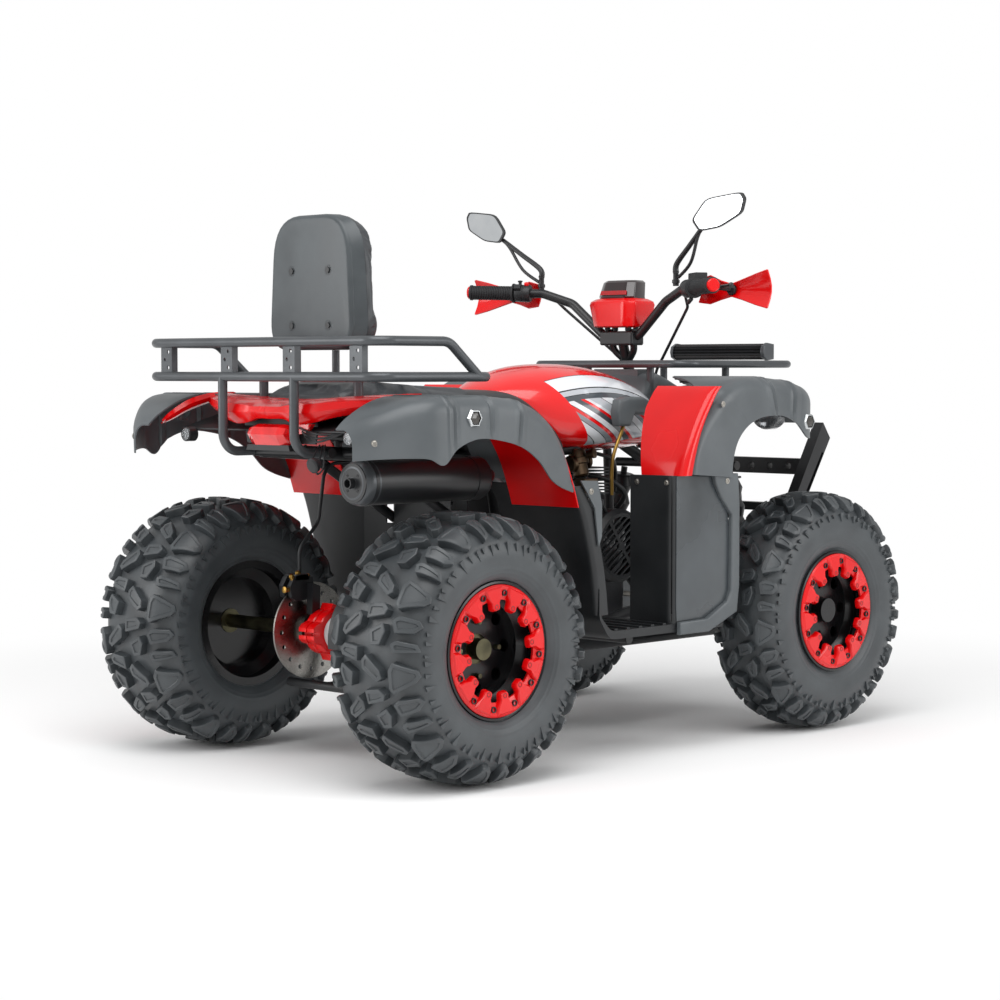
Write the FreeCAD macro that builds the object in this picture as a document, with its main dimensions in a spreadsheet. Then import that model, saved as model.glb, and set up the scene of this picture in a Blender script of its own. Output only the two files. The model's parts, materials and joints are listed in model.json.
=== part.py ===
# Utility quad bike with 22 inch tyres, red bead rings, tube racks and a padded backrest.
# Millimetres. X points forward, Y to the rider's left and Z up. The origin lies on the
# ground, midway along the whole length. Places along X are given from the rear axle.
import FreeCAD, Part
import Sketcher
import math
import os
import re
from types import SimpleNamespace

V = FreeCAD.Vector
X_DIR = V(1, 0, 0)
Y_DIR = V(0, 1, 0)
Z_DIR = V(0, 0, 1)
LEFT = 1
RIGHT = -1
FULL_TURN = 360
STRAIGHT = 0.01

# Every driving size, one group for each piece. "ahead" is measured from the rear axle,
# "side" from the middle plane and "high" from the ground.
SIZES = {
    # Stance
    "rear_axle_back": 610,
    "wheelbase": 1131,
    "tyre_radius": 279.5,
    "rear_track": 768,
    "front_track": 820,
    "overrun": 5,
    "fit": 0.3,
    "run_gap": 0.6,
    # Tyres
    "rear_tyre_width": 254,
    "front_tyre_width": 178,
    "tyre_bore_radius": 127.3,
    "lug_depth": 19,
    "lug_sink": 6,
    "bead_lap": 2,
    "lug_pitches": 11,
    "lug_length": 48,
    "shoulder_lug_length": 50,
    "lug_slant": 20,
    # Rims and bead rings
    "flange_radius": 142,
    "seat_radius": 127,
    "well_radius": 104,
    "rim_wall": 4,
    "rear_rim_half": 102,
    "front_rim_half": 76,
    "bead_seat": 27,
    "well_slope": 14,
    "rear_disc_out": 40,
    "front_disc_out": 28,
    "wheel_disc_thick": 6,
    "hub_bore_radius": 31,
    "stud_circle_radius": 55,
    "stud_radius": 5,
    "stud_hole_radius": 6,
    "stud_count": 4,
    "stud_stand": 12,
    "window_radius": 13,
    "window_circle_radius": 80,
    "window_count": 8,
    "ring_outer_radius": 135,
    "ring_crest_radius": 118,
    "ring_inner_radius": 93,
    "ring_edge_thick": 5,
    "ring_crest_thick": 9,
    "ring_lug_count": 12,
    "ring_lug_inner": 82,
    "ring_lug_outer": 122,
    "ring_lug_half": 13,
    "ring_lug_thick": 15,
    "ring_bolt_radius": 5,
    "ring_bolt_circle": 94,
    "ring_bolt_deep": 8,
    # Rear axle and what turns with it
    "axle_shaft_radius": 15,
    "hub_nose_radius": 22,
    "hub_nose_stand": 22,
    "hub_flange_radius": 68,
    "hub_flange_thick": 8,
    "hub_barrel_radius": 27,
    "hub_barrel_length": 62,
    "sprocket_side": 130,
    "sprocket_teeth": 36,
    "sprocket_thick": 6,
    "chain_pitch": 15.875,
    "roller_radius": 5.1,
    "tooth_stand": 4,
    "sprocket_hub_radius": 32,
    "sprocket_hub_half": 14,
    "brake_disc_side": 80,
    "brake_disc_radius": 105,
    "brake_disc_thick": 4,
    "brake_hub_radius": 36,
    "brake_hub_half": 12,
    "disc_hole_radius": 5,
    "disc_hole_circle": 84,
    "disc_hole_count": 16,
    # Axle carrier, caliper and chain guard
    "carrier_radius": 47,
    "carrier_side_low": -4,
    "carrier_side_high": 54,
    "sleeve_radius": 29,
    "sleeve_side_low": -96,
    "caliper_long": 72,
    "caliper_wide": 58,
    "caliper_tall": 62,
    "caliper_ahead": -30,
    "caliper_high": 372,
    "disc_gap": 3,
    "guard_radius": 118,
    "guard_wall": 3,
    "guard_half": 17,
    # Swingarm
    "pivot_ahead": 442,
    "pivot_high": 300,
    "pivot_half": 84,
    "arm_radius": 17,
    "arm_inset": 40,
    "skid_high": 160,
    "skid_radius": 10,
    "skid_side": 150,
    # Chain and engine sprocket
    "engine_sprocket_ahead": 520,
    "engine_sprocket_high": 330,
    "engine_sprocket_teeth": 13,
    "engine_sprocket_round": 46,
    "chain_plate_tall": 12,
    "chain_plate_thick": 2,
    "chain_plate_side": 5,
    # Frame
    "tube_radius": 14,
    "bend_radius": 60,
    "rail_side": 100,
    "rail_rear_ahead": -120,
    "rail_rear_high": 672,
    "rack_post_ahead": -68,
    "rack_post_side": 152,
    "rail_mid_ahead": 330,
    "rail_mid_high": 640,
    "rail_front_ahead": 985,
    "rail_front_high": 690,
    "rail_nose_ahead": 1245,
    "rail_nose_high": 560,
    "cradle_rear_ahead": 430,
    "cradle_high": 205,
    "cradle_rise": 60,
    "bulkhead_rear_ahead": 1012,
    "cross_radius": 11,
    "side_rail_radius": 9.5,
    "footbar_ahead": 470,
    "footbar_high": 262,
    "footbar_half": 430,
    "head_tube_radius": 21,
    "head_tube_half": 45,
    "head_along": 420,
    "foot_bearing_along": 62,
    "foot_bearing_half": 14,
    "post_radius": 9,
    # Engine
    "engine_rear_ahead": 515,
    "engine_front_ahead": 845,
    "engine_low": 219.3,
    "engine_high": 420,
    "engine_side_left": 150,
    "engine_side_right": 92,
    "engine_round": 22,
    "fan_ahead": 740,
    "fan_high": 436,
    "fan_radius": 86,
    "fan_side": 168,
    "fan_depth": 60,
    "fan_lip": 10,
    "fan_open_radius": 68,
    "fan_slat_count": 9,
    "fan_slat_half": 2.2,
    "fan_slat_thick": 6,
    "fan_turn": 35,
    "barrel_rear_ahead": 655,
    "barrel_long": 150,
    "barrel_low": 420,
    "barrel_tall": 118,
    "barrel_half": 62,
    "fin_count": 7,
    "fin_gap": 7,
    "fin_deep": 14,
    "carb_ahead": 590,
    "carb_high": 505,
    "carb_radius": 24,
    "carb_half": 52,
    "airbox_ahead": 400,
    "airbox_long": 120,
    "airbox_half": 88,
    "airbox_low": 505,
    "airbox_tall": 100,
    # Exhaust
    "muffler_rear_ahead": -185,
    "muffler_long": 340,
    "muffler_radius": 46,
    "muffler_side": 280,
    "muffler_high": 617,
    "muffler_cap_long": 16,
    "muffler_cap_radius": 40,
    "outlet_radius": 11,
    "outlet_long": 30,
    "pipe_radius": 16,
    "pipe_bend": 55,
    "pipe_turn_ahead": 195,
    "pipe_turn_high": 620,
    "pipe_inner_side": 140,
    "pipe_inner_ahead": 222,
    "pipe_inner_high": 634,
    "pipe_drop_ahead": 350,
    "pipe_drop_high": 600,
    "pipe_low_side": 172,
    "pipe_knee_ahead": 430,
    "pipe_knee_high": 470,
    "pipe_low_ahead": 640,
    "pipe_low_high": 255,
    "pipe_front_ahead": 898,
    "pipe_front_side": 120,
    "pipe_front_high": 285,
    "pipe_rise_side": 30,
    "pipe_rise_high": 380,
    "pipe_port_high": 440,
    "pipe_port_run": 40,
    # Rear mudguard panel and shock absorbers
    "mud_ahead": 236,
    "mud_half": 165,
    "mud_low": 405,
    "mud_high": 600,
    "mud_wall": 4,
    "mud_bow": 22,
    "mud_notch_low": 500,
    "shock_rod_radius": 8,
    "shock_body_radius": 17,
    "coil_radius": 26,
    "coil_deep": 8,
    "coil_turns": 7,
    "rear_shock_low_ahead": 290,
    "rear_shock_low_high": 304,
    "shock_eye_radius": 10,
    "front_shock_low_side": 238,
    "front_shock_low_high": 224,
    "front_shock_top_side": 168,
    "front_shock_top_high": 612,
    # Front suspension
    "kingpin_side": 335,
    "kingpin_radius": 14,
    "ball_radius": 16,
    "lower_ball_high": 205,
    "upper_ball_high": 354,
    "wishbone_radius": 11,
    "lower_pivot_high": 236,
    "lower_pivot_side": 150,
    "upper_pivot_high": 372,
    "upper_pivot_side": 150,
    "wishbone_half": 88,
    "spindle_radius": 11,
    "front_hub_radius": 40,
    "front_hub_length": 30,
    "front_cap_radius": 28,
    "front_cap_stand": 26,
    "knuckle_plate": 8,
    "knuckle_plate_radius": 44,
    "steer_arm_back": 60,
    "steer_arm_out": 20,
    "steer_arm_thick": 9,
    "steer_arm_half": 13,
    "rod_high": 285,
    "rod_radius": 7,
    "rod_ball_radius": 10,
    "rod_drop": 20,
    "rod_stud_radius": 4.5,
    "rod_stud_play": 1.6,
    # Steering stem and handlebar
    "rake": 18,
    "stem_radius": 12,
    "clamp_along": 652,
    "clamp_long": 46,
    "clamp_half": 52,
    "clamp_tall": 34,
    "bar_radius": 11,
    "bar_bend": 42,
    "bar_rise_side": 150,
    "bar_rise_back": 12,
    "bar_rise": 82,
    "bar_knee_side": 225,
    "bar_knee_back": 40,
    "bar_knee_rise": 108,
    "bar_end_side": 388,
    "bar_end_back": 128,
    "bar_end_rise": 112,
    "grip_radius": 17,
    "grip_long": 118,
    "grip_flange_radius": 24,
    "grip_flange_long": 5,
    "switch_radius": 21,
    "switch_long": 40,
    "lever_radius": 5,
    "lever_ahead": 48,
    # Hand guards, mirrors and dash
    "guard_ahead": 62,
    "guard_inner_side": 268,
    "guard_waist_side": 352,
    "guard_outer_side": 470,
    "guard_inner_half": 34,
    "guard_waist_half": 17,
    "guard_outer_half": 50,
    "guard_thick": 5,
    "guard_high": 1028,
    "mirror_ahead": 862,
    "mirror_side": 382,
    "mirror_high": 1214,
    "mirror_half_wide": 60,
    "mirror_half_tall": 33,
    "mirror_thick": 13,
    "mirror_tilt": 14,
    "mirror_stem_radius": 6,
    "mirror_bend": 30,
    "dash_half": 78,
    "dash_long": 96,
    "dash_low": 958,
    "dash_tall": 58,
    "dash_round": 16,
    "screen_half": 62,
    "screen_tall": 44,
    "screen_long": 54,
    # Tank cover and seat
    "tank_rear_ahead": 310,
    "tank_front_ahead": 905,
    "tank_half": 205,
    "tank_top": 856,
    "tank_low": 655,
    "tank_round": 60,
    "seat_rear_ahead": -95,
    "seat_front_ahead": 452,
    "seat_half": 148,
    "seat_top": 812,
    "seat_low": 706,
    "seat_round": 34,
    "seat_bar_ahead": 100,
    "shroud_half": 70,
    "shroud_low": 752,
    "shroud_high": 846,
    "shroud_long": 62,
    # Rear fender
    "skin": 4,
    "fender_side": 470,
    "fender_inner_side": 165,
    "fender_top": 792,
    "fender_rear_ahead": -268,
    "fender_rear_low": 655,
    "fender_crest_ahead": 130,
    "fender_front_ahead": 348,
    "fender_front_low": 345,
    "fender_round": 40,
    "fender_edge_round": 26,
    "arch_radius": 428,
    "rib_long": 16,
    "rib_stand": 4,
    "rib_count": 3,
    "tail_half": 300,
    "tail_low": 708,
    "tail_high": 782,
    "tail_front_ahead": -40,
    "tail_rear_ahead": -262,
    # Lamps
    "liner_start_share": 0.5,
    "liner_end_share": 1.0,
    "tail_lamp_inner_side": 60,
    "tail_lamp_outer_side": 250,
    "tail_lamp_low": 672,
    "tail_lamp_high": 704,
    "tail_lamp_deep": 50,
    "tail_lamp_mount": 25,
    "turn_radius": 17,
    "turn_long": 34,
    "turn_high": 752,
    "rear_turn_ahead": 2,
    "front_turn_ahead": 1028,
    # Footwells
    "foot_side": 452,
    "foot_inner_side": 205,
    "foot_floor_high": 286,
    "foot_floor_drop": 18,
    "foot_front_ahead": 775,
    "shield_rear_ahead": 585,
    "shield_inner_side": 330,
    "shield_top": 612,
    "foot_round": 34,
    "foot_rib_count": 5,
    "foot_rib_half": 5,
    # Front fender and red side panels
    "front_low_ahead": 600,
    "front_low": 616,
    "front_crest_ahead": 760,
    "front_top": 830,
    "front_nose_ahead": 1345,
    "front_nose_low": 690,
    "front_plan_ahead": 1045,
    "front_nose_half": 250,
    "front_gap_half": 92,
    "front_gap_ahead": 1060,
    "front_panel_side": 285,
    # Headlamps and bumper
    "headlamp_radius": 46,
    "headlamp_long": 52,
    "headlamp_side": 150,
    "headlamp_high": 742,
    "bumper_side": 184,
    "bumper_half": 15,
    "bumper_tip_ahead": 1498,
    "bumper_tip_high": 690,
    "bumper_foot_ahead": 1268,
    "bumper_foot_high": 380,
    "bumper_wide": 36,
    "beam_high": 600,
    "beam_tall": 40,
    "beam_low_high": 500,
    "beam_low_tall": 20,
    # Racks
    "rack_radius": 10,
    "rack_bend": 45,
    "rear_rack_rear": -212,
    "rear_rack_front": 112,
    "rear_rack_half": 372,
    "rear_rack_high": 830,
    "rack_rail_high": 902,
    "rack_rail_front": -20,
    "rack_bar_count": 3,
    "rack_plate_half": 17,
    "rack_plate_thick": 3,
    "rack_lip_long": 16,
    "rack_hole_radius": 4,
    "rack_leg_side": 115,
    "front_rack_rear": 872,
    "front_rack_front": 1288,
    "front_rack_half": 246,
    "front_rack_high": 858,
    "front_rack_radius": 9,
    "front_post_rear": 917,
    "front_post_front": 1200,
    "light_bar_half": 153,
    "light_bar_ahead": 1306,
    "light_bar_deep": 46,
    "light_bar_tall": 44,
    "light_fin_count": 10,
    "light_fin_gap": 2.4,
    "light_fin_deep": 9,
    # Backrest
    "hose_radius": 4,
    "hose_rise": 55,
    "hose_bend": 40,
    "cable_radius": 3.5,
    "cable_stand": 30,
    "cable_side": 18,
    "cable_out": 34,
    "cable_bend": 30,
    "rest_ahead": -62,
    "rest_half": 142,
    "rest_high": 886,
    "rest_tall": 286,
    "rest_thick": 72,
    "rest_shell": 16,
    "rest_round": 62,
    "rest_bolt_side": 62,
    "rest_bolt_low": 58,
    "rest_bolt_step": 110,
    "rest_bolt_radius": 5,
    # Gear lever
    "lever_foot_ahead": 640,
    "lever_foot_high": 560,
    "lever_top_high": 745,
    "lever_side": 226,
    "lever_rod_radius": 6,
    "lever_knob_half": 26,
    "lever_knob_radius": 12,
}

doc = FreeCAD.newDocument("QuadBike")
sheet = doc.addObject("Spreadsheet::Sheet", "Sizes")
for row, (name, value) in enumerate(SIZES.items(), start=1):
    sheet.set("A%d" % row, name)
    sheet.set("B%d" % row, str(value))
    sheet.setAlias("B%d" % row, name)
doc.recompute()
S = SimpleNamespace(**{name: float(sheet.get(name)) for name in SIZES})


def spot(ahead, side, high):
    """A point from its distance ahead of the rear axle, its side and its height."""
    return V(ahead - S.rear_axle_back, side, high)


def bound(text):
    """The same sum, read from the sheet."""
    return re.sub(r"([a-z]\w*)", r"Sizes.\1", text)


def number(text):
    """What a sum of the sheet's names comes to."""
    return float(sheet.evalExpression(text))


def feature(label, shape):
    """A sub-part whose shape is made by Part's own functions."""
    thing = doc.addObject("Part::Feature", label)
    thing.Label = label
    thing.Shape = shape
    return thing


def joined(shapes):
    """One shape from pieces that meet or overlap."""
    if len(shapes) == 1:
        return shapes[0]
    return shapes[0].multiFuse(shapes[1:]).removeSplitter()


def together(shapes):
    """Like pieces that don't touch, in one shape."""
    solids = []
    for shape in shapes:
        solids.extend(shape.Solids)
    return Part.makeCompound(solids)


def largest(shape, count=1):
    """The largest solids of a cut shape, without its crumbs."""
    solids = sorted(shape.Solids, key=lambda solid: solid.Volume)[-count:]
    return Part.makeCompound(solids) if count > 1 else solids[0]


def mirrored(shape):
    """The same shape on the other side of the middle plane."""
    return shape.mirror(V(0, 0, 0), Y_DIR)


def both_sides(shape):
    return together([shape, mirrored(shape)])


def box(ahead, side, high, long, wide, tall):
    """A block from the corner that lies rearmost, rightmost and lowest."""
    return Part.makeBox(long, wide, tall, spot(ahead, side, high))


def rod(start, end, radius):
    """A round bar from one point to another."""
    run = end - start
    return Part.makeCylinder(radius, run.Length, start, run)


def rounded_edges(points, bend):
    """Straight runs joined by tangent arcs, each no larger than its runs allow."""
    edges = []
    apart = [point for index, point in enumerate(points)
             if index == 0 or (point - points[index - 1]).Length > S.fit]
    points = apart
    start = points[0]
    for before, corner, after in zip(points, points[1:], points[2:]):
        toward = (before - corner).normalize()
        away = (after - corner).normalize()
        half_turn = (math.pi - toward.getAngle(away)) / 2
        if half_turn < STRAIGHT:
            continue
        room = min((before - corner).Length, (after - corner).Length) / 2
        reach = min(bend * math.tan(half_turn), room)
        first = corner + toward * reach
        last = corner + away * reach
        inward = (toward + away).normalize()
        radius = reach / math.tan(half_turn)
        middle = corner + inward * (radius / math.cos(half_turn) - radius)
        if (first - start).Length > S.fit:
            edges.append(Part.LineSegment(start, first).toShape())
        edges.append(Part.Arc(first, middle, last).toShape())
        start = last
    edges.append(Part.LineSegment(start, points[-1]).toShape())
    return edges


def bent_run(edge, radius):
    """One straight or curved stretch of a round tube."""
    start = edge.valueAt(edge.FirstParameter)
    along = edge.tangentAt(edge.FirstParameter)
    if isinstance(edge.Curve, Part.Line):
        return Part.makeCylinder(radius, edge.Length, start, along)
    disc = Part.Face(Part.Wire([Part.Circle(start, along, radius).toShape()]))
    turn = math.degrees(edge.LastParameter - edge.FirstParameter)
    return disc.revolve(edge.Curve.Center, edge.Curve.Axis, turn)


def tube(points, radius, bend):
    """A round tube, as solid bar, along a bent path."""
    return joined([bent_run(edge, radius) for edge in rounded_edges(points, bend)]).Solids[0]


def ring_tube(corners, radius, bend):
    """A closed tube loop through its corners, from the middle of its last side."""
    start = (corners[0] + corners[-1]) * 0.5
    return tube([start] + corners + [start], radius, bend)


def flat_solid(faces):
    """A solid from the corners of its flat faces."""
    shell = Part.Shell([Part.Face(Part.makePolygon(face + face[:1])) for face in faces])
    solid = Part.Solid(shell)
    if solid.Volume < 0:
        solid.reverse()
    return solid


def block_between(first, last):
    """A block with flat sides between two four-cornered ends."""
    sides = []
    for index in range(4):
        after = (index + 1) % 4
        sides.append([first[index], first[after], last[after], last[index]])
    return flat_solid([first[::-1], last] + sides)


def slab(points, bend, push):
    """A plate with rounded corners, pushed along a vector."""
    middle = (points[0] + points[-1]) * 0.5
    edges = rounded_edges([middle] + points + [middle], bend)
    return Part.Face(Part.Wire(edges)).extrude(push)


def prism(points, push):
    """A plate with sharp corners, pushed along a vector."""
    return Part.Face(Part.makePolygon(points + points[:1])).extrude(push)


def section_wire(ahead, half, low, high, bend):
    """A rounded upright section across the machine."""
    corners = [spot(ahead, -half, low), spot(ahead, half, low), spot(ahead, half, high), spot(ahead, -half, high)]
    middle = (corners[0] + corners[-1]) * 0.5
    return Part.Wire(rounded_edges([middle] + corners + [middle], bend))


def revolved(points, foot, along):
    """A solid of revolution from radius and height pairs, stood on a point along a line."""
    face = Part.Face(Part.makePolygon([V(radius, 0, high) for radius, high in points + points[:1]]))
    solid = face.revolve(V(0, 0, 0), Z_DIR, FULL_TURN)
    solid.Placement = FreeCAD.Placement(foot, FreeCAD.Rotation(Z_DIR, along))
    return solid


def plane(body, role):
    return [item for item in body.Origin.OriginFeatures if item.Role == role][0]


def sketch(body, label, role, lift="0"):
    """An empty sketch on one of the body's own planes, lifted off it."""
    drawing = body.newObject("Sketcher::SketchObject", label)
    drawing.AttachmentSupport = [(plane(body, role), "")]
    drawing.MapMode = "FlatFace"
    drawing.setExpression("AttachmentOffset.Base.z", bound(lift))
    return drawing


def outline(drawing, points):
    """A closed outline whose corners follow the sheet."""
    places = [V(number(across), number(up), 0) for across, up in points]
    count = len(points)
    for index in range(count):
        drawing.addGeometry(Part.LineSegment(places[index], places[(index + 1) % count]), False)
    for index in range(count):
        drawing.addConstraint(Sketcher.Constraint("Coincident", index, 2, (index + 1) % count, 1))
    for index, (across, up) in enumerate(points):
        for kind, text, place in (("DistanceX", across, places[index].x), ("DistanceY", up, places[index].y)):
            pinned = drawing.addConstraint(Sketcher.Constraint(kind, -1, 1, index, 1, place))
            drawing.setExpression("Constraints[%d]" % pinned, bound(text))


def circle(drawing, across, up, radius):
    """A circle whose centre and radius follow the sheet."""
    place = V(number(across), number(up), 0)
    drawn = drawing.addGeometry(Part.Circle(place, Z_DIR, number(radius)), False)
    sized = drawing.addConstraint(Sketcher.Constraint("Radius", drawn, number(radius)))
    drawing.setExpression("Constraints[%d]" % sized, bound(radius))
    for kind, text, amount in (("DistanceX", across, place.x), ("DistanceY", up, place.y)):
        pinned = drawing.addConstraint(Sketcher.Constraint(kind, -1, 1, drawn, 3, amount))
        drawing.setExpression("Constraints[%d]" % pinned, bound(text))


def turned(body, label, points):
    """A solid of revolution about the body's Z axis, from radius and height pairs."""
    drawing = sketch(body, label + "Profile", "XZ_Plane")
    outline(drawing, points)
    spun = body.newObject("PartDesign::Revolution", label)
    spun.Profile = drawing
    spun.ReferenceAxis = (drawing, ["V_Axis"])
    spun.Angle = FULL_TURN
    drawing.Visibility = False
    return spun


def padded(body, label, drawing, length, down=False):
    raised = body.newObject("PartDesign::Pad", label)
    raised.Profile = drawing
    raised.setExpression("Length", bound(length))
    raised.Reversed = down
    return raised


def pocketed(body, label, drawing, length, up=False):
    hole = body.newObject("PartDesign::Pocket", label)
    hole.Profile = drawing
    hole.setExpression("Length", bound(length))
    hole.Reversed = up
    return hole


def around(body, label, original, count):
    """Copies of a feature round the body's Z axis."""
    pattern = body.newObject("PartDesign::PolarPattern", label)
    pattern.Originals = [original]
    pattern.Axis = (plane(body, "Z_Axis"), [""])
    pattern.Angle = FULL_TURN
    pattern.setExpression("Occurrences", bound(count))
    body.Tip = pattern
    return pattern


def new_body(label):
    body = doc.addObject("PartDesign::Body", label)
    body.Label = label
    return body


def wheel_place(ahead, side, hand):
    """Where a wheel's own frame goes: its Z axis points away from the machine."""
    turn = FreeCAD.Rotation(X_DIR, -90 * hand)
    return FreeCAD.Placement(spot(ahead, side * hand, S.tyre_radius), turn)


PARTS = []


def keep(thing):
    """Lists an object as one of the sub-parts that are written out."""
    PARTS.append(thing)
    return thing


# Tyres. Half the carcass section above the bead, as shares of the rubber's depth and half
# width, then the tread: a chevron and two shoulder lugs for each pitch.
CARCASS_SHARES = [(0.46, 1.0), (0.84, 0.90), (1.0, 0.58)]
CHEVRON_SHARE = 0.50
SHOULDER_START_SHARE = 0.56
SHOULDER_END_SHARE = 0.95
SHOULDER_TOP_SHARE = 0.86
SHOULDER_FLOOR_SHARE = 0.52


def tyre_shape(width, rim_half):
    flats = int(S.lug_pitches) * 2
    crown = S.tyre_radius - S.lug_depth
    depth = crown - S.tyre_bore_radius
    corner_stretch = 1 / math.cos(math.pi / flats)
    bead_half = rim_half - S.rim_wall - S.fit
    section = [(S.tyre_bore_radius, bead_half), (S.flange_radius + S.bead_lap, bead_half)]
    for deep, wide in CARCASS_SHARES:
        section.append((S.tyre_bore_radius + depth * deep, width / 2 * wide))
    section = [(radius * corner_stretch, half) for radius, half in section]
    section += [(radius, -half) for radius, half in section[::-1]]
    faces = []
    for flat in range(flats):
        near = 2 * math.pi * flat / flats
        far = 2 * math.pi * (flat + 1) / flats
        for index, (radius, along) in enumerate(section):
            next_radius, next_along = section[(index + 1) % len(section)]
            faces.append([
                V(radius * math.cos(near), radius * math.sin(near), along),
                V(next_radius * math.cos(near), next_radius * math.sin(near), next_along),
                V(next_radius * math.cos(far), next_radius * math.sin(far), next_along),
                V(radius * math.cos(far), radius * math.sin(far), along),
            ])
    carcass = flat_solid(faces)
    lugs = []
    for pitch in range(int(S.lug_pitches)):
        turn = FULL_TURN * (pitch * 2 + 0.5) / flats
        for side in (1, -1):
            half = side * width / 2
            lugs.append(chevron(half * CHEVRON_SHARE, turn))
            lugs.append(shoulder_lug(half, turn + FULL_TURN / flats))
    return carcass.multiFuse(lugs).removeSplitter()


def lug(stations, length, turn):
    """A tread block between two stations: place across, push round, floor and top."""
    ends = []
    for along, push, low, high in stations:
        ends.append([
            V(low, push - length / 2, along), V(high, push - length / 2, along),
            V(high, push + length / 2, along), V(low, push + length / 2, along),
        ])
    block = block_between(ends[0], ends[1])
    block.rotate(V(0, 0, 0), Z_DIR, turn)
    return block


def reach_top(half_long):
    """How high a flat top may lie for its far corners to touch the tyre's outer radius."""
    return math.sqrt(S.tyre_radius ** 2 - half_long ** 2)


def chevron(end, turn):
    """Half of a V block, from the middle of the tread outwards."""
    push = S.lug_slant / 2
    top = reach_top(push + S.lug_length / 2)
    floor = S.tyre_radius - S.lug_depth - S.lug_sink
    return lug([(0, -push, floor, top), (end, push, floor, top)], S.lug_length, turn)


def shoulder_lug(half, turn):
    """A block that wraps from the tread's edge down the sidewall."""
    rubber = S.tyre_radius - S.tyre_bore_radius
    floor = S.tyre_radius - S.lug_depth - S.lug_sink
    stations = [(half * SHOULDER_START_SHARE, 0, floor, reach_top(S.shoulder_lug_length / 2)),
                (half * SHOULDER_END_SHARE, 0, S.tyre_bore_radius + rubber * SHOULDER_FLOOR_SHARE,
                 S.tyre_bore_radius + rubber * SHOULDER_TOP_SHARE)]
    return lug(stations, S.shoulder_lug_length, turn)


def make_tyres():
    for end, width, rim_half, ahead, track in (
            ("rear", S.rear_tyre_width, S.rear_rim_half, 0, S.rear_track),
            ("front", S.front_tyre_width, S.front_rim_half, S.wheelbase, S.front_track)):
        left = moved(tyre_shape(width, rim_half), wheel_place(ahead, track / 2, LEFT))
        keep(feature(end + "_tyre_left", left))
        keep(feature(end + "_tyre_right", mirrored(left)))


# Rims: a turned barrel with two bead seats, a drop centre and a pierced disc.
def rim_body(label, half, disc_out, hub):
    body = new_body(label)
    turned(body, label + "Barrel", [
        ("flange_radius", "-" + half), ("flange_radius", "rim_wall - " + half),
        ("seat_radius", "rim_wall - " + half), ("seat_radius", "bead_seat - " + half),
        ("well_radius", "bead_seat + well_slope - " + half),
        ("well_radius", half + " - bead_seat - well_slope"),
        ("seat_radius", half + " - bead_seat"), ("seat_radius", half + " - rim_wall"),
        ("flange_radius", half + " - rim_wall"), ("flange_radius", half),
        ("seat_radius - rim_wall", half), ("seat_radius - rim_wall", half + " - bead_seat"),
        ("well_radius - rim_wall", half + " - bead_seat - well_slope"),
        ("well_radius - rim_wall", "bead_seat + well_slope - " + half),
        ("seat_radius - rim_wall", "bead_seat - " + half), ("seat_radius - rim_wall", "-" + half),
    ])
    turned(body, label + "Disc", [
        ("hub_bore_radius", disc_out), ("well_radius - rim_wall / 2", disc_out),
        ("well_radius - rim_wall / 2", disc_out + " + wheel_disc_thick"),
        ("hub_bore_radius", disc_out + " + wheel_disc_thick"),
    ])
    stud_holes = sketch(body, label + "StudHole", "XY_Plane", disc_out + " - overrun")
    circle(stud_holes, "stud_circle_radius", "0 * fit", "stud_hole_radius")
    doc.recompute()
    first = pocketed(body, label + "StudPocket", stud_holes, "wheel_disc_thick + 2 * overrun", up=True)
    doc.recompute()
    around(body, label + "StudHoles", first, "stud_count")
    windows = sketch(body, label + "Window", "XY_Plane", disc_out + " - overrun")
    circle(windows, "window_circle_radius", "0 * fit", "window_radius")
    doc.recompute()
    second = pocketed(body, label + "WindowPocket", windows, "wheel_disc_thick + 2 * overrun", up=True)
    doc.recompute()
    around(body, label + "Windows", second, "window_count")
    if hub:
        turned(body, label + "Hub", [
            ("spindle_radius + run_gap", disc_out + " - front_hub_length"),
            ("front_hub_radius", disc_out + " - front_hub_length"),
            ("front_hub_radius", disc_out + " + fit"), ("front_cap_radius", disc_out + " + fit"),
            ("front_cap_radius", disc_out + " + wheel_disc_thick + front_cap_stand"),
            ("0 * fit", disc_out + " + wheel_disc_thick + front_cap_stand"),
            ("0 * fit", disc_out + " + fit"), ("spindle_radius + run_gap", disc_out + " + fit"),
        ])
    doc.recompute()
    return body


# Bead rings: a coned red ring with twelve wedge blocks that reach inwards.
def ring_body(label, half):
    body = new_body(label)
    back = half + " + fit"
    turned(body, label + "Cone", [
        ("ring_inner_radius", back), ("ring_outer_radius", back),
        ("ring_outer_radius", back + " + ring_edge_thick"),
        ("ring_crest_radius", back + " + ring_crest_thick"),
        ("ring_inner_radius", back + " + ring_edge_thick"),
    ])
    block = sketch(body, label + "Block", "XY_Plane", back)
    outline(block, [
        ("ring_lug_inner", "-ring_lug_half / 2"), ("ring_bolt_circle", "-ring_lug_half"),
        ("ring_lug_outer", "-ring_lug_half / 2"), ("ring_lug_outer", "ring_lug_half / 2"),
        ("ring_bolt_circle", "ring_lug_half"), ("ring_lug_inner", "ring_lug_half / 2"),
    ])
    doc.recompute()
    raised = padded(body, label + "Lug", block, "ring_lug_thick")
    doc.recompute()
    around(body, label + "Lugs", raised, "ring_lug_count")
    bolt = sketch(body, label + "Bolt", "XY_Plane", back + " + ring_lug_thick")
    circle(bolt, "ring_bolt_circle", "0 * fit", "ring_bolt_radius")
    doc.recompute()
    sunk = pocketed(body, label + "BoltSeat", bolt, "ring_bolt_deep")
    doc.recompute()
    around(body, label + "BoltSeats", sunk, "ring_lug_count")
    return body


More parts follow.
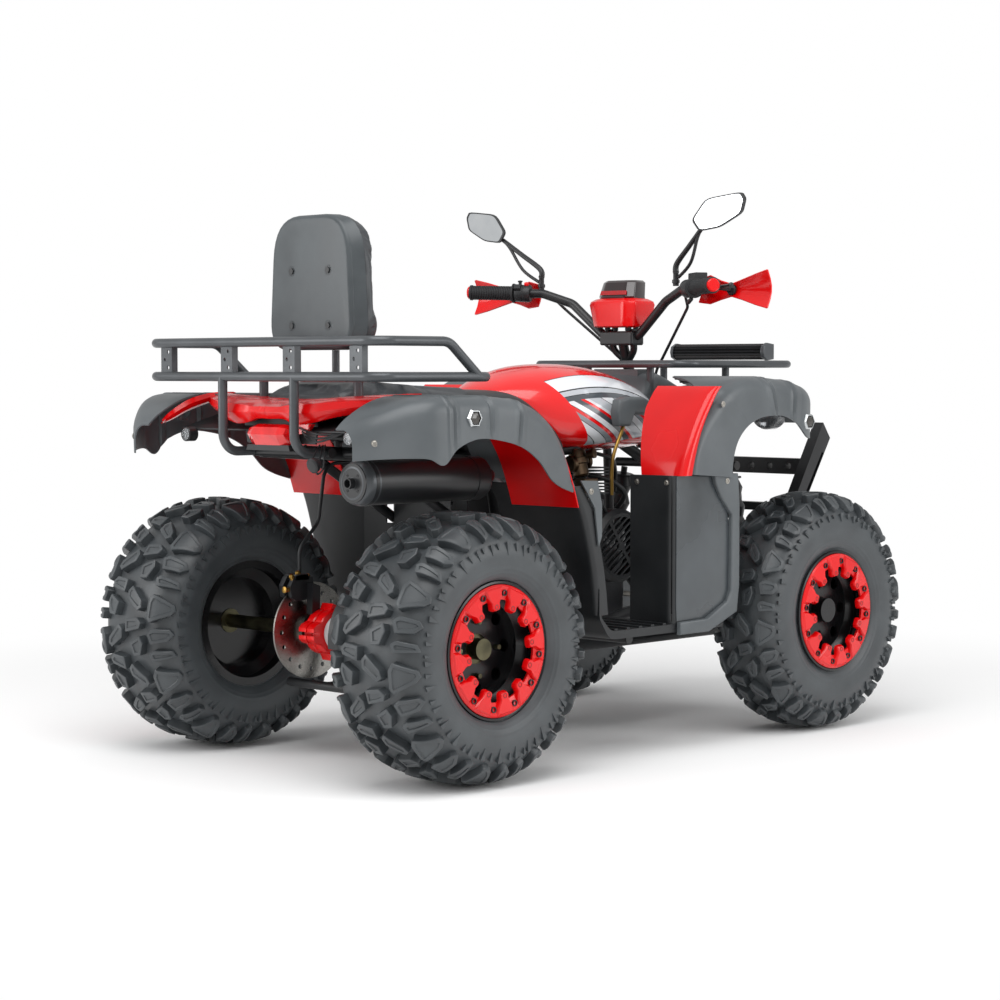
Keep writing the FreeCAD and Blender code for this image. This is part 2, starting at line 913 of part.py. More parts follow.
def make_rims_and_rings():
    for end, ahead, track, half, disc_out, hub in (
            ("rear", 0, S.rear_track, "rear_rim_half", "rear_disc_out", False),
            ("front", S.wheelbase, S.front_track, "front_rim_half", "front_disc_out", True)):
        rim = rim_body(end + "_rim_pattern", half, disc_out, hub)
        ring = ring_body(end + "_ring_pattern", half)
        doc.recompute()
        rims = []
        rings = []
        for word, hand in (("left", LEFT), ("right", RIGHT)):
            place = wheel_place(ahead, track / 2, hand)
            rims.append(moved(rim.Shape, place))
            rings.append(moved(ring.Shape, place))
        if hub:
            for word, rim_shape, ring_shape in (("left", rims[0], rings[0]), ("right", rims[1], rings[1])):
                keep(feature("front_rim_" + word, rim_shape))
                keep(feature("front_ring_" + word, ring_shape))
        else:
            keep(feature("rear_rims", together(rims)))
            keep(feature("rear_rings", together(rings)))


def moved(shape, place):
    copy = shape.copy()
    copy.Placement = place.multiply(copy.Placement)
    return copy


# The rear axle is one turned bar with a flanged hub at each end.
def make_rear_axle():
    body = new_body("rear_axle")
    flange = "(rear_track / 2 + rear_disc_out - fit)"
    points = [
        ("0 * fit", flange + " + wheel_disc_thick + hub_nose_stand"),
        ("hub_nose_radius", flange + " + wheel_disc_thick + hub_nose_stand"),
        ("hub_nose_radius", flange), ("hub_flange_radius", flange),
        ("hub_flange_radius", flange + " - hub_flange_thick"),
        ("hub_barrel_radius", flange + " - hub_flange_thick"),
        ("hub_barrel_radius", flange + " - hub_flange_thick - hub_barrel_length"),
        ("axle_shaft_radius", flange + " - hub_flange_thick - hub_barrel_length"),
    ]
    lower = [(radius, "-(" + along + ")") for radius, along in points[::-1]]
    turned(body, "AxleBar", points + lower)
    for word, lift, down in (("Left", flange, False), ("Right", "-" + flange, True)):
        stud = sketch(body, "Stud" + word, "XY_Plane", lift)
        circle(stud, "stud_circle_radius", "0 * fit", "stud_radius")
        doc.recompute()
        raised = padded(body, "StudPad" + word, stud, "wheel_disc_thick + stud_stand", down)
        doc.recompute()
        around(body, "Studs" + word, raised, "stud_count")
    doc.recompute()
    body.Placement = FreeCAD.Placement(spot(0, 0, S.tyre_radius), FreeCAD.Rotation(X_DIR, -90))
    keep(body)


def pitch_circle(teeth):
    return S.chain_pitch / (2 * math.sin(math.pi / teeth))


def cross_place(ahead, side, high):
    """Stands a shape that was made about Z across the machine, Z to the left."""
    return FreeCAD.Placement(spot(ahead, side, high), FreeCAD.Rotation(X_DIR, -90))


def sprocket_shape(teeth, bore):
    """A toothed disc on a plain hub, with a roller seat cut between each pair of teeth."""
    pitch = pitch_circle(teeth)
    half = S.sprocket_thick / 2
    disc = Part.makeCylinder(pitch + S.tooth_stand, S.sprocket_thick, V(0, 0, -half))
    hub = Part.makeCylinder(min(S.sprocket_hub_radius, pitch - S.roller_radius * 2),
                            S.sprocket_hub_half * 2, V(0, 0, -S.sprocket_hub_half))
    cuts = []
    for tooth in range(int(teeth)):
        angle = 2 * math.pi * (tooth + 0.5) / teeth
        centre = V(pitch * math.cos(angle), pitch * math.sin(angle), -half - S.overrun)
        cuts.append(Part.makeCylinder(S.roller_radius + S.fit, S.sprocket_thick + 2 * S.overrun, centre))
    hole = Part.makeCylinder(bore, S.sprocket_hub_half * 4, V(0, 0, -S.sprocket_hub_half * 2))
    return disc.cut(cuts).fuse(hub).cut(hole).removeSplitter()


SPROCKET_WINDOW_SHARE = 0.68


def make_rear_sprocket():
    shape = sprocket_shape(S.sprocket_teeth, S.axle_shaft_radius + S.fit)
    windows = []
    reach = pitch_circle(S.sprocket_teeth) * SPROCKET_WINDOW_SHARE
    for index in range(int(S.stud_count)):
        angle = 2 * math.pi * index / S.stud_count
        centre = V(reach * math.cos(angle), reach * math.sin(angle), -S.sprocket_thick)
        windows.append(Part.makeCylinder(S.window_radius, S.sprocket_thick * 2, centre))
    thing = keep(feature("rear_sprocket", shape.cut(windows)))
    thing.Placement = cross_place(0, -S.sprocket_side, S.tyre_radius)


def make_brake_disc():
    body = new_body("rear_brake_disc")
    turned(body, "DiscAndHub", [
        ("axle_shaft_radius + fit", "-brake_hub_half"), ("brake_hub_radius", "-brake_hub_half"),
        ("brake_hub_radius", "-brake_disc_thick / 2"), ("brake_disc_radius", "-brake_disc_thick / 2"),
        ("brake_disc_radius", "brake_disc_thick / 2"), ("axle_shaft_radius + fit", "brake_disc_thick / 2"),
    ])
    hole = sketch(body, "DiscHole", "XY_Plane", "-brake_disc_thick / 2 - overrun")
    circle(hole, "disc_hole_circle", "0 * fit", "disc_hole_radius")
    doc.recompute()
    first = pocketed(body, "DiscHolePocket", hole, "brake_disc_thick + 2 * overrun", up=True)
    doc.recompute()
    around(body, "DiscHoles", first, "disc_hole_count")
    body.Placement = cross_place(0, S.brake_disc_side, S.tyre_radius)
    keep(body)


# Swingarm, red axle carrier, caliper and the guard round the sprocket.
SKID_SHARES = [-0.35, 1.0]


def make_swingarm():
    axle = S.tyre_radius
    pivot = [spot(S.pivot_ahead, side * S.pivot_half, S.pivot_high) for side in (LEFT, RIGHT)]
    carrier_middle = (S.carrier_side_low + S.carrier_side_high) / 2
    tubes = [rod(pivot[0], pivot[1], S.arm_radius)]
    starts = (spot(S.arm_inset, carrier_middle, axle),
              spot(S.arm_inset, -(S.sleeve_radius + S.arm_radius), axle))
    for start, end in zip(starts, pivot):
        inner = end + V(0, -math.copysign(S.arm_radius, end.y), 0)
        tubes.append(rod(start, inner, S.arm_radius))
    low = S.skid_high
    bar = [spot(S.arm_inset * 2, carrier_middle, axle), spot(S.arm_inset, carrier_middle, low),
           spot(0, carrier_middle, low)]
    tubes.append(tube(bar, S.skid_radius, S.skid_radius * 3))
    tubes.append(rod(spot(0, S.skid_side * SKID_SHARES[0], low), spot(0, S.skid_side, low), S.skid_radius))
    seat = rod(pivot[0] + V(0, S.overrun, 0), pivot[1] - V(0, S.overrun, 0), S.cross_radius + S.fit)
    shock_foot = spot(S.rear_shock_low_ahead, 0, S.rear_shock_low_high)
    across = V(0, S.arm_radius * 2 + S.coil_radius, 0)
    tubes.append(rod(shock_foot - across, shock_foot + across, S.shock_eye_radius))
    arms = joined(tubes).cut(seat).cut(carrier_blank())
    guard = sprocket_guard()
    keep(feature("swingarm", joined([largest(arms), guard])))


def carrier_blank():
    """The full round of the carrier and its sleeve, with no bore."""
    axle = S.tyre_radius
    clamp = rod(spot(0, S.carrier_side_low, axle), spot(0, S.carrier_side_high, axle), S.carrier_radius)
    sleeve = rod(spot(0, S.sleeve_side_low, axle), spot(0, S.carrier_side_low, axle), S.sleeve_radius)
    return clamp.fuse(sleeve)


def sprocket_guard():
    """A round guard over the top and back of the sprocket, on a strut from the arm."""
    axle = spot(0, 0, S.tyre_radius)
    side = -S.sprocket_side
    outer = rod(axle + V(0, side - S.guard_half, 0), axle + V(0, side + S.guard_half, 0),
                S.guard_radius + S.guard_wall)
    inner = rod(axle + V(0, side - S.guard_half - S.overrun, 0),
                axle + V(0, side + S.guard_half - S.guard_wall, 0), S.guard_radius)
    hole = rod(axle + V(0, side, 0), axle + V(0, side + S.guard_half + S.overrun, 0),
               S.sprocket_hub_radius + S.overrun * 2)
    reach = S.guard_radius * 2
    below = box(-reach, side - reach, S.tyre_radius - reach, reach * 2, reach * 2,
                reach - S.arm_radius)
    ahead = box(S.guard_radius / 2, side - reach, S.tyre_radius - reach, reach * 2, reach * 2, reach * 2)
    guard = outer.cut([inner, hole, below, ahead])
    strut_foot = spot(S.arm_inset * 1.2, -(S.sleeve_radius + S.arm_radius), S.tyre_radius)
    strut_top = spot(S.arm_inset * 1.2, side + S.guard_half - S.guard_wall / 2, S.tyre_radius + S.guard_radius / 2)
    strut = rod(strut_foot, strut_top, S.skid_radius * 0.7)
    return guard.fuse(strut.cut(inner))


def make_axle_carrier():
    axle = S.tyre_radius
    clamp = rod(spot(0, S.carrier_side_low, axle), spot(0, S.carrier_side_high, axle), S.carrier_radius)
    sleeve = rod(spot(0, S.sleeve_side_low, axle), spot(0, S.carrier_side_low, axle), S.sleeve_radius)
    wide = S.carrier_side_high - S.carrier_side_low
    ear = box(-S.carrier_radius - S.arm_radius, S.carrier_side_low, axle - S.arm_radius,
              S.carrier_radius, wide, S.arm_radius * 2)
    split = box(-S.carrier_radius - S.arm_radius - S.overrun, S.carrier_side_low - S.overrun,
                axle - S.overrun / 2, S.carrier_radius + S.overrun, wide + S.overrun * 2, S.overrun)
    bore = rod(spot(0, S.sleeve_side_low - S.overrun, axle), spot(0, S.carrier_side_high + S.overrun, axle),
               S.axle_shaft_radius + S.run_gap)
    long, wide_c, tall = S.caliper_long, S.caliper_wide, S.caliper_tall
    caliper = box(S.caliper_ahead - long / 2, S.brake_disc_side - wide_c / 2,
                  S.caliper_high - tall / 2, long, wide_c, tall)
    caliper = caliper.makeFillet(S.overrun * 2, caliper.Edges)
    slot = rod(spot(0, S.brake_disc_side - S.brake_disc_thick / 2 - S.disc_gap, axle),
               spot(0, S.brake_disc_side + S.brake_disc_thick / 2 + S.disc_gap, axle),
               S.brake_disc_radius + S.disc_gap)
    caliper = caliper.cut(slot)
    bracket = box(S.caliper_ahead - long / 4, S.carrier_side_high - S.skid_radius,
                  axle + S.carrier_radius / 2, long / 2, S.skid_radius,
                  S.caliper_high - axle - S.carrier_radius / 2)
    red = joined([clamp, sleeve, ear, bracket]).cut([bore, split])
    keep(feature("axle_carrier", joined([largest(red), caliper])))


def wraps():
    """For each sprocket: centre, pitch radius, where the chain meets and leaves it, and the
    angles of the tooth gaps between."""
    big = pitch_circle(S.sprocket_teeth)
    small = pitch_circle(S.engine_sprocket_teeth)
    rise = S.engine_sprocket_high - S.tyre_radius
    lean = math.atan2(rise, S.engine_sprocket_ahead)
    tangent = math.acos((big - small) / math.hypot(S.engine_sprocket_ahead, rise))
    found = []
    for centre, radius, teeth, start, end in (
            (spot(0, 0, S.tyre_radius), big, S.sprocket_teeth, lean + tangent,
             lean - tangent + 2 * math.pi),
            (spot(S.engine_sprocket_ahead, 0, S.engine_sprocket_high), small, S.engine_sprocket_teeth,
             lean - tangent, lean + tangent)):
        step = 2 * math.pi / teeth
        gaps = [step * (tooth + 0.5) for tooth in range(-int(teeth), int(teeth) * 2)]
        gaps = [angle for angle in gaps if start + step / 2 < angle < end - step / 2]
        found.append((centre, radius, start, gaps, end))
    return found


def loop_points(grow):
    """Corners of the chain's run round both sprockets, as an outline at a distance from it."""
    points = []
    for centre, radius, start, gaps, end in wraps():
        for angle in [start] + gaps + [end]:
            points.append(centre + V(math.cos(angle), 0, math.sin(angle)) * (radius + grow))
    return points


RUN_ROLLERS = 8


def roller_spots():
    """Where the rollers lie: in every second tooth gap and along both straight runs."""
    spots = []
    ends = []
    for centre, radius, start, gaps, end in wraps():
        for angle in gaps[::2]:
            spots.append(centre + V(math.cos(angle), 0, math.sin(angle)) * radius)
        ends.append([centre + V(math.cos(angle), 0, math.sin(angle)) * radius for angle in (start, end)])
    (top_rear, low_rear), (low_front, top_front) = ends
    for first, last in ((low_rear, low_front), (top_rear, top_front)):
        for step in range(1, RUN_ROLLERS):
            spots.append(first + (last - first) * (step / RUN_ROLLERS))
    return spots


def make_chain():
    """Two plate bands with rollers between them, round both sprockets."""
    half = S.chain_plate_tall / 2
    bands = []
    for side in (1, -1):
        near = -S.sprocket_side + side * S.chain_plate_side
        push = V(0, side * S.chain_plate_thick, 0)
        outer = [point + V(0, near, 0) for point in loop_points(half)]
        inner = [point + V(0, near, 0) for point in loop_points(-half)]
        bands.append(prism(outer, push).cut(prism(inner, push)))
    rollers = []
    size = S.roller_radius * 0.7
    for place in roller_spots():
        ends = []
        for side in (-1, 1):
            along = -S.sprocket_side + side * (S.chain_plate_side + S.chain_plate_thick / 2)
            ends.append([place + V(-size, along, -size), place + V(size, along, -size),
                         place + V(size, along, size), place + V(-size, along, size)])
        rollers.append(block_between(ends[0], ends[1]))
    keep(feature("drive_chain", joined(bands + rollers)))


# Frame: two bent rails, a cradle below the engine, bulkheads, bearings and cross tubes.
def stem_point(along):
    """A point on the steering axis, by its distance up the stem from the rod's level."""
    rake = math.radians(S.rake)
    foot = spot(S.wheelbase - S.steer_arm_back, 0, S.rod_high)
    foot = foot + V(math.cos(rake), 0, math.sin(rake)) * S.steer_arm_back
    return foot + V(-math.sin(rake), 0, math.cos(rake)) * along


def stem_direction():
    return (stem_point(1) - stem_point(0)).normalize()


def frame_half(hand):
    side = S.rail_side * hand
    rail = tube([
        spot(S.rail_rear_ahead, side, S.rail_rear_high), spot(S.rail_mid_ahead, side, S.rail_mid_high),
        spot(S.rail_front_ahead, side, S.rail_front_high), spot(S.rail_nose_ahead, side, S.rail_nose_high),
        spot(S.rail_nose_ahead, side, S.cradle_high),
    ], S.tube_radius, S.bend_radius)
    cradle = tube([
        spot(S.cradle_rear_ahead - S.bend_radius, side, S.rail_mid_high),
        spot(S.cradle_rear_ahead, side, S.cradle_high + S.cradle_rise * 2),
        spot(S.cradle_rear_ahead + S.cradle_rise, side, S.cradle_high),
        spot(S.rail_nose_ahead, side, S.cradle_high),
    ], S.tube_radius, S.bend_radius)
    upright = rod(spot(S.bulkhead_rear_ahead, side, S.cradle_high),
                  spot(S.rail_front_ahead, side, S.rail_front_high), S.cross_radius)
    strut = rod(spot(S.rail_rear_ahead + S.bend_radius * 2, side, S.rail_rear_high),
                spot(S.cradle_rear_ahead - S.tube_radius, side, S.rail_mid_high / 2 + S.cradle_high / 2),
                S.cross_radius)
    pieces = [rail, cradle, upright, strut]
    for high, pivot_side in ((S.lower_pivot_high, S.lower_pivot_side), (S.upper_pivot_high, S.upper_pivot_side)):
        for step in (-1, 1):
            ahead = S.wheelbase + step * (S.wishbone_half + S.wishbone_radius * 2)
            pieces.append(rod(spot(ahead, side - S.overrun * hand, high),
                              spot(ahead, pivot_side * hand, high), S.wishbone_radius))
        rail_ahead = S.wheelbase + S.wishbone_half + S.wishbone_radius * 2
        pieces.append(rod(spot(rail_ahead, side, high), spot(S.rail_nose_ahead, side, high), S.side_rail_radius))
        rail_ahead = S.wheelbase - S.wishbone_half - S.wishbone_radius * 2
        pieces.append(rod(spot(rail_ahead, side, high), spot(S.bulkhead_rear_ahead - S.cross_radius, side, high),
                          S.side_rail_radius))
    return pieces


def frame_pieces():
    """Every tube of the frame, before they are welded."""
    pieces = frame_half(LEFT) + frame_half(RIGHT)
    wide = S.rail_side
    for ahead, high, half, radius in (
            (S.rail_rear_ahead, S.rail_rear_high, S.rack_leg_side + S.tube_radius, S.cross_radius),
            (S.rack_post_ahead, S.rail_rear_high, S.rack_post_side + S.tube_radius, S.cross_radius),
            (S.rail_mid_ahead, S.rail_mid_high, wide, S.cross_radius),
            (S.rail_nose_ahead, S.rail_nose_high - S.bend_radius, wide, S.cross_radius),
            (S.rail_nose_ahead, S.cradle_high + S.cradle_rise, wide, S.cross_radius),
            (S.bulkhead_rear_ahead, S.cradle_high, wide, S.cross_radius),
            (S.footbar_ahead, S.footbar_high, S.footbar_half, S.cross_radius),
            (S.seat_bar_ahead, S.seat_low - S.cross_radius - S.fit, wide + S.tube_radius, S.cross_radius),
            (S.wheelbase, S.front_shock_top_high, S.front_shock_top_side + S.coil_radius, S.cross_radius),
            (S.pivot_ahead, S.pivot_high, wide + S.tube_radius, S.cross_radius)):
        pieces.append(rod(spot(ahead, -half, high), spot(ahead, half, high), radius))
    head = stem_point(S.head_along)
    along = stem_direction()
    foot = stem_point(S.foot_bearing_along)
    for hand in (LEFT, RIGHT):
        pieces.append(rod(head, V(head.x, wide * hand, head.z), S.cross_radius))
        pieces.append(rod(spot(S.bulkhead_rear_ahead, wide * hand, foot.z),
                          V(foot.x - S.stem_radius, 0, foot.z), S.post_radius))
        pieces.append(rod(spot(S.seat_bar_ahead, wide * hand, S.rail_mid_high),
                          spot(S.seat_bar_ahead, wide * hand, S.seat_low - S.cross_radius), S.post_radius))
        pieces.append(rod(spot(S.bumper_foot_ahead, wide * hand, S.bumper_foot_high),
                          spot(S.rail_nose_ahead, wide * hand, S.bumper_foot_high), S.cross_radius))
    pieces.append(rod(head - along * S.head_tube_half, head + along * S.head_tube_half, S.head_tube_radius))
    pieces.append(rod(foot - along * S.foot_bearing_half, foot + along * S.foot_bearing_half, S.head_tube_radius))
    return pieces


def make_frame():
    """The welded frame, bored for the steering stem."""
    bore = rod(stem_point(0), stem_point(S.clamp_along), S.stem_radius + S.run_gap)
    pieces = frame_pieces()
    keep(feature("frame", largest(pieces[0].multiFuse(pieces[1:]).cut(bore))))


# Engine: crankcase, finned barrel, carburettor, air box and the small sprocket.
def make_engine():
    long = S.engine_front_ahead - S.engine_rear_ahead
    case = box(S.engine_rear_ahead, -S.engine_side_right, S.engine_low, long,
               S.engine_side_right + S.engine_side_left, S.engine_high - S.engine_low)
    case = case.makeFillet(S.engine_round, case.Edges)
    barrel = box(S.barrel_rear_ahead, -S.barrel_half, S.barrel_low - S.engine_round, S.barrel_long,
                 S.barrel_half * 2, S.barrel_tall + S.engine_round)
    barrel = barrel.makeFillet(S.fin_deep, [edge for edge in barrel.Edges if edge.tangentAt(0).z ** 2 > S.fit])
    grooves = []
    pitch = (S.barrel_tall - S.fin_gap) / S.fin_count
    core = box(S.barrel_rear_ahead + S.fin_deep, S.fin_deep - S.barrel_half, S.barrel_low,
               S.barrel_long - S.fin_deep * 2, (S.barrel_half - S.fin_deep) * 2, S.barrel_tall)
    for fin in range(int(S.fin_count)):
        groove = box(S.barrel_rear_ahead - S.overrun, -S.barrel_half - S.overrun, S.barrel_low + pitch * fin,
                     S.barrel_long + S.overrun * 2, (S.barrel_half + S.overrun) * 2, S.fin_gap)
        grooves.append(groove.cut(core))
    barrel = barrel.cut(grooves)
    intake = rod(spot(S.barrel_rear_ahead + S.carb_radius, 0, S.carb_high),
                 spot(S.airbox_ahead + S.airbox_long - S.overrun, 0, S.carb_high), S.carb_radius * 0.8)
    body = rod(spot(S.carb_ahead - S.carb_half, 0, S.carb_high),
               spot(S.carb_ahead + S.carb_half / 2, 0, S.carb_high), S.carb_radius * 1.2)
    bowl = rod(spot(S.carb_ahead, 0, S.carb_high - S.carb_half), spot(S.carb_ahead, 0, S.carb_high + S.carb_half),
               S.carb_radius)
    air = box(S.airbox_ahead, -S.airbox_half + S.overrun, S.airbox_low, S.airbox_long,
              (S.airbox_half - S.overrun) * 2, S.airbox_tall)
    air = air.makeFillet(S.fin_deep, air.Edges)
    shaft = rod(spot(S.engine_sprocket_ahead, -S.engine_side_right + S.engine_round, S.engine_sprocket_high),
                spot(S.engine_sprocket_ahead, -S.sprocket_side - S.sprocket_thick, S.engine_sprocket_high),
                S.stem_radius)
    gearbox = rod(spot(S.engine_sprocket_ahead, -S.engine_side_right, S.engine_sprocket_high),
                  spot(S.engine_sprocket_ahead, 0, S.engine_sprocket_high), S.engine_sprocket_round)
    small = sprocket_shape(S.engine_sprocket_teeth, S.stem_radius)
    small.Placement = cross_place(S.engine_sprocket_ahead, -S.sprocket_side, S.engine_sprocket_high)
    keep(feature("engine", joined([case, barrel, intake, body, bowl, air, gearbox, shaft, small])))


def make_fan_cover():
    """A round cowl with a slatted grille, open towards the engine."""
    body = new_body("fan_cowl_pattern")
    turned(body, "FanCowl", [
        ("fan_open_radius", "fan_depth - rim_wall"), ("fan_open_radius", "fan_depth"),
        ("fan_radius - fan_lip", "fan_depth"), ("fan_radius", "fan_depth - fan_lip"),
        ("fan_radius", "0 * fit"), ("fan_radius - rim_wall", "0 * fit"),
        ("fan_radius - rim_wall", "fan_depth - fan_lip - rim_wall / 2"),
        ("fan_radius - fan_lip - rim_wall / 2", "fan_depth - rim_wall"),
    ])
    doc.recompute()
    cowl = body.Shape
    slats = []
    step = S.fan_open_radius * 2 / (S.fan_slat_count + 1)
    for index in range(int(S.fan_slat_count)):
        across = -S.fan_open_radius + step * (index + 1)
        half = math.sqrt(S.fan_open_radius ** 2 - across ** 2) + S.overrun / 2
        slat = Part.makeBox(half * 2, S.fan_slat_half * 2, S.fan_slat_thick,
                            V(-half, across - S.fan_slat_half, S.fan_depth - S.fan_slat_thick))
        slats.append(slat)
    bar = Part.makeBox(S.fan_slat_half * 4, S.fan_open_radius * 2, S.fan_slat_thick,
                       V(-S.fan_slat_half * 2, -S.fan_open_radius, S.fan_depth - S.fan_slat_thick))
    boss = Part.makeCylinder(S.fan_lip, S.fan_slat_thick, V(0, 0, S.fan_depth - S.fan_slat_thick))
    shape = joined([cowl] + slats + [bar, boss])
    shape.rotate(V(0, 0, 0), Z_DIR, S.fan_turn)
    foot = S.fan_side - S.fan_depth - S.engine_side_right
    arm = Part.makeBox(S.fan_lip * 2, S.fan_lip, foot + S.fan_depth / 2,
                       V(-S.fan_lip, -S.fan_radius + S.rim_wall, -foot + S.fit))
    shape = joined([shape, arm])
    shape.Placement = FreeCAD.Placement(spot(S.fan_ahead, -S.fan_side + S.fan_depth, S.fan_high),
                                        FreeCAD.Rotation(X_DIR, 90))
    keep(feature("engine_fan_cover", shape))


# Exhaust: pipe from the barrel back to the can, with its end cap and outlet.
def make_exhaust():
    side = -S.muffler_side
    rear = S.muffler_rear_ahead
    front = rear + S.muffler_long
    can = rod(spot(rear, side, S.muffler_high), spot(front, side, S.muffler_high), S.muffler_radius)
    can = can.makeFillet(S.overrun, [edge for edge in can.Edges if edge.Closed])
    cap = rod(spot(rear - S.muffler_cap_long, side, S.muffler_high), spot(rear, side, S.muffler_high),
              S.muffler_cap_radius)
    outlet = rod(spot(rear - S.outlet_long, side, S.muffler_high), spot(rear, side, S.muffler_high),
                 S.outlet_radius)
    bore = rod(spot(rear - S.outlet_long - S.overrun, side, S.muffler_high),
               spot(rear - S.overrun, side, S.muffler_high), S.outlet_radius - S.fan_slat_half)
    port_ahead = S.barrel_rear_ahead + S.barrel_long + S.fit
    pipe = tube([
        spot(front - S.overrun, side, S.muffler_high),
        spot(S.pipe_turn_ahead, side, S.pipe_turn_high),
        spot(S.pipe_inner_ahead, -S.pipe_inner_side, S.pipe_inner_high),
        spot(S.pipe_drop_ahead, -S.pipe_inner_side, S.pipe_drop_high),
        spot(S.pipe_knee_ahead, -S.pipe_low_side, S.pipe_knee_high),
        spot(S.pipe_low_ahead, -S.pipe_low_side, S.pipe_low_high),
        spot(S.pipe_front_ahead, -S.pipe_front_side, S.pipe_front_high),
        spot(S.pipe_front_ahead, -S.pipe_rise_side, S.pipe_rise_high),
        spot(port_ahead + S.pipe_port_run, 0, S.pipe_port_high),
        spot(port_ahead, 0, S.pipe_port_high),
    ], S.pipe_radius, S.pipe_bend)
    middle = rear + S.muffler_long / 2
    rail_high = S.rail_rear_high + (S.rail_mid_high - S.rail_rear_high) * (
        (middle - S.rail_rear_ahead) / (S.rail_mid_ahead - S.rail_rear_ahead))
    hanger = tube([spot(middle, -S.rail_side - S.tube_radius - S.fit, rail_high),
                   spot(middle, -S.pipe_low_side, rail_high),
                   spot(middle, side + S.muffler_radius / 2, S.muffler_high + S.muffler_radius / 2)],
                  S.post_radius, S.muffler_radius)
    keep(feature("exhaust", joined([can, cap, outlet, pipe, hanger]).cut(bore)))


def make_mudguard_panel():
    """A bent black panel ahead of the rear axle."""
    half = S.mud_half
    bow = S.mud_bow
    points = [spot(S.mud_ahead, -half, S.mud_low), spot(S.mud_ahead + bow, -half * 0.6, S.mud_low),
              spot(S.mud_ahead + bow, half * 0.6, S.mud_low), spot(S.mud_ahead, half, S.mud_low),
              spot(S.mud_ahead + S.mud_wall, half, S.mud_low),
              spot(S.mud_ahead + bow + S.mud_wall, half * 0.6, S.mud_low),
              spot(S.mud_ahead + bow + S.mud_wall, -half * 0.6, S.mud_low),
              spot(S.mud_ahead + S.mud_wall, -half, S.mud_low)]
    panel = prism(points, V(0, 0, S.mud_high - S.mud_low))
    notch_half = S.cross_radius + S.fit
    notches = [box(S.mud_ahead - S.overrun, S.rail_side * hand - notch_half, S.mud_notch_low,
                   bow + S.overrun * 3, notch_half * 2, S.mud_high) for hand in (LEFT, RIGHT)]
    keep(feature("rear_mudguard_panel", panel.cut(notches)))


def strut(low_mount, low_radius, top_mount, top_radius):
    """A coil-over shock absorber between two round mounts, its coil as a ridged sleeve."""
    along = (top_mount - low_mount).normalize()
    low = low_mount + along * (low_radius + S.fit)
    slant = S.shock_rod_radius * abs(along.y)
    run = (top_mount - low).Length - top_radius - slant - S.fit
    first = S.shock_body_radius
    last = run - S.shock_body_radius
    valley = S.coil_radius - S.coil_deep
    pitch = (last - first - S.skin * 2) / S.coil_turns
    points = [(0, 0), (S.shock_rod_radius, 0), (S.shock_rod_radius, first), (S.coil_radius, first),
              (S.coil_radius, first + S.skin)]
    for turn in range(int(S.coil_turns)):
        start = first + S.skin + pitch * turn
        points += [(valley, start), (S.coil_radius, start + pitch / 2)]
    points += [(valley, last - S.skin), (S.coil_radius, last - S.skin), (S.coil_radius, last),
               (S.shock_rod_radius, last), (S.shock_rod_radius, run), (0, run)]
    return revolved(points, low, along)


def make_shocks():
    rear = strut(spot(S.rear_shock_low_ahead, 0, S.rear_shock_low_high), S.shock_eye_radius,
                 spot(S.rail_mid_ahead, 0, S.rail_mid_high), S.cross_radius)
    front = strut(spot(S.wheelbase, S.front_shock_low_side, S.front_shock_low_high), S.shock_eye_radius,
                  spot(S.wheelbase, S.front_shock_top_side, S.front_shock_top_high), S.cross_radius)
    keep(feature("shock_absorbers", together([rear, front, mirrored(front)])))


# Front suspension: four wishbones, knuckles and tie rods.
def wishbone(pivot_side, pivot_high, ball_high):
    reach = S.wishbone_half + S.wishbone_radius - S.fit
    pivot = rod(spot(S.wheelbase - reach, pivot_side, pivot_high),
                spot(S.wheelbase + reach, pivot_side, pivot_high), S.wishbone_radius)
    legs = []
    tip = spot(S.wheelbase, S.kingpin_side, ball_high)
    for step in (-1, 1):
        legs.append(rod(spot(S.wheelbase + step * S.wishbone_half * 0.8, pivot_side, pivot_high), tip,
                        S.wishbone_radius))
    ball = Part.makeSphere(S.ball_radius, tip)
    return joined([pivot] + legs + [ball])


def make_front_arms():
    upper = wishbone(S.upper_pivot_side, S.upper_pivot_high, S.upper_ball_high)
    lower = wishbone(S.lower_pivot_side, S.lower_pivot_high, S.lower_ball_high)
    half = S.wishbone_half / 2
    foot = rod(spot(S.wheelbase - half, S.front_shock_low_side, S.front_shock_low_high),
               spot(S.wheelbase + half, S.front_shock_low_side, S.front_shock_low_high), S.shock_eye_radius)
    lower = joined([lower, foot])
    keep(feature("front_arms", together([upper, lower, mirrored(upper), mirrored(lower)])))


